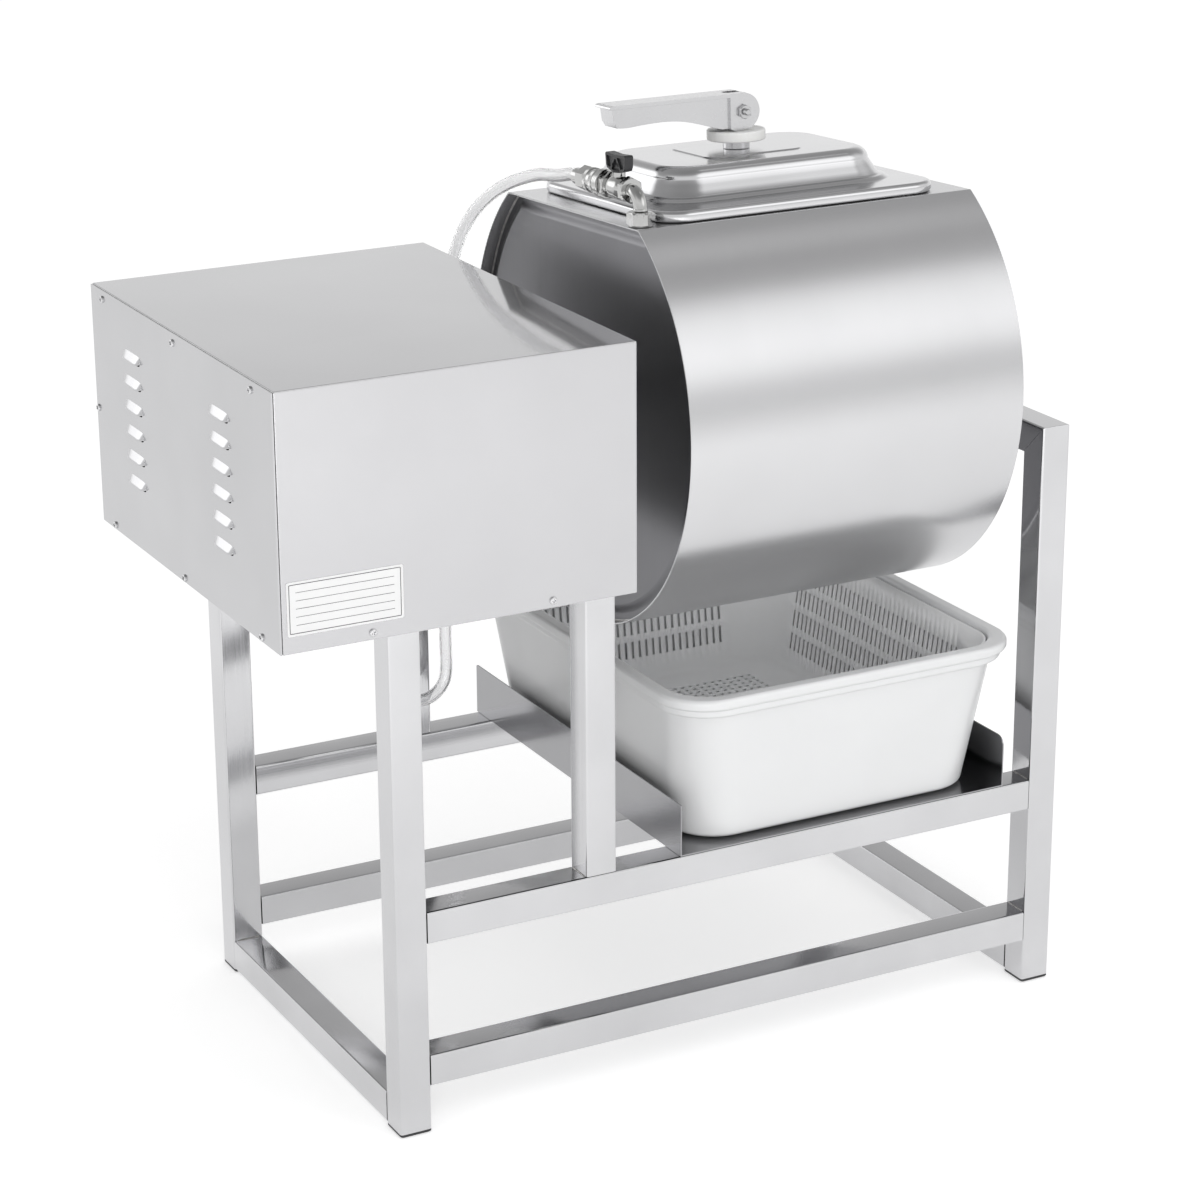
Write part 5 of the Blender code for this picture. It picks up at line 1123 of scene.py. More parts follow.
@dataclass
class Hose:
    """Clear suction hose from the nut on the drum to the port under the housing."""

    radius: float = 0.0059
    bore: float = 0.0042
    steps: int = 20
    points_per_leg: int = 6
    nut_end_s: float = 0.0080
    port: Point = (0.166, 0.146, 0.4466)
    route: tuple[Point, ...] = (
        (0.2975, 0.0600, 0.7735),
        (0.2940, 0.0840, 0.7705),
        (0.2885, 0.1060, 0.7640),
        (0.2815, 0.1270, 0.7550),
        (0.2745, 0.1460, 0.7430),
        (0.2690, 0.1650, 0.7270),
        (0.2655, 0.1830, 0.7080),
        (0.2630, 0.1975, 0.6860),
        (0.2610, 0.2080, 0.6600),
        (0.2600, 0.2140, 0.6250),
        (0.2585, 0.2130, 0.5800),
        (0.2560, 0.2060, 0.5300),
        (0.2500, 0.1935, 0.4750),
        (0.2405, 0.1780, 0.4200),
        (0.2300, 0.1640, 0.3700),
        (0.2230, 0.1565, 0.3300),
        (0.2213, 0.1535, 0.3060),
        (0.2207, 0.1520, 0.2840),
        (0.2171, 0.1505, 0.2704),
        (0.2071, 0.1490, 0.2604),
        (0.1935, 0.1475, 0.2568),
        (0.1799, 0.1465, 0.2604),
        (0.1699, 0.1460, 0.2704),
        (0.1663, 0.1460, 0.2840),
        (0.1660, 0.1460, 0.3120),
        (0.1660, 0.1460, 0.3500),
        (0.1660, 0.1460, 0.4000),
    )

    def centreline(self) -> list[Vector]:
        """Points on the smooth route, in the row frame.

        Returns:
            The points from the nut to the port.
        """
        turn = Matrix.Rotation(-LAYOUT.rest_turn, 3, "X")
        end = Vector((LAYOUT.valve_x, self.nut_end_s + LAYOUT.gap, LAYOUT.flat + LAYOUT.valve_rise))
        start = turn @ end + Vector((0, 0, LAYOUT.axis_z))
        straight = start + turn @ Vector((0, 2 * self.radius, 0))
        port_end = Vector(self.port) - Vector((0, 0, LAYOUT.gap))
        before = port_end - Vector((0, 0, 2 * self.radius))
        legs = [straight, *(Vector(point) for point in self.route), before]
        padded = [2 * legs[0] - legs[1], *legs, 2 * legs[-1] - legs[-2]]
        found = [start]
        for four in zip(padded, padded[1:], padded[2:], padded[3:]):
            found += [on_curve(four, step / self.points_per_leg) for step in range(self.points_per_leg)]
        found += [before, port_end]
        return [LAYOUT.machine @ point for point in found]

    def build(self) -> None:
        """The tube with its bore."""
        line = self.centreline()
        outer, inner = [], []
        side = Vector((1, 0, 0))
        for i, point in enumerate(line):
            ahead = (line[min(i + 1, len(line) - 1)] - line[max(i - 1, 0)]).normalized()
            side = (side - ahead * side.dot(ahead)).normalized()
            other = ahead.cross(side)
            for ring, radius in ((outer, self.radius), (inner, self.bore)):
                ring.append([tuple(point + side * a + other * b) for a, b in circle(radius, self.steps)])
        shape = skin(outer + inner[::-1], wrap=True)
        hose = WORKSHOP.add("clear_hose", shape, FINISHES.hose, "vacuum_hose", Matrix.Identity(4), sharp=60)


# The stand


@dataclass
class Stand:
    """Square-tube stand with its weld beads and feet."""

    tube: float = 0.030
    length: float = 0.6845
    width: float = 0.4125
    post_x: float = 0.1845
    middle_top: float = 0.2094
    bottom_top: float = 0.0738
    side_top: float = 0.033
    bead: float = 0.0009
    bead_margin: float = 0.0035
    bead_pitch: float = 0.0011
    bead_sides: int = 10
    posts: tuple[str, ...] = (
        "front_left_leg",
        "back_left_leg",
        "front_mid_post",
        "back_mid_post",
        "front_right_post",
        "back_right_post",
    )
    long_rails: tuple[str, ...] = (
        "front_middle_rail",
        "back_middle_rail",
        "front_bottom_rail",
        "back_bottom_rail",
    )
    cross_rails: tuple[str, ...] = (
        "left_side_rail",
        "right_side_rail",
        "left_bearing_rail",
        "right_bearing_rail",
    )
    feet: tuple[str, ...] = ("foot_front_left", "foot_back_left", "foot_front_right", "foot_back_right")

    def build(self) -> None:
        """Dresses the tubes and adds the welds."""
        for names, finish in (
            (self.posts, FINISHES.post),
            (self.long_rails, FINISHES.rail_x),
            (self.cross_rails, FINISHES.rail_y),
            (self.feet, FINISHES.black),
        ):
            for name in names:
                WORKSHOP.carry(name, finish, BEVELS.tube)
        WORKSHOP.attach("stand_weld_beads", merged(self.beads()), FINISHES.weld, "front_left_leg", sharp=60)

    def beads(self) -> list[Shape]:
        """A bead along the upper and lower edge of every rail's joint, and at the foot of the mid posts.

        Returns:
            The beads.
        """
        found = []
        half, margin = self.width / 2, self.bead_margin
        right = self.length - self.tube
        for side in (-1, 1):
            outer, inner = side * (half - margin), side * (half - self.tube + margin)
            tops = (self.middle_top, self.bottom_top)
            edges = [(x, top - drop) for top in tops for x in (self.tube, right) for drop in (0, self.tube)]
            edges += [(x, self.middle_top) for x in (self.post_x, self.post_x + self.tube)]
            found += [self.bead_line((x, inner, z), (x, outer, z)) for x, z in edges]
            for x in (margin, right + margin):
                y, far = side * (half - self.tube), x + self.tube - 2 * margin
                found.append(self.bead_line((x, y, self.side_top), (far, y, self.side_top)))
        return found

    def bead_line(self, start: Point, end: Point) -> Shape:
        """A lumpy weld bead between two points.

        Args:
            start: one end.
            end: the other end.

        Returns:
            The closed shape.
        """
        low, high = Vector(start), Vector(end)
        along = (high - low).normalized()
        side = along.orthogonal().normalized()
        other = along.cross(side)
        count = max(int((high - low).length / self.bead_pitch), 4)
        loops = []
        for i in range(count + 1):
            share = i / count
            swell = 1 + 0.16 * math.sin(2.1 * i) + 0.08 * math.sin(5.3 * i + 1)
            taper = math.sqrt(max(1 - abs(2 * share - 1) ** 8, 0.05))
            ring = circle(self.bead * swell * taper, self.bead_sides)
            middle = low.lerp(high, share)
            loops.append([tuple(middle + side * a + other * b) for a, b in ring])
        return skin(loops)


# Small fastenings


@dataclass
class Fastening:
    """Screws and bolts used all over the machine, drawn standing on Z."""

    head: float = 0.0034
    rise: float = 0.0018
    steps: int = 28
    cross_half: float = 0.0020
    cross_width: float = 0.0006

    def cross_screw(self) -> Shape:
        """A pan-head screw with a cross recess.

        Returns:
            The screw, standing on Z.
        """
        radius, rise = self.head, self.rise
        profile = [(0, -rise), (radius * 0.5, -rise), (radius * 0.5, 0), (radius, 0)]
        profile += arc((radius * 0.62, rise * 0.35), (radius * 0.38, rise * 0.65), 0, QUARTER, 6)
        profile.append((0, rise))
        body = turned(profile, self.steps)
        long, thin = self.cross_half, self.cross_width
        recess = WORKSHOP.carve(
            block((-long, -thin, rise * 0.35), (long, thin, rise * 2)),
            block((-thin, -long, rise * 0.35), (thin, long, rise * 2)),
            Join.ADD,
        )
        return WORKSHOP.carve(body, recess, Join.CUT)

    def bolt(self, flat: float, rise: float, washer: float) -> Shape:
        """A hexagon bolt head on its washer.

        Args:
            flat: distance of the flats from the middle.
            rise: height of the head.
            washer: thickness of the washer.

        Returns:
            The closed shape.
        """
        edge = flat * 1.55
        disc = turned(((0, 0), (edge, 0), (flat * 1.6, washer / 2), (edge, washer), (0, washer)), 36)
        head = hex_bar(flat, washer * 0.9, washer + rise, rise * 0.2)
        return WORKSHOP.carve(disc, head, Join.ADD)


FASTENING = Fastening()


# The drive housing


@dataclass
class Housing:
    """Folded sheet housing with its louvred end cover, screws and blank plate."""

    left: float = -0.0961
    sheet: float = 0.0012
    under: float = 0.4666
    top: float = 0.6893
    half: float = 0.20965
    wrap: float = 0.0034
    louvre_length: float = 0.040
    louvre_height: float = 0.0095
    louvre_rise: float = 0.0040
    louvre_pitch: float = 0.0229
    louvre_top_z: float = 0.6442
    louvre_columns: Pair = (0.1103, -0.0938)
    louvre_rows: int = 6
    louvre_skin: float = 0.0010
    stations: int = 15
    cover_screws: tuple[Pair, ...] = (
        (0.1802, 0.6803),
        (0.0082, 0.6798),
        (-0.1651, 0.6806),
        (0.2045, 0.5746),
        (0.1762, 0.4706),
        (0.0044, 0.4706),
        (-0.1691, 0.4706),
    )
    front_screws: tuple[Pair, ...] = ((-0.0143, 0.4735), (0.1526, 0.4735))
    plate_x: Pair = (-0.0900, 0.0140)
    plate_z: Pair = (0.4820, 0.5285)
    plate_thick: float = 0.0004
    plate_corner: float = 0.0015
    border_inset: float = 0.0020
    border_rise: float = 0.00008
    border: float = 0.0006
    rules: int = 5

    def build(self) -> None:
        """Dresses the sheets and adds the cover, the screws and the plate."""
        WORKSHOP.carry("housing_shell", FINISHES.sheet, BEVELS.shell)
        for node in ("right_end_plate", "housing_floor"):
            WORKSHOP.carry(node, FINISHES.sheet, BEVELS.fine)
        self.build_cover()
        self.build_screws()
        self.build_plate()

    def louvre_section(self, share: float, shrink: float, drop: float) -> list[Pair]:
        """One slice of a louvre hood.

        Args:
            share: place along the hood from -1 to 1.
            shrink: how much lower the slice stands, for the hollow under the hood.
            drop: how much lower it sits, for the hollow.

        Returns:
            Points in (x, z) from the plate above the hood to the plate below it.
        """
        size = math.sqrt(max(1 - abs(share) ** 5, 0))
        half = self.louvre_height / 2 * (0.55 + 0.45 * size)
        rise = (self.louvre_rise - shrink) * size
        points = [(self.sheet / 2, half - drop), (0.0, half - drop)]
        for i in range(1, 8):
            share = i / 7
            points.append((-rise * share, half * (1 - 1.75 * share) - drop))
        points += [(-rise, -half - drop), (self.sheet / 2, -half - drop)]
        return points

    def louvres(self, shrink: float, drop: float, reach: float, length: float) -> Shape:
        """All the hoods, or the hollows under them.

        Args:
            shrink: as for a slice.
            drop: as for a slice.
            reach: how far the shape runs through the sheet.
            length: length of each hood.

        Returns:
            The separate closed shapes in one mesh.
        """
        shapes = []
        last = self.stations - 1
        for y in self.louvre_columns:
            for row in range(self.louvre_rows):
                z = self.louvre_top_z - row * self.louvre_pitch
                loops = []
                for i in range(self.stations):
                    share = 0.992 * math.sin(QUARTER * (2 * i / last - 1))
                    at = y + share * length / 2
                    slice_points = self.louvre_section(share, shrink, drop)
                    loops.append([(x + (reach if x > 0 else 0), at, z + dz) for x, dz in slice_points])
                shapes.append(skin(loops))
        return merged(shapes)

    def build_cover(self) -> None:
        """Flat end cover with two columns of pressed louvres, open on their lower side."""
        edge = self.wrap / 4
        half = self.half - edge
        plate = block((0, -half, self.under), (self.sheet, half, self.top - edge))
        length, thin = self.louvre_length, self.louvre_skin
        body = WORKSHOP.carve(plate, self.louvres(0, 0, 0, length), Join.ADD)
        hollows = self.louvres(thin, thin * 1.4, self.sheet * 5, length - 2 * thin)
        body = moved(WORKSHOP.carve(body, hollows, Join.CUT), (self.left, 0, 0))
        WORKSHOP.add("louvred_end_cover", body, FINISHES.cover, "left_end_cover", edge=BEVELS.cover, sharp=30)

    def build_screws(self) -> None:
        """Cross-head screws of the cover, the front and the back."""
        cover, sides = [], []
        for i, (y, z) in enumerate(self.cover_screws):
            slant = Matrix.Rotation(0.7 * i + 0.3, 4, "Z")
            cover.append(moved(FASTENING.cross_screw(), (self.left, y, z), TO_LEFT @ slant))
        for i, (x, z) in enumerate(self.front_screws):
            slant = Matrix.Rotation(1.1 * i + 0.4, 4, "Z")
            sides.append(moved(FASTENING.cross_screw(), (x, -self.half, z), TO_FRONT @ slant))
            sides.append(moved(FASTENING.cross_screw(), (x, self.half, z), TO_Y @ slant))
        WORKSHOP.attach("cover_screws", merged(cover), FINISHES.screw, "left_end_cover")
        WORKSHOP.attach("side_screws", merged(sides), FINISHES.screw, "housing_shell")

    def build_plate(self) -> None:
        """A rating plate left blank: a pale sheet, a dark border and plain ruled lines."""
        (x0, x1), (z0, z1) = self.plate_x, self.plate_z
        middle = ((x0 + x1) / 2, -self.half, (z0 + z1) / 2)
        half_x, half_z = (x1 - x0) / 2, (z1 - z0) / 2
        sheet = moved(prism(rounded(half_x, half_z, self.plate_corner, 6), -self.plate_thick, "Y"), middle)
        WORKSHOP.attach("blank_plate", sheet, FINISHES.label, "housing_shell", edge=BEVELS.label)
        inset = self.border_inset
        frame_x, frame_z = half_x - inset, half_z - inset
        thin = self.border
        proud = self.plate_thick + self.border_rise
        outer = rounded(frame_x, frame_z, 0.001, 4)
        inner = rounded(frame_x - thin, frame_z - thin, 0.0006, 4)
        near = -self.plate_thick * 0.5
        rings = ((outer, near), (outer, -proud), (inner, -proud), (inner, near))
        lines = [skin([[(a, depth, b) for a, b in outline] for outline, depth in rings], wrap=True)]
        for i in range(self.rules):
            z = frame_z * (0.66 - 1.32 * i / (self.rules - 1))
            reach = frame_x - 3 * inset
            lines.append(block((-reach, -proud, z - thin / 3), (reach, near, z + thin / 3)))
        WORKSHOP.attach("plate_border", moved(merged(lines), middle), FINISHES.ink, "switch_plate")


# Drive inside the housing, and the bearings


@dataclass
class Drive:
    """Motor, chain drive, pump, suction port and bearing blocks."""

    post_top: float = 0.5532
    tube: float = 0.030
    block_half: float = 0.059
    block_base: float = 0.012
    block_radius: float = 0.028
    shaft: float = 0.0085
    seal_sunk: float = 0.0006
    seal_proud: float = 0.0011
    bolt: Size = (0.0055, 0.0045, 0.0012)
    blocks: Pair = (0.1845, 0.6545)

    def build(self) -> None:
        """Dresses the drive and details the bearings."""
        iron = ("motor_sprocket", "drum_sprocket", "drive_chain", "left_pillow_block", "right_pillow_block")
        for name in iron:
            WORKSHOP.carry(name, FINISHES.iron, BEVELS.small)
        WORKSHOP.carry("gear_motor", FINISHES.enamel, BEVELS.cast)
        WORKSHOP.carry("vacuum_pump", FINISHES.black, BEVELS.cast)
        WORKSHOP.carry("suction_port", FINISHES.nickel, BEVELS.fine)
        bolts, rings = [], []
        outer, inner = self.block_radius * 0.72, self.shaft + self.seal_sunk
        profile = [(inner, -self.seal_sunk), (outer, -self.seal_sunk), (outer, self.seal_proud * 0.36)]
        profile += [(outer * 0.94, self.seal_proud), (inner, self.seal_proud)]
        for x in self.blocks:
            far = x + self.tube
            for side in (-1, 1):
                spot = ((x + far) / 2, side * self.block_half * 0.78, self.post_top + self.block_base)
                bolts.append(moved(FASTENING.bolt(*self.bolt), spot))
            for face, out in ((x, -1), (far, 1)):
                # The right block's outer face is the end of the machine and stays flat
                if out < 0 or far < LAYOUT.drum_right:
                    rings.append(moved(turned(profile, 64, (out, 0, 0)), (face, 0, LAYOUT.axis_z)))
        for name, parts, finish, node in (
            ("bearing_block_bolts", bolts, FINISHES.screw, "left_pillow_block"),
            ("bearing_seal_rings", rings, FINISHES.rubber, "right_pillow_block"),
        ):
            WORKSHOP.attach(name, merged(parts), finish, node, edge=BEVELS.fine)


# Controls on the back panel


@dataclass
class Controls:
    """Switch plate with two rockers, the timer with its dial, and the mains gland."""

    panel: float = 0.20965
    panel_z: float = 0.628
    switch_x: float = 0.050
    spacing: float = 0.028
    bezel: float = 0.0025
    rocker_width: float = 0.0135
    rocker_half: float = 0.0110
    rocker_depth: float = 0.009
    rest_tilt: float = math.radians(-7)
    dish: float = 0.16
    dish_end: float = 0.92
    dish_power: float = 2.4
    mark_at: float = 0.66
    knob_x: float = 0.130
    knob_radius: float = 0.017
    knob_depth: float = 0.0125
    knob_spindle: float = 0.003
    spindle_length: float = 0.0160
    pointer_half: float = 0.0006
    ink_rise: float = 0.00002
    long_tick: float = 0.0022
    short_tick: float = 0.0012
    tick_half: float = 0.00018
    tick_rise: float = 0.00005
    number_size: float = 0.0042
    number_rise: float = 0.00006
    flutes: int = 9
    dial_radius: float = 0.0265
    dial_thick: float = 0.00022
    gland: Pair = (-0.040, 0.512)
    gland_radius: float = 0.011
    gland_length: float = 0.012
    gland_bore: float = 0.0045
    numbers: tuple[str, ...] = ("0", "5", "10", "15", "20", "25", "30")

    def build(self) -> None:
        """Makes every control."""
        WORKSHOP.carry("switch_plate", FINISHES.black, BEVELS.small)
        self.build_rocker("drum_rocker", -1)
        self.build_rocker("pump_rocker", 1)
        self.build_knob()
        self.build_dial()
        self.build_gland()

    def build_rocker(self, node: str, side: int) -> None:
        """One rocker with a bar and a ring moulded on its two ends.

        Args:
            node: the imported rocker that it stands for.
            side: -1 for the left one and 1 for the right one.
        """
        half, proud = self.rocker_half, self.bezel + LAYOUT.gap
        outline = [(-0.55, -self.rocker_depth), (0.55, -self.rocker_depth), (0.96, 0.0)]
        shape = [(h * half, d) for h, d in outline]
        shape.append((half * 0.94, proud + half * 0.13))
        end, dish, power = self.dish_end, self.dish, self.dish_power
        for i in range(11):
            share = end - 2 * end * i / 10
            shape.append((half * share, proud + half * dish * (abs(share) / end) ** power))
        shape += [(-half * 0.94, proud + half * 0.13), (-half * 0.96, 0.0)]
        body = prism([(d, h) for h, d in shape], self.rocker_width, "X")
        moved(body, (-self.rocker_width / 2, 0, 0))
        tilt = Matrix.Rotation(self.rest_tilt, 4, "X")
        spot = (self.switch_x + side * self.spacing / 2, self.panel, self.panel_z)
        place = LAYOUT.machine @ Matrix.Translation(spot) @ tilt
        WORKSHOP.add(f"{node}_cap", body, FINISHES.black, node, place, edge=BEVELS.soft)
        mark = self.mark_at / end
        at, height = half * self.mark_at, proud + half * dish * mark**power
        slope = math.atan(power * dish * mark ** (power - 1) / end)
        low, high, inner, outer = -0.0002, 0.00012, 0.0013, 0.0019
        bar = block((-0.0004, low, -outer), (0.0004, high, outer))
        ring = turned(((inner, low), (outer, low), (outer, high), (inner, high)), 40, (0, 1, 0))
        marks = [
            moved(bar, (0, height, at), Matrix.Rotation(-slope, 4, "X")),
            moved(ring, (0, height, -at), Matrix.Rotation(slope, 4, "X")),
        ]
        WORKSHOP.attach(f"{node}_marks", merged(marks), FINISHES.marking, node, place)

    def build_knob(self) -> None:
        """Fluted knob on its spindle, with a pointer line."""
        steps = self.flutes * 14
        grip = []
        for i in range(steps):
            angle = 2 * math.pi * i / steps
            radius = self.knob_radius * (0.97 + 0.03 * math.cos(self.flutes * angle))
            grip.append((radius * math.cos(angle), radius * math.sin(angle)))
        skirt = circle(self.knob_radius * 1.05, steps)
        face = circle(self.knob_radius * 0.78, steps)
        stem = circle(self.knob_spindle, steps)
        deep = self.knob_depth
        rings = (
            (stem, 1.0, -self.spindle_length),
            (stem, 1.0, LAYOUT.gap),
            (skirt, 1.0, LAYOUT.gap),
            (skirt, 1.0, deep * 0.12),
            (skirt, 0.985, deep * 0.16),
            (grip, 1.0, deep * 0.22),
            (grip, 0.94, deep * 0.86),
            (grip, 0.90, deep * 0.96),
            (face, 1.0, deep),
        )
        loops = [[(a * scale, depth, b * scale) for a, b in outline] for outline, scale, depth in rings]
        spot = (self.knob_x, self.panel, self.panel_z)
        body = moved(skin(loops), spot)
        WORKSHOP.add("timer_knob_fluted", body, FINISHES.black, "timer_knob")
        reach = self.knob_radius
        thin = self.pointer_half
        line = block((-thin, deep - 0.0004, reach * 0.20), (thin, deep + self.ink_rise, reach * 0.76))
        WORKSHOP.attach("timer_pointer", moved(line, spot), FINISHES.marking, "timer_knob")

    def build_dial(self) -> None:
        """A thin plate behind the knob with plain ticks and numbers."""
        thick = self.dial_thick
        spot = (self.knob_x, self.panel, self.panel_z)
        bore = self.knob_spindle + LAYOUT.gap
        edge = self.dial_radius
        ring = turned(((bore, 0), (edge, 0), (edge, thick), (bore, thick)), 96, (0, 1, 0))
        WORKSHOP.attach("timer_dial", moved(ring, spot), FINISHES.label, "housing_shell")
        marks = []
        count = len(self.numbers)
        for i in range(2 * count - 1):
            angle = math.radians(90 + 135 - 270 * i / (2 * count - 2))
            long = self.long_tick if i % 2 == 0 else self.short_tick
            near = self.knob_radius * 1.09
            thin = self.tick_half
            tick = block((near, 0, -thin), (near + long, thick + self.tick_rise, thin))
            marks.append(moved(tick, (0, 0, 0), Matrix.Rotation(math.pi + angle, 4, "Y")))
        for i, text in enumerate(self.numbers):
            angle = math.radians(90 + 135 - 270 * i / (count - 1))
            reach = self.dial_radius * 0.895
            flip = Matrix.Rotation(math.pi, 4, "Z") @ Matrix.Rotation(QUARTER, 4, "X")
            number = numeral(text, self.number_size, self.number_rise)
            marks.append(moved(number, (-reach * math.cos(angle), thick, reach * math.sin(angle)), flip))
        WORKSHOP.attach("timer_dial_marks", moved(merged(marks), spot), FINISHES.ink, "switch_plate")

    def build_gland(self) -> None:
        """Clamping gland for the mains lead: body, cap and lock ring."""
        bore, radius, length = self.gland_bore, self.gland_radius, self.gland_length
        gap = LAYOUT.gap
        profile = [(bore, -length), (radius * 0.7, -length), (radius * 0.7, gap), (radius, gap)]
        profile += [(radius, length * 0.30), (radius * 0.94, length * 0.34), (radius * 0.86, length * 0.38)]
        profile += [(radius * 0.86, length * 0.42), (radius * 0.84, length * 0.72)]
        profile += arc((bore, length * 0.74), (radius * 0.82 - bore, length * 0.26), 0, QUARTER, 6)
        x, z = self.gland
        spot = (x, self.panel, z)
        body = moved(turned(profile, 72, (0, 1, 0)), spot)
        WORKSHOP.add("mains_gland_body", body, FINISHES.black, "mains_gland")


def numeral(text: str, size: float, depth: float) -> Shape:
    """A plain number as a closed shape, standing on Z.

    Args:
        text: the digits.
        size: height of the type.
        depth: thickness.

    Returns:
        The closed shape, centred.
    """
    data = bpy.data.curves.new("numeral", "FONT")
    data.body = text
    data.size = size
    data.align_x = "CENTER"
    data.align_y = "CENTER"
    data.extrude = depth
    data.resolution_u = 4
    helper = bpy.data.objects.new("numeral", data)
    bpy.context.scene.collection.objects.link(helper)
    graph = bpy.context.evaluated_depsgraph_get()
    mesh = bpy.data.meshes.new_from_object(helper.evaluated_get(graph))
    bm = bmesh.new()
    bm.from_mesh(mesh)
    bmesh.ops.remove_doubles(bm, verts=bm.verts, dist=1e-7)
    bpy.data.objects.remove(helper)
    bpy.data.meshes.remove(mesh)
    return bm


# The drum


@dataclass
class Drum:
    """Rolled shell with its flat and mouth, dished ends, hubs and paddles."""

    radius: float = LAYOUT.radius
    flat: float = LAYOUT.flat
    wall: float = 0.0015
    left: float = LAYOUT.drum_left
    right: float = LAYOUT.drum_right
    fold: float = 0.0045
    arc_steps: int = 200
    fold_steps: int = 8
    mouth: Size = (0.1090, 0.0740, 0.030)
    inset: float = 0.009
    plate: float = 0.002
    dish: float = 0.006
    margin: float = 0.016
    dish_steps: int = 10
    hub_flange_radius: float = 0.045
    hub_flange: float = 0.006
    hub_bolts: int = 6
    seam: float = 0.0012
    seam_sunk: float = 0.0002
    bolt: Size = (0.0038, 0.0030, 0.0008)

    def outline(self, inset: float) -> list[Pair]:
        """The drum's section at a distance inside its outer face.

        Args:
            inset: the distance.

        Returns:
            Points in (s, n), always the same number.
        """
        radius, flat, fold = self.radius - inset, self.flat - inset, max(self.fold - inset, 0.0004)
        across = math.sqrt((radius - fold) ** 2 - (flat - fold) ** 2)
        lean = math.atan2(flat - fold, across)
        front = arc((across, flat - fold), (fold, fold), QUARTER, lean, self.fold_steps)
        under = arc((0, 0), (radius, radius), lean, -math.pi - lean, self.arc_steps)[1:-1]
        back = arc((-across, flat - fold), (fold, fold), math.pi - lean, QUARTER, self.fold_steps)
        return front + under + back

    def section(self, inset: float, x: float) -> Loop:
        """The drum's section at a place along its axis."""
        return [(x, s, n) for s, n in self.outline(inset)]

    def build(self) -> None:
        """Makes the shell and the ends, and dresses the rest."""
        self.build_shell()
        self.build_end("drum_left_end", "left_end_dished", self.left, -1)
        self.build_end("drum_right_end", "right_end_dished", self.right, 1)
        for name in ("left_shaft", "right_shaft"):
            WORKSHOP.carry(name, FINISHES.bright, BEVELS.small)
        for name in ("front_paddle", "back_paddle"):
            WORKSHOP.carry(name, FINISHES.shell, BEVELS.soft)
        self.build_hub_bolts()

    def build_shell(self) -> None:
        """The shell with its mouth cut in the flat."""
        edge = 0.0004
        loops = [
            self.section(edge, self.left),
            self.section(0, self.left + edge),
            *(self.section(0, self.left + (self.right - self.left) * share) for share in (0.25, 0.5, 0.75)),
            self.section(0, self.right - edge),
            self.section(edge, self.right),
            self.section(self.wall - edge, self.right),
            self.section(self.wall, self.right - edge),
            self.section(self.wall, self.left + edge),
            self.section(self.wall - edge, self.left),
        ]
        half_x, half_s, corner = self.mouth
        mouth = prism(rounded(half_x, half_s, corner, 14), 0.02)
        moved(mouth, (LAYOUT.lid_x, 0, self.flat - 0.01))
        body = WORKSHOP.carve(skin(loops, wrap=True), mouth, Join.CUT)
        WORKSHOP.add("rolled_shell", body, FINISHES.shell, "drum_shell", LAYOUT.drum, sharp=28)

    def build_end(self, node: str, name: str, x: float, outward: int) -> None:
        """One dished end with the weld bead round it.

        Args:
            node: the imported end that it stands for.
            name: the piece's name.
            x: the shell's edge.
            outward: -1 at the left and 1 at the right.
        """
        fit = self.wall + LAYOUT.gap
        face = x - outward * self.inset
        step, dish = outward * self.plate, outward * self.dish
        outer, inner = [], []
        for i in range(self.dish_steps + 1):
            share = i / self.dish_steps
            depth = face - dish + step + (dish - step) * smooth(share)
            inset = fit + self.margin * (0.40 + 0.60 * share)
            outer.append(self.section(inset, depth))
            inner.append(self.section(inset + self.plate * 0.5, depth - step))
        loops = [
            *reversed(inner),
            self.section(fit, face - dish),
            self.section(fit, face - dish + step),
            *outer,
        ]
        WORKSHOP.add(name, skin(loops), FINISHES.drum_end, node, LAYOUT.drum, sharp=40)
        seam, at = [], face - dish + step
        sunk, low = self.seam_sunk, at - outward * LAYOUT.gap
        for turn, reach in ((0, fit - sunk), (0.6, fit + sunk), (1, fit + self.seam)):
            seam.append(self.section(reach, at + outward * self.seam * (1 - turn)))
        seam += [self.section(fit + self.seam, low), self.section(fit - sunk, low)]
        WORKSHOP.attach(f"{name}_seam", skin(seam, wrap=True), FINISHES.weld, node, LAYOUT.drum, sharp=60)

    def build_hub_bolts(self) -> None:
        """Bolts on both hub flanges."""
        bolts = []
        for x, outward in ((self.left, -1), (self.right, 1)):
            face = x - outward * (self.inset - LAYOUT.gap) + outward * self.hub_flange
            for i in range(self.hub_bolts):
                angle = 2 * math.pi * (i + 0.5) / self.hub_bolts
                reach = self.hub_flange_radius * 0.74
                turn = Matrix.Rotation(outward * QUARTER, 4, "Y")
                spot = (face, reach * math.cos(angle), reach * math.sin(angle))
                bolts.append(moved(FASTENING.bolt(*self.bolt), spot, turn))
        shape, finish = merged(bolts), FINISHES.screw
        WORKSHOP.attach("hub_flange_bolts", shape, finish, "left_shaft", LAYOUT.drum, edge=BEVELS.fine)


# The lid and its lock


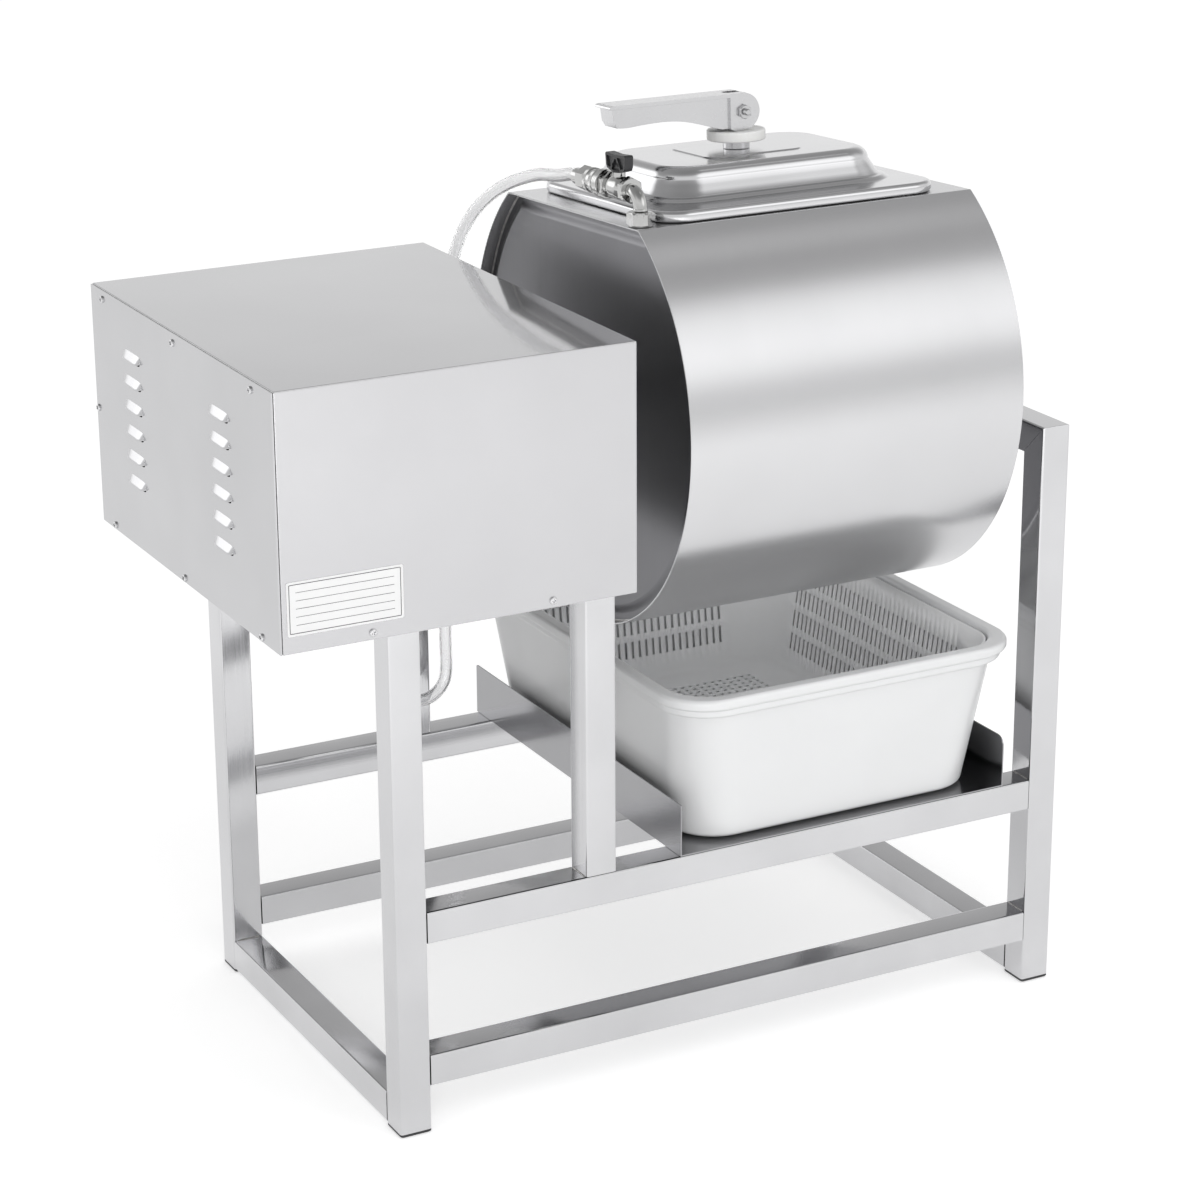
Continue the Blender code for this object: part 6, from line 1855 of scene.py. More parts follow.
@dataclass
class Lid:
    """Pressed lid on its rubber gasket."""

    half_x: float = 0.1450
    half_s: float = 0.1215
    corner: float = 0.030
    sheet: float = 0.0015
    rim_under: float = 0.0012
    rim_top: float = 0.0105
    roll: float = 0.0045
    ledge: Size = (0.1235, 0.0870, 0.041)
    ledge_rise: float = 0.0030
    foot: Size = (0.1180, 0.0815, 0.038)
    crown: Size = (0.1100, 0.0735, 0.034)
    top: float = 0.0385
    shoulder: float = 0.011
    plateau: Size = (0.0500, 0.0370, 0.010)
    raise_by: float = 0.0009
    mouth: Size = (0.1090, 0.0740, 0.030)
    gasket_margin: float = 0.003
    gasket_width: float = 0.016
    stud_hole: float = 0.0063
    corner_steps: int = 16
    roll_steps: int = 10

    @staticmethod
    def grown(size: Size, out: float, share: float, rise: float) -> Station:
        """A ring at a height: a size widened all round, and its corner by a share of that."""
        return (size[0] + out, size[1] + out, size[2] + out * share, rise)

    def rolled(self, size: Size, radius: float, share: float, low: float) -> list[Station]:
        """Rings that round a wall's top inwards.

        Args:
            size: half sizes and corner of the wall.
            radius: radius of the rounding.
            share: how much of the inset its corner takes.
            low: height at which it starts.

        Returns:
            The rings after the start.
        """
        bend = arc((-radius, low), (radius, radius), 0, QUARTER, self.roll_steps)[1:]
        return [self.grown(size, out, share, rise) for out, rise in bend]

    def stepped(self, size: Size, step: float, low: float) -> list[Station]:
        """Rings that climb a small soft step.

        Args:
            size: half sizes and corner of the step's middle.
            step: its height.
            low: height at which it starts.

        Returns:
            The rings.
        """
        shares = [i / 6 for i in range(7)]
        return [self.grown(size, step * (1 - 2 * share), 0.5, low + step * smooth(share)) for share in shares]

    def stations(self) -> list[Station]:
        """Rings of the pressed form from the rim to the plateau, as half sizes, corner and height.

        Returns:
            The rings.
        """
        rim = (self.half_x, self.half_s, self.corner)
        low, wall_top = self.rim_top + self.ledge_rise, self.top - self.shoulder
        rings = [
            self.grown(rim, -self.sheet / 2, 0.0, self.rim_under),
            (*rim, self.rim_under + self.sheet),
            (*rim, self.rim_top - self.roll),
            *self.rolled(rim, self.roll, 1.0, self.rim_top - self.roll),
            *self.stepped(self.ledge, self.ledge_rise, self.rim_top),
        ]
        for share, out in ((0.0, 0.0024), (0.012, 0.0010), (0.045, 0.0002)):
            rings.append(self.grown(self.foot, out, 0.5, low + (wall_top - low) * share))
        for share in (0.12, 0.4, 0.7, 1.0):
            size = [a + (b - a) * share for a, b in zip(self.foot, self.crown)]
            rings.append((*size, low + (wall_top - low) * share))
        rings += self.rolled(self.crown, self.shoulder, 0.5, wall_top)
        return rings + self.stepped(self.plateau, self.raise_by, self.top)

    def build(self) -> None:
        """Makes the pan and the gasket."""
        rings, steps = self.stations(), self.corner_steps
        outer = [at_height(rounded(*ring[:3], steps), ring[3]) for ring in rings]
        inner = []
        for i, (hx, hs, corner, rise) in enumerate(rings):
            before, after = rings[max(i - 1, 0)], rings[min(i + 1, len(rings) - 1)]
            run, climb = before[0] - after[0], after[3] - before[3]
            reach = math.hypot(run, climb)
            inward, down = self.sheet * climb / reach, self.sheet * run / reach
            corner_in = max(corner - inward, self.sheet)
            inner.append(at_height(rounded(hx - inward, hs - inward, corner_in, steps), rise - down))
        hole = moved(prism(circle(self.stud_hole, 48), self.top), (0, 0, self.top / 2))
        body = WORKSHOP.carve(skin([*reversed(inner), *outer]), hole, Join.CUT)
        WORKSHOP.add("pressed_lid", body, FINISHES.lid, "lid_pan", LAYOUT.lid, sharp=42)
        self.build_gasket()

    def build_gasket(self) -> None:
        """Rubber ring with a bulged outer side."""
        low, high = LAYOUT.gap, self.rim_top - self.sheet - LAYOUT.gap
        mouth_x, mouth_s, corner = self.mouth
        inner_x, inner_s = mouth_x + self.gasket_margin, mouth_s + self.gasket_margin
        wide = self.gasket_width
        loops = []
        for i in range(9):
            share = i / 8
            out = wide + wide / 8 * math.sin(math.pi * share)
            outline = rounded(inner_x + out, inner_s + out, corner + wide, 12)
            loops.append(at_height(outline, low + (high - low) * share))
        loops.append(at_height(rounded(inner_x, inner_s, corner, 12), high))
        loops.append(at_height(rounded(inner_x, inner_s, corner, 12), low))
        body = skin(loops, wrap=True)
        WORKSHOP.add("ring_gasket", body, FINISHES.rubber, "lid_gasket", LAYOUT.lid)


# Lower edge of the lever's side walls, as shares of its length behind the pivot and of the pivot's height
LEVER_EDGE_SHARES = (
    (0.960, 0.10),
    (0.935, -0.22),
    (0.860, -0.25),
    (0.720, -0.17),
    (0.580, -0.14),
    (0.460, -0.22),
    (0.350, -0.42),
    (0.240, -0.68),
    (0.150, -0.88),
)


@dataclass
class Lock:
    """Stud, nylon disc, catch bar, cam lever and its pin."""

    stud: float = 0.006
    boss: float = 0.0123
    boss_low: float = 0.0400
    boss_top: float = 0.0470
    disc_low: float = 0.0473
    disc_high: float = 0.0568
    disc_radius: float = 0.0268
    crown: float = 0.0015
    eye_half: float = 0.0075
    pivot: float = 0.0739
    bar_top: float = -0.0075
    rise: float = 0.0168
    lever_length: float = 0.1370
    lever_half: float = 0.0145
    lever_plate: float = 0.0034
    lever_lip: float = 0.0030
    cheek_width: float = 0.0048
    cheek_back: float = 0.0135
    rim_wall: float = 0.0035
    slot: Pair = (0.0180, 0.0110)
    pin: float = 0.0030
    clearance: float = 0.0003
    nut: float = 0.0058
    nut_thick: float = 0.0040
    pin_end: float = 0.0045
    steps: int = 64

    def build(self) -> None:
        """Makes every piece of the lock."""
        WORKSHOP.carry("catch_bar", FINISHES.bright, BEVELS.bar)
        self.build_stud()
        self.build_disc()
        self.build_lever()
        self.build_pin()

    def build_stud(self) -> None:
        """Turned stud with its boss and a flat eye for the pin."""
        edge = self.stud / 6
        head = self.disc_high + self.stud / 2
        stud, boss, low = self.stud, self.boss, self.bar_top + LAYOUT.gap
        profile = [(0, low), (stud, low), (stud, self.boss_low), (boss, self.boss_low)]
        profile += [(boss, self.boss_top - edge), (boss - edge, self.boss_top), (stud, self.boss_top)]
        profile += [(stud, head), (0, head)]
        half, foot = self.eye_half, self.disc_high - 0.005
        outline = [(half, foot), *arc((0, self.pivot), (half, half), 0, 2 * QUARTER, 24), (-half, foot)]
        flat = self.stud * 0.7
        eye = moved(prism(outline, 2 * flat, "Y"), (0, -flat, 0))
        body = WORKSHOP.carve(turned(profile, self.steps), eye, Join.ADD)
        hole = moved(prism(circle(self.pin + self.clearance, 32), 0.04, "Y"), (0, -0.02, self.pivot))
        body = WORKSHOP.carve(body, hole, Join.CUT)
        WORKSHOP.add("turned_stud", body, FINISHES.bright, "lock_stud", LAYOUT.lid, edge=BEVELS.small)

    def build_disc(self) -> None:
        """Nylon disc with round edges and a shallow ring under the lever."""
        bore = math.hypot(self.eye_half, self.stud * 0.7) + LAYOUT.gap
        low, high, radius, crown = self.disc_low, self.disc_high, self.disc_radius, self.crown
        profile = [(bore, low)]
        for centre, start in ((low + crown, -QUARTER), (high - crown, 0.0)):
            profile += arc((radius - crown, centre), (crown, crown), start, start + QUARTER, 6)
        profile += [(radius * 0.80, high), (radius * 0.78, high - 0.0004), (radius * 0.62, high - 0.0004)]
        profile += [(radius * 0.60, high), (bore, high)]
        body = turned(profile, 96)
        WORKSHOP.add("white_disc", body, FINISHES.nylon, "nylon_disc", LAYOUT.lid, sharp=50)

    def build_lever(self) -> None:
        """Cast cam lever: a lipped top plate over two arched walls, with round cheeks."""
        top, length, plate, half = self.rise, self.lever_length, self.lever_plate, self.lever_half
        under = top - plate
        end = top * 0.20
        tip = [(-length, under + plate * 0.3), (-length + plate * 0.4, under), (end, under), (end, top)]
        tip += [(-length + plate, top), (-length + plate * 0.2, top - plate * 0.3)]
        body = moved(prism(tip, 2 * half, "Y"), (0, -half, 0))
        wall_outline = [(-0.972 * length, top - plate / 2), *self.wall_edge()]
        wall_outline += [(-self.cheek_back / 2, -top * 0.86), (0, -top * 0.86), (0, top - plate / 2)]
        wall_out = half - self.lever_lip
        walls = moved(prism(wall_outline, 2 * wall_out, "Y"), (0, -wall_out, 0))
        body = WORKSHOP.carve(body, walls, Join.ADD)
        back = self.cheek_back
        cheek = [(-back, top - plate / 2), (-back, -top * 0.90), (-back * 0.75, -top)]
        cheek += arc((0, 0), (top, top), -QUARTER, QUARTER, 32)
        body = WORKSHOP.carve(body, moved(prism(cheek, 2 * half, "Y"), (0, -half, 0)), Join.ADD)
        channel = half - self.lever_lip - self.rim_wall
        fork = half - self.cheek_width
        hollow = block((-length * 0.93, -channel, -2 * top), (-self.cheek_back, channel, under))
        body = WORKSHOP.carve(body, hollow, Join.CUT)
        gap = block((-self.cheek_back - 0.005, -fork, -2 * top), (2 * top, fork, under - plate * 0.4))
        body = WORKSHOP.carve(body, gap, Join.CUT)
        slot_x, slot_s = self.slot
        slot = prism(rounded(slot_x / 2, slot_s / 2, slot_s / 2 - 0.0003, 12), 0.010)
        body = WORKSHOP.carve(body, moved(slot, (-slot_x / 4, 0, under - 0.005)), Join.CUT)
        hole = moved(prism(circle(self.pin + self.clearance, 32), 0.05, "Y"), (0, -0.025, 0))
        body = WORKSHOP.carve(body, hole, Join.CUT)
        place = LAYOUT.lid @ Matrix.Translation((0, 0, self.pivot))
        WORKSHOP.add("cast_lever", body, FINISHES.cast, "cam_lever", place, edge=BEVELS.cast, sharp=30)

    def wall_edge(self) -> list[Pair]:
        """Smooth lower edge of the walls through the listed shares.

        Returns:
            The points from the cheeks to the tip.
        """
        length, top = self.lever_length, self.rise
        rough = [Vector((-x * length, n * top)) for x, n in LEVER_EDGE_SHARES]
        found = [tuple(rough[0]), tuple(rough[1])]
        for i in range(1, len(rough) - 1):
            before = rough[i] if i == 1 else rough[i - 1]
            points = (before, rough[i], rough[i + 1], rough[min(i + 2, len(rough) - 1)])
            found += [tuple(on_curve(points, step / 5)) for step in range(1, 6)]
        return found

    def build_pin(self) -> None:
        """Pin with a round head, a nut and a rounded thread end."""
        reach, nut, end = self.lever_half, self.nut_thick, self.pin_end
        low = -reach - nut - end
        profile = [(0, low), (self.pin * 0.7, low), (self.pin * 0.92, low + self.pin * 0.15)]
        thread = 7
        for i in range(thread):
            at = low + self.pin * 0.3 + i * (end - self.pin * 0.3) / thread
            profile += [(self.pin, at), (self.pin * 0.93, at + 0.00028)]
        foot = reach + LAYOUT.gap
        profile += [(self.pin, -reach), (self.pin, foot), (self.nut, foot)]
        tall = nut - LAYOUT.gap
        middle = (self.nut * 0.55, foot + tall * 0.3)
        profile += arc(middle, (self.nut * 0.45, tall * 0.7), 0, QUARTER, 6)
        profile.append((0, reach + nut))
        body = turned(profile, 40, (0, 1, 0))
        head = moved(hex_bar(self.nut, 0, tall, 0.0006), (0, -foot, 0), TO_FRONT)
        body = WORKSHOP.carve(body, head, Join.ADD)
        place = LAYOUT.lid @ Matrix.Translation((0, 0, self.pivot))
        WORKSHOP.add("pin_and_nut", body, FINISHES.bright, "lever_pin", place, sharp=28)


# The valve group


# Side view of one half of the valve handle, and its sunk fields, as shares of its half length and its rise
HANDLE_SHARES = (
    (0.00, 0.00),
    (0.34, 0.00),
    (0.74, 0.14),
    (0.84, 0.34),
    (0.88, 0.92),
    (0.80, 1.00),
    (0.00, 0.94),
)
HANDLE_FIELD_SHARES = (
    ((-0.34, 0.14), (0.34, 0.14), (0.04, 0.72), (-0.04, 0.72)),
    ((0.46, 0.20), (0.70, 0.26), (0.78, 0.84), (0.20, 0.80), (0.16, 0.76)),
    ((-0.46, 0.20), (-0.16, 0.76), (-0.20, 0.80), (-0.78, 0.84), (-0.70, 0.26)),
)


@dataclass
class ValveGroup:
    """Bush, elbow, ball valve with its handle, quick coupler with its sleeve, and the hose nut."""

    elbow_s: float = -0.1085
    rise: float = LAYOUT.valve_rise
    bush: float = 0.0108
    bush_rise: float = 0.0130
    tube: float = 0.0066
    bend: float = 0.0140
    elbow_end: float = -0.0930
    body_hex: float = 0.0104
    collar: float = 0.0070
    ball: float = 0.0106
    body_end: float = -0.0500
    stem_s: float = -0.0720
    stem: float = 0.0052
    stem_top: float = 0.0135
    handle_half: float = 0.0205
    handle_thick: float = 0.0042
    handle_rise: float = 0.0160
    handle_hub: float = 0.0068
    ring: float = 0.0132
    ring_width: float = 0.0078
    neck: float = 0.0082
    sleeve: float = 0.0114
    sleeve_start: float = -0.0368
    sleeve_end: float = -0.0205
    nut: float = 0.0100
    nut_tip: float = 0.0078
    nut_end: float = 0.0080
    steps: int = 48

    def build(self) -> None:
        """Makes the whole line from the bush to the nut."""
        self.build_bush()
        self.build_elbow()
        self.build_body()
        self.build_handle()
        self.build_coupler()
        self.build_sleeve()
        self.build_nut()

    def build_bush(self) -> None:
        """Hexagonal bush standing on the flat."""
        body = hex_bar(self.bush, LAYOUT.gap, self.bush_rise, self.bush_rise / 8)
        place = LAYOUT.drum @ Matrix.Translation((LAYOUT.valve_x, self.elbow_s, LAYOUT.flat))
        WORKSHOP.add("hex_bush", body, FINISHES.nickel, "valve_bush", place, edge=BEVELS.fine)

    def build_elbow(self) -> None:
        """Bent tube with a band at each end."""
        start_n = self.bush_rise + LAYOUT.gap - self.rise
        radius, bend = self.tube, self.bend
        band = radius * 0.93
        middle_s, middle_n = self.elbow_s + bend, -bend
        loops = []
        for size, height in ((radius * 0.96, 0.0), (radius, 0.0004), (radius, 0.0016), (band, 0.0022)):
            loops.append([(x, self.elbow_s + y, start_n + height) for x, y in circle(size, self.steps)])
        for i in range(17):
            turn = math.pi - QUARTER * i / 16
            along = Vector((0, math.cos(turn), math.sin(turn)))
            middle = Vector((0, middle_s, middle_n)) + bend * along
            loops.append([tuple(middle + Vector((x, 0, 0)) - y * along) for x, y in circle(band, self.steps)])
        end = self.elbow_end - LAYOUT.gap
        loops.append([(x, end - 0.0004, -y) for x, y in circle(band, self.steps)])
        loops.append([(x, end, -y) for x, y in circle(band * 0.96, self.steps)])
        body = skin(loops)
        WORKSHOP.add("bent_elbow", body, FINISHES.nickel, "valve_elbow", LAYOUT.valve, sharp=50)

    def build_body(self) -> None:
        """Ball valve body: two hexagons with a rounded waist and a stem."""
        ball, stem_s = self.ball, self.stem_s
        waist = ball * 0.80
        profile = [(0, self.elbow_end + self.collar * 0.5), (waist, self.elbow_end + self.collar * 0.5)]
        for i in range(13):
            share = -1 + 2 * i / 12
            profile.append((waist + (ball - waist) * (1 - abs(share) ** 4), stem_s + share * ball * 1.15))
        profile += [(waist, self.body_end - self.collar * 0.5), (0, self.body_end - self.collar * 0.5)]
        body = turned(profile, self.steps, (0, 1, 0))
        for start in (self.elbow_end, self.body_end - self.collar - LAYOUT.gap):
            nut = moved(hex_bar(self.body_hex, 0, self.collar, 0.0009), (0, start, 0), TO_Y)
            body = WORKSHOP.carve(body, nut, Join.ADD)
        radius, top = self.stem, self.stem_top
        stem = turned(((0, 0), (radius, 0), (radius, top), (0, top)), 40)
        body = WORKSHOP.carve(body, moved(stem, (0, stem_s, 0)), Join.ADD)
        WORKSHOP.add("ball_valve_body", body, FINISHES.nickel, "valve_body", LAYOUT.valve, sharp=28)

    def build_handle(self) -> None:
        """Flat handle with sunk fields on both sides, on a round hub."""
        right = [(s * self.handle_half, n * self.handle_rise) for s, n in HANDLE_SHARES]
        left = [(-s, n) for s, n in reversed(right[1:-1])]
        thick = self.handle_thick
        body = moved(prism(right + left, 2 * thick, "X"), (-thick, 0, 0))
        hub, top = self.handle_hub, self.handle_rise * 0.52
        profile = ((0, 0), (hub, 0), (hub, top * 0.8), (hub * 0.8, top), (0, top))
        body = WORKSHOP.carve(body, turned(profile, 40), Join.ADD)
        for shares in HANDLE_FIELD_SHARES:
            outline = [(s * self.handle_half, n * self.handle_rise) for s, n in shares]
            for start in (thick * 0.62, -thick * 1.62):
                field = moved(prism(outline, thick, "X"), (start, 0, 0))
                body = WORKSHOP.carve(body, field, Join.CUT)
        place = LAYOUT.valve @ Matrix.Translation((0, self.stem_s, self.stem_top + LAYOUT.gap))
        WORKSHOP.add("flat_valve_handle", body, FINISHES.black, "valve_handle", place, edge=BEVELS.soft)

    def build_coupler(self) -> None:
        """Coupler body: a grooved ring and a plain neck."""
        ring, start = self.ring, self.body_end + LAYOUT.gap
        end = start + self.ring_width
        edge = ring / 12
        profile = [(0, start), (ring - edge, start)]
        for i in range(3):
            low = start + self.ring_width * i / 3
            high = start + self.ring_width * (i + 1) / 3
            profile += [(ring - edge * 0.5, low), (ring, low + edge * 0.3), (ring, high - edge * 0.45)]
            profile.append((ring - edge * 0.7, high - edge * 0.1))
        profile += [(ring - edge, end), (self.neck, end), (self.neck, self.sleeve_end), (0, self.sleeve_end)]
        body = turned(profile, 72, (0, 1, 0))
        WORKSHOP.add("coupler_ring", body, FINISHES.nickel, "coupler_body", LAYOUT.valve, sharp=28)

    def build_sleeve(self) -> None:
        """Sliding sleeve with a groove and knurled bands."""
        long = self.sleeve_end - self.sleeve_start
        bore, radius = self.neck + LAYOUT.gap, self.sleeve
        knurls = 72
        stations = (
            (bore, 0.0, 0.0),
            (radius * 0.93, 0.0, 0.0),
            (radius * 0.985, 0.03, 0.0),
            (radius * 0.99, 0.06, 1.0),
            (radius * 0.99, 0.29, 1.0),
            (radius * 0.985, 0.31, 0.0),
            (radius * 0.93, 0.36, 0.0),
            (radius * 0.93, 0.64, 0.0),
            (radius * 0.985, 0.69, 0.0),
            (radius * 0.99, 0.71, 1.0),
            (radius * 0.99, 0.94, 1.0),
            (radius * 0.985, 0.97, 0.0),
            (radius * 0.93, 1.0, 0.0),
            (bore, 1.0, 0.0),
        )
        loops = []
        for size, share, knurl in stations:
            ring, at = [], self.sleeve_start + share * long
            for i in range(knurls * 2):
                angle = math.pi * i / knurls
                reach = size + knurl * radius * 0.01 * (1 if i % 2 else -1)
                ring.append((reach * math.cos(angle), at, reach * math.sin(angle)))
            loops.append(ring)
        body = skin(loops, wrap=True)
        WORKSHOP.add("knurled_sleeve", body, FINISHES.nickel, "coupler_sleeve", LAYOUT.valve, sharp=20)

    def build_nut(self) -> None:
        """Hose nut with a round tip."""
        start = self.sleeve_end + LAYOUT.gap
        middle = start + (self.nut_end - start) * 0.52
        edge = self.ring / 12
        rings = (
            hex_ring(self.nut - edge, start, 72, False),
            hex_ring(self.nut, start + edge * 0.4, 72, False),
            hex_ring(self.nut, start + edge, 72),
            hex_ring(self.nut, middle - edge * 0.6, 72),
            hex_ring(self.nut, middle, 72, False),
            hex_ring(self.nut_tip * 1.08, middle + edge * 0.6, 72, False),
            hex_ring(self.nut_tip, middle + edge * 1.4, 72, False),
            hex_ring(self.nut_tip * 0.98, self.nut_end - edge, 72, False),
            hex_ring(self.nut_tip - edge * 0.6, self.nut_end - edge * 0.2, 72, False),
            hex_ring(self.nut_tip - edge, self.nut_end, 72, False),
        )
        body = skin([[(a, height, b) for a, b, height in ring] for ring in rings])
        WORKSHOP.add("hose_nut_hex", body, FINISHES.nickel, "hose_nut", LAYOUT.valve, sharp=28)


# Tray, basin and basket


@dataclass
class Basin:
    """Drip tray, moulded basin and its perforated basket."""

    x: float = 0.4515
    tray_x: Pair = (0.2790, 0.6240)
    tray_under: float = 0.2097
    tray_sheet: float = 0.0012
    tray_high: float = 0.0492
    tray_half: float = 0.20625
    tray_corner: Pair = (0.0020, 0.0100)
    under: float = 0.2112
    floor: Pair = (0.1540, 0.1960)
    neck: Pair = (0.1705, 0.2140)
    rim: Pair = (0.1810, 0.2240)
    rim_top: float = 0.3580
    rim_band: float = 0.0110
    step_band: float = 0.0080
    step_in: float = 0.0040
    roll: float = 0.0035
    wall: float = 0.0025
    corner: float = 0.046
    foot: float = 0.012
    steps: int = 16
    basket_gap: float = 0.0022
    basket_wall: float = 0.0020
    slot_pitch: float = 0.0078
    slot_width: float = 0.0030
    slot_height: float = 0.0170
    slot_rows: tuple[float, ...] = (0.2400, 0.2640, 0.2880, 0.3120)
    hole_pitch: float = 0.0086
    hole: float = 0.0042

    def build(self) -> None:
        """Makes the tray, the basin and the basket."""
        self.build_tray()
        self.build_basin()
        self.build_basket()

    def build_tray(self) -> None:
        """Folded sheet channel; its left flange ends square and its right one round."""
        (left, right), thin, high = self.tray_x, self.tray_sheet, self.tray_high
        half = self.tray_half
        body = block((left, -half, 0), (right, half, thin))
        for start, corner in zip((left, right - thin), self.tray_corner):
            outline = [(-half, thin / 2), (half, thin / 2)]
            for side, first in ((1, 0.0), (-1, QUARTER)):
                middle = (side * (half - corner), high - corner)
                outline += arc(middle, (corner, corner), first, first + QUARTER, 8)
            flange = moved(prism(outline, thin, "X"), (start, 0, 0))
            body = WORKSHOP.carve(body, flange, Join.ADD)
        moved(body, (0, 0, self.tray_under))
        WORKSHOP.add("folded_tray", body, FINISHES.tray, "drip_tray", edge=BEVELS.soft)

    def ring(self, size: Pair, inset: float, corner: float, z: float) -> Loop:
        """A rounded rectangular loop round the basin's middle.

        Args:
            size: half length and half width.
            inset: how far inside that size it lies.
            corner: radius of its corners.
            z: its height.

        Returns:
            The points.
        """
        return [(self.x + a, b, z) for a, b in rounded(size[0] - inset, size[1] - inset, corner, self.steps)]

    def build_basin(self) -> None:
        """Sloping walls, a rolled rim and a stepped band below it."""
        top, low = self.rim_top, self.rim_top - self.rim_band
        neck_z = low - self.step_band
        corner, roll, foot = self.corner, self.roll, self.foot
        step = (self.rim[0] - self.step_in, self.rim[1] - self.step_in)
        loops = []
        tall = foot * 0.55
        for inset, z in arc((foot, self.under + tall), (-foot, -tall), QUARTER, 0, 8):
            loops.append(self.ring(self.floor, inset, corner - inset, z))
        loops.append(self.ring(self.neck, 0.0006, corner, neck_z - 0.0012))
        loops.append(self.ring(self.neck, 0, corner, neck_z - 0.0002))
        loops += [
            self.ring(step, roll / 2, corner, neck_z + roll / 5),
            self.ring(step, roll / 6, corner, neck_z + roll / 2),
            self.ring(step, 0, corner, neck_z + roll),
            self.ring(step, 0, corner, low - 0.0006),
            self.ring(self.rim, roll * 0.62, corner, low + roll / 6),
            self.ring(self.rim, roll / 5, corner, low + roll / 2),
            self.ring(self.rim, 0, corner, low + roll),
            self.ring(self.rim, 0, corner, top - roll),
        ]
        for inset, z in arc((roll, top - roll), (-roll, roll), 0, QUARTER, 7)[1:]:
            loops.append(self.ring(self.rim, inset, corner, z))
        lip = self.wall * 1.4
        for inset, z in arc((lip - roll, top - roll), (roll, roll), QUARTER, 0, 7):
            loops.append(self.ring(self.neck, inset, corner - lip, z))
        loops.append(self.ring(self.neck, self.wall, corner - self.wall, neck_z))
        tall, wall = foot * 0.7, self.wall
        for inset, z in arc((foot, self.under + tall), (wall - foot, wall - tall), 0, QUARTER, 8):
            loops.append(self.ring(self.floor, inset, corner - inset, z))
        WORKSHOP.add("moulded_basin", skin(loops), FINISHES.basin, "basin", sharp=50)

    def build_basket(self) -> None:
        """Perforated liner: rows of upright slots on every wall and a grid of holes in the bottom."""
        gap = self.wall + self.basket_gap
        corner = self.corner - gap
        foot = self.foot
        floor_z = self.under + self.wall + LAYOUT.gap
        top = self.rim_top - self.roll - LAYOUT.gap
        low_size = (self.floor[0] - gap, self.floor[1] - gap)
        top_size = (self.neck[0] - gap, self.neck[1] - gap)
        start = floor_z + foot

        def side_marks(half: float) -> list[tuple[float, bool]]:
            """Where one wall's slots start and end.

            Args:
                half: half the wall's straight length.

            Returns:
                Places along the wall, each with whether a slot follows it.
            """
            count = int((2 * half - self.slot_pitch) / self.slot_pitch)
            first = -(count - 1) / 2 * self.slot_pitch
            marks = [(-half, False)]
            for i in range(count):
                at = first + i * self.slot_pitch
                marks += [(at - self.slot_width / 2, True), (at + self.slot_width / 2, False)]
            return marks

        def wall_ring(size: Pair, inset: float, z: float) -> tuple[Loop, list[bool]]:
            """One level of the four walls.

            Args:
                size: half length and half width.
                inset: how far inside that size it lies.
                z: its height.

            Returns:
                The points, and whether a slot follows each.
            """
            half_x, half_y, radius = size[0] - inset, size[1] - inset, corner - inset
            points, open_after = [], []
            for quarter, (sign_x, sign_y) in enumerate(CORNERS):
                for step in range(self.steps):
                    angle = QUARTER * (quarter + step / self.steps)
                    x = sign_x * (half_x - radius) + radius * math.cos(angle)
                    y = sign_y * (half_y - radius) + radius * math.sin(angle)
                    points.append((self.x + x, y, z))
                    open_after.append(False)
                along_x = quarter % 2 == 0
                base = (low_size[0] if along_x else low_size[1]) - corner
                reach = (half_x if along_x else half_y) - radius
                for at, is_open in side_marks(base):
                    share = at / base
                    at = at if abs(share) < 1 else share * reach
                    x = -sign_x * at if along_x else sign_x * half_x
                    y = sign_y * half_y if along_x else -sign_y * at
                    points.append((self.x + x, y, z))
                    open_after.append(is_open)
            return points, open_after

        levels = [(start, False)]
        for z in self.slot_rows:
            levels += [(z, True), (z + self.slot_height, False)]
        levels.append((top - 0.0006, False))
        bm = bmesh.new()
        rows, slots = [], []
        for z, _ in levels:
            share = (z - start) / (top - start)
            size = tuple(a + (b - a) * share for a, b in zip(low_size, top_size))
            points, slots = wall_ring(size, self.basket_wall / 2, z)
            rows.append([bm.verts.new(point) for point in points])
        count = len(rows[0])
        for (low, high), (_, is_open) in zip(zip(rows, rows[1:]), levels):
            for i in range(count):
                if not (is_open and slots[i]):
                    j = (i + 1) % count
                    bm.faces.new((low[i], low[j], high[j], high[i]))
        self.basket_floor(bm, rows[0], low_size, floor_z, foot)
        piece = WORKSHOP.add("slotted_basket", bm, FINISHES.basket, "basket", sharp=50)
        step = piece.modifiers.new("moulded_wall", "SOLIDIFY")
        step.thickness = self.basket_wall
        step.offset = 0.0

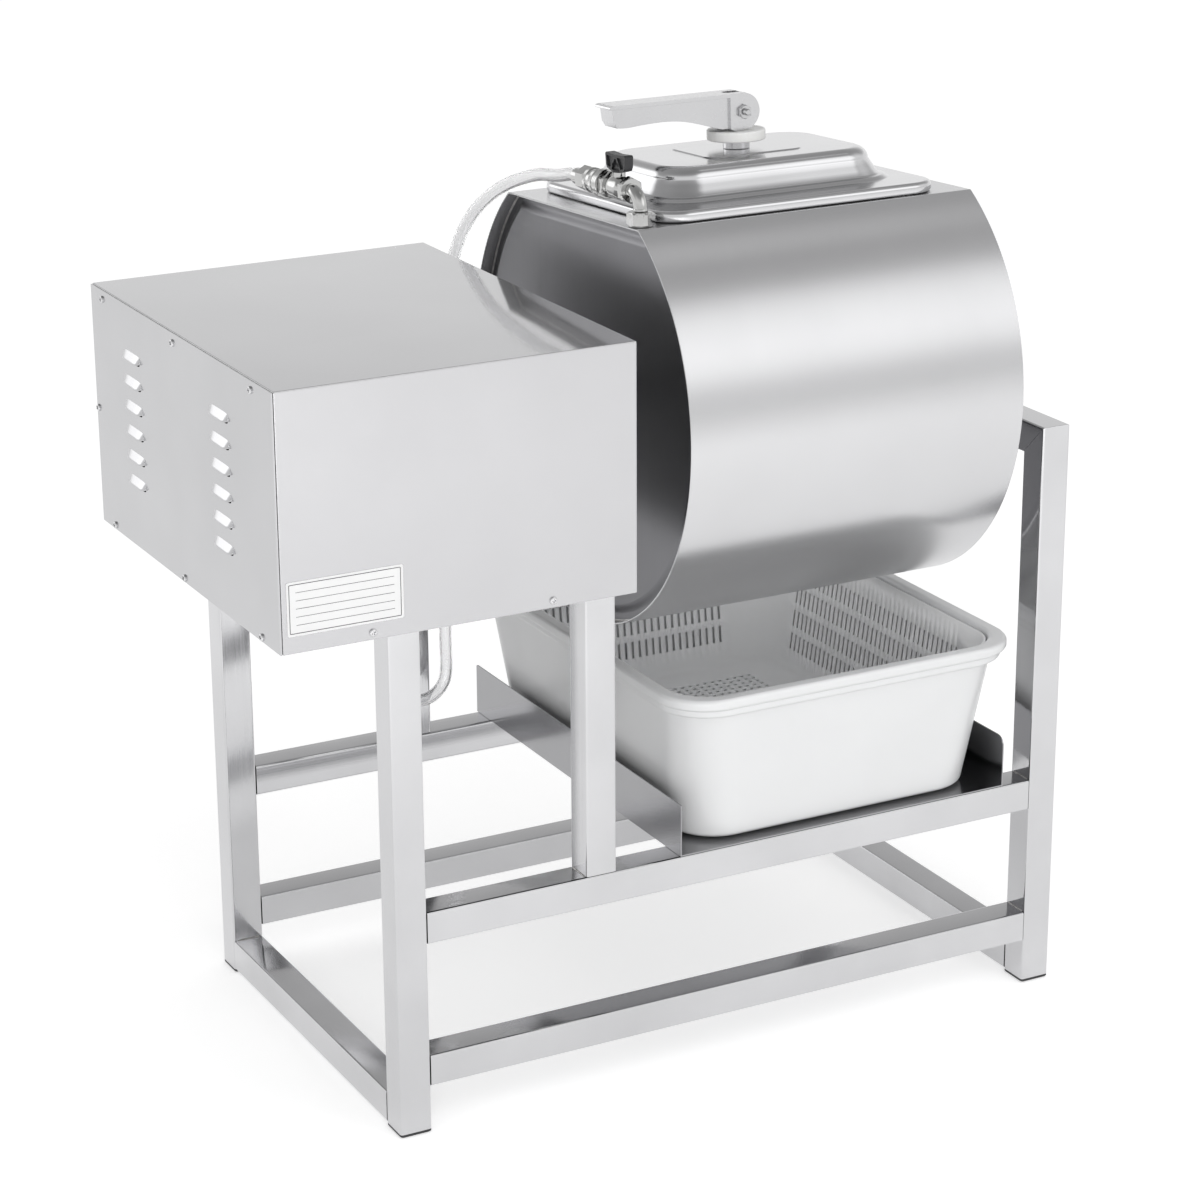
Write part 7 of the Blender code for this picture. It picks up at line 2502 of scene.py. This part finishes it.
    def basket_floor(self, bm: Shape, edge: list, size: Pair, floor_z: float, foot: float) -> None:
        """Rounds the wall's foot in to the floor and closes that with a grid of square holes.

        Args:
            bm: the basket's sheet, which it adds to.
            edge: the lowest ring of the walls.
            size: the half sizes at the foot.
            floor_z: the underside of the floor.
            foot: radius of the foot.
        """
        level = floor_z + self.basket_wall / 2
        inside = edge
        for share in (0.35, 0.7, 1.0):
            turn = QUARTER * share
            ring = []
            for vert in edge:
                x, y = vert.co.x - self.x, vert.co.y
                pull = foot * (1 - math.cos(turn))
                reach_x = x * (1 - pull / size[0])
                reach_y = y * (1 - pull / size[1])
                z = vert.co.z - (vert.co.z - level) * math.sin(turn)
                ring.append(bm.verts.new((self.x + reach_x, reach_y, z)))
            for i in range(len(ring)):
                j = (i + 1) % len(ring)
                bm.faces.new((inside[i], inside[j], ring[j], ring[i]))
            inside = ring
        half_x = size[0] - foot - 0.022
        half_y = size[1] - foot - 0.022
        columns = int(2 * half_x / self.hole_pitch)
        lines = int(2 * half_y / self.hole_pitch)
        web = (self.hole_pitch - self.hole) / 2

        def marks(count: int) -> list[float]:
            """The lines of the floor's grid along one direction.

            Args:
                count: how many holes there are.

            Returns:
                The places of the edges of webs and holes in turn.
            """
            first = -count / 2 * self.hole_pitch
            found = [first]
            for i in range(count):
                at = first + i * self.hole_pitch
                found += [at + web, at + self.hole_pitch - web]
            return found + [first + count * self.hole_pitch]

        xs, ys = marks(columns), marks(lines)
        grid = [[bm.verts.new((self.x + x, y, level)) for y in ys] for x in xs]
        for i in range(len(xs) - 1):
            for j in range(len(ys) - 1):
                if not (i % 2 == 1 and j % 2 == 1):
                    bm.faces.new((grid[i][j], grid[i + 1][j], grid[i + 1][j + 1], grid[i][j + 1]))
        loop = [grid[i][0] for i in range(len(xs))]
        loop += [grid[-1][j] for j in range(1, len(ys))]
        loop += [grid[i][-1] for i in range(len(xs) - 2, -1, -1)]
        loop += [grid[0][j] for j in range(len(ys) - 2, 0, -1)]
        rim = [bm.edges.get((a, b)) for a, b in zip(loop, loop[1:] + loop[:1])]
        outside = [bm.edges.get((a, b)) for a, b in zip(inside, inside[1:] + inside[:1])]
        bmesh.ops.bridge_loops(bm, edges=rim + outside)


def main() -> None:
    """Builds every sub-assembly in order."""
    logging.basicConfig(level=logging.INFO, format="%(message)s")
    Studio().build()
    for kind in (Hose, Stand, Housing, Drive, Controls, Drum, Lid, Lock, ValveGroup, Basin):
        before = WORKSHOP.count
        kind().build()
        log.info("%s: %d pieces", kind.__name__, WORKSHOP.count - before)


if __name__ == "__main__":
    main()
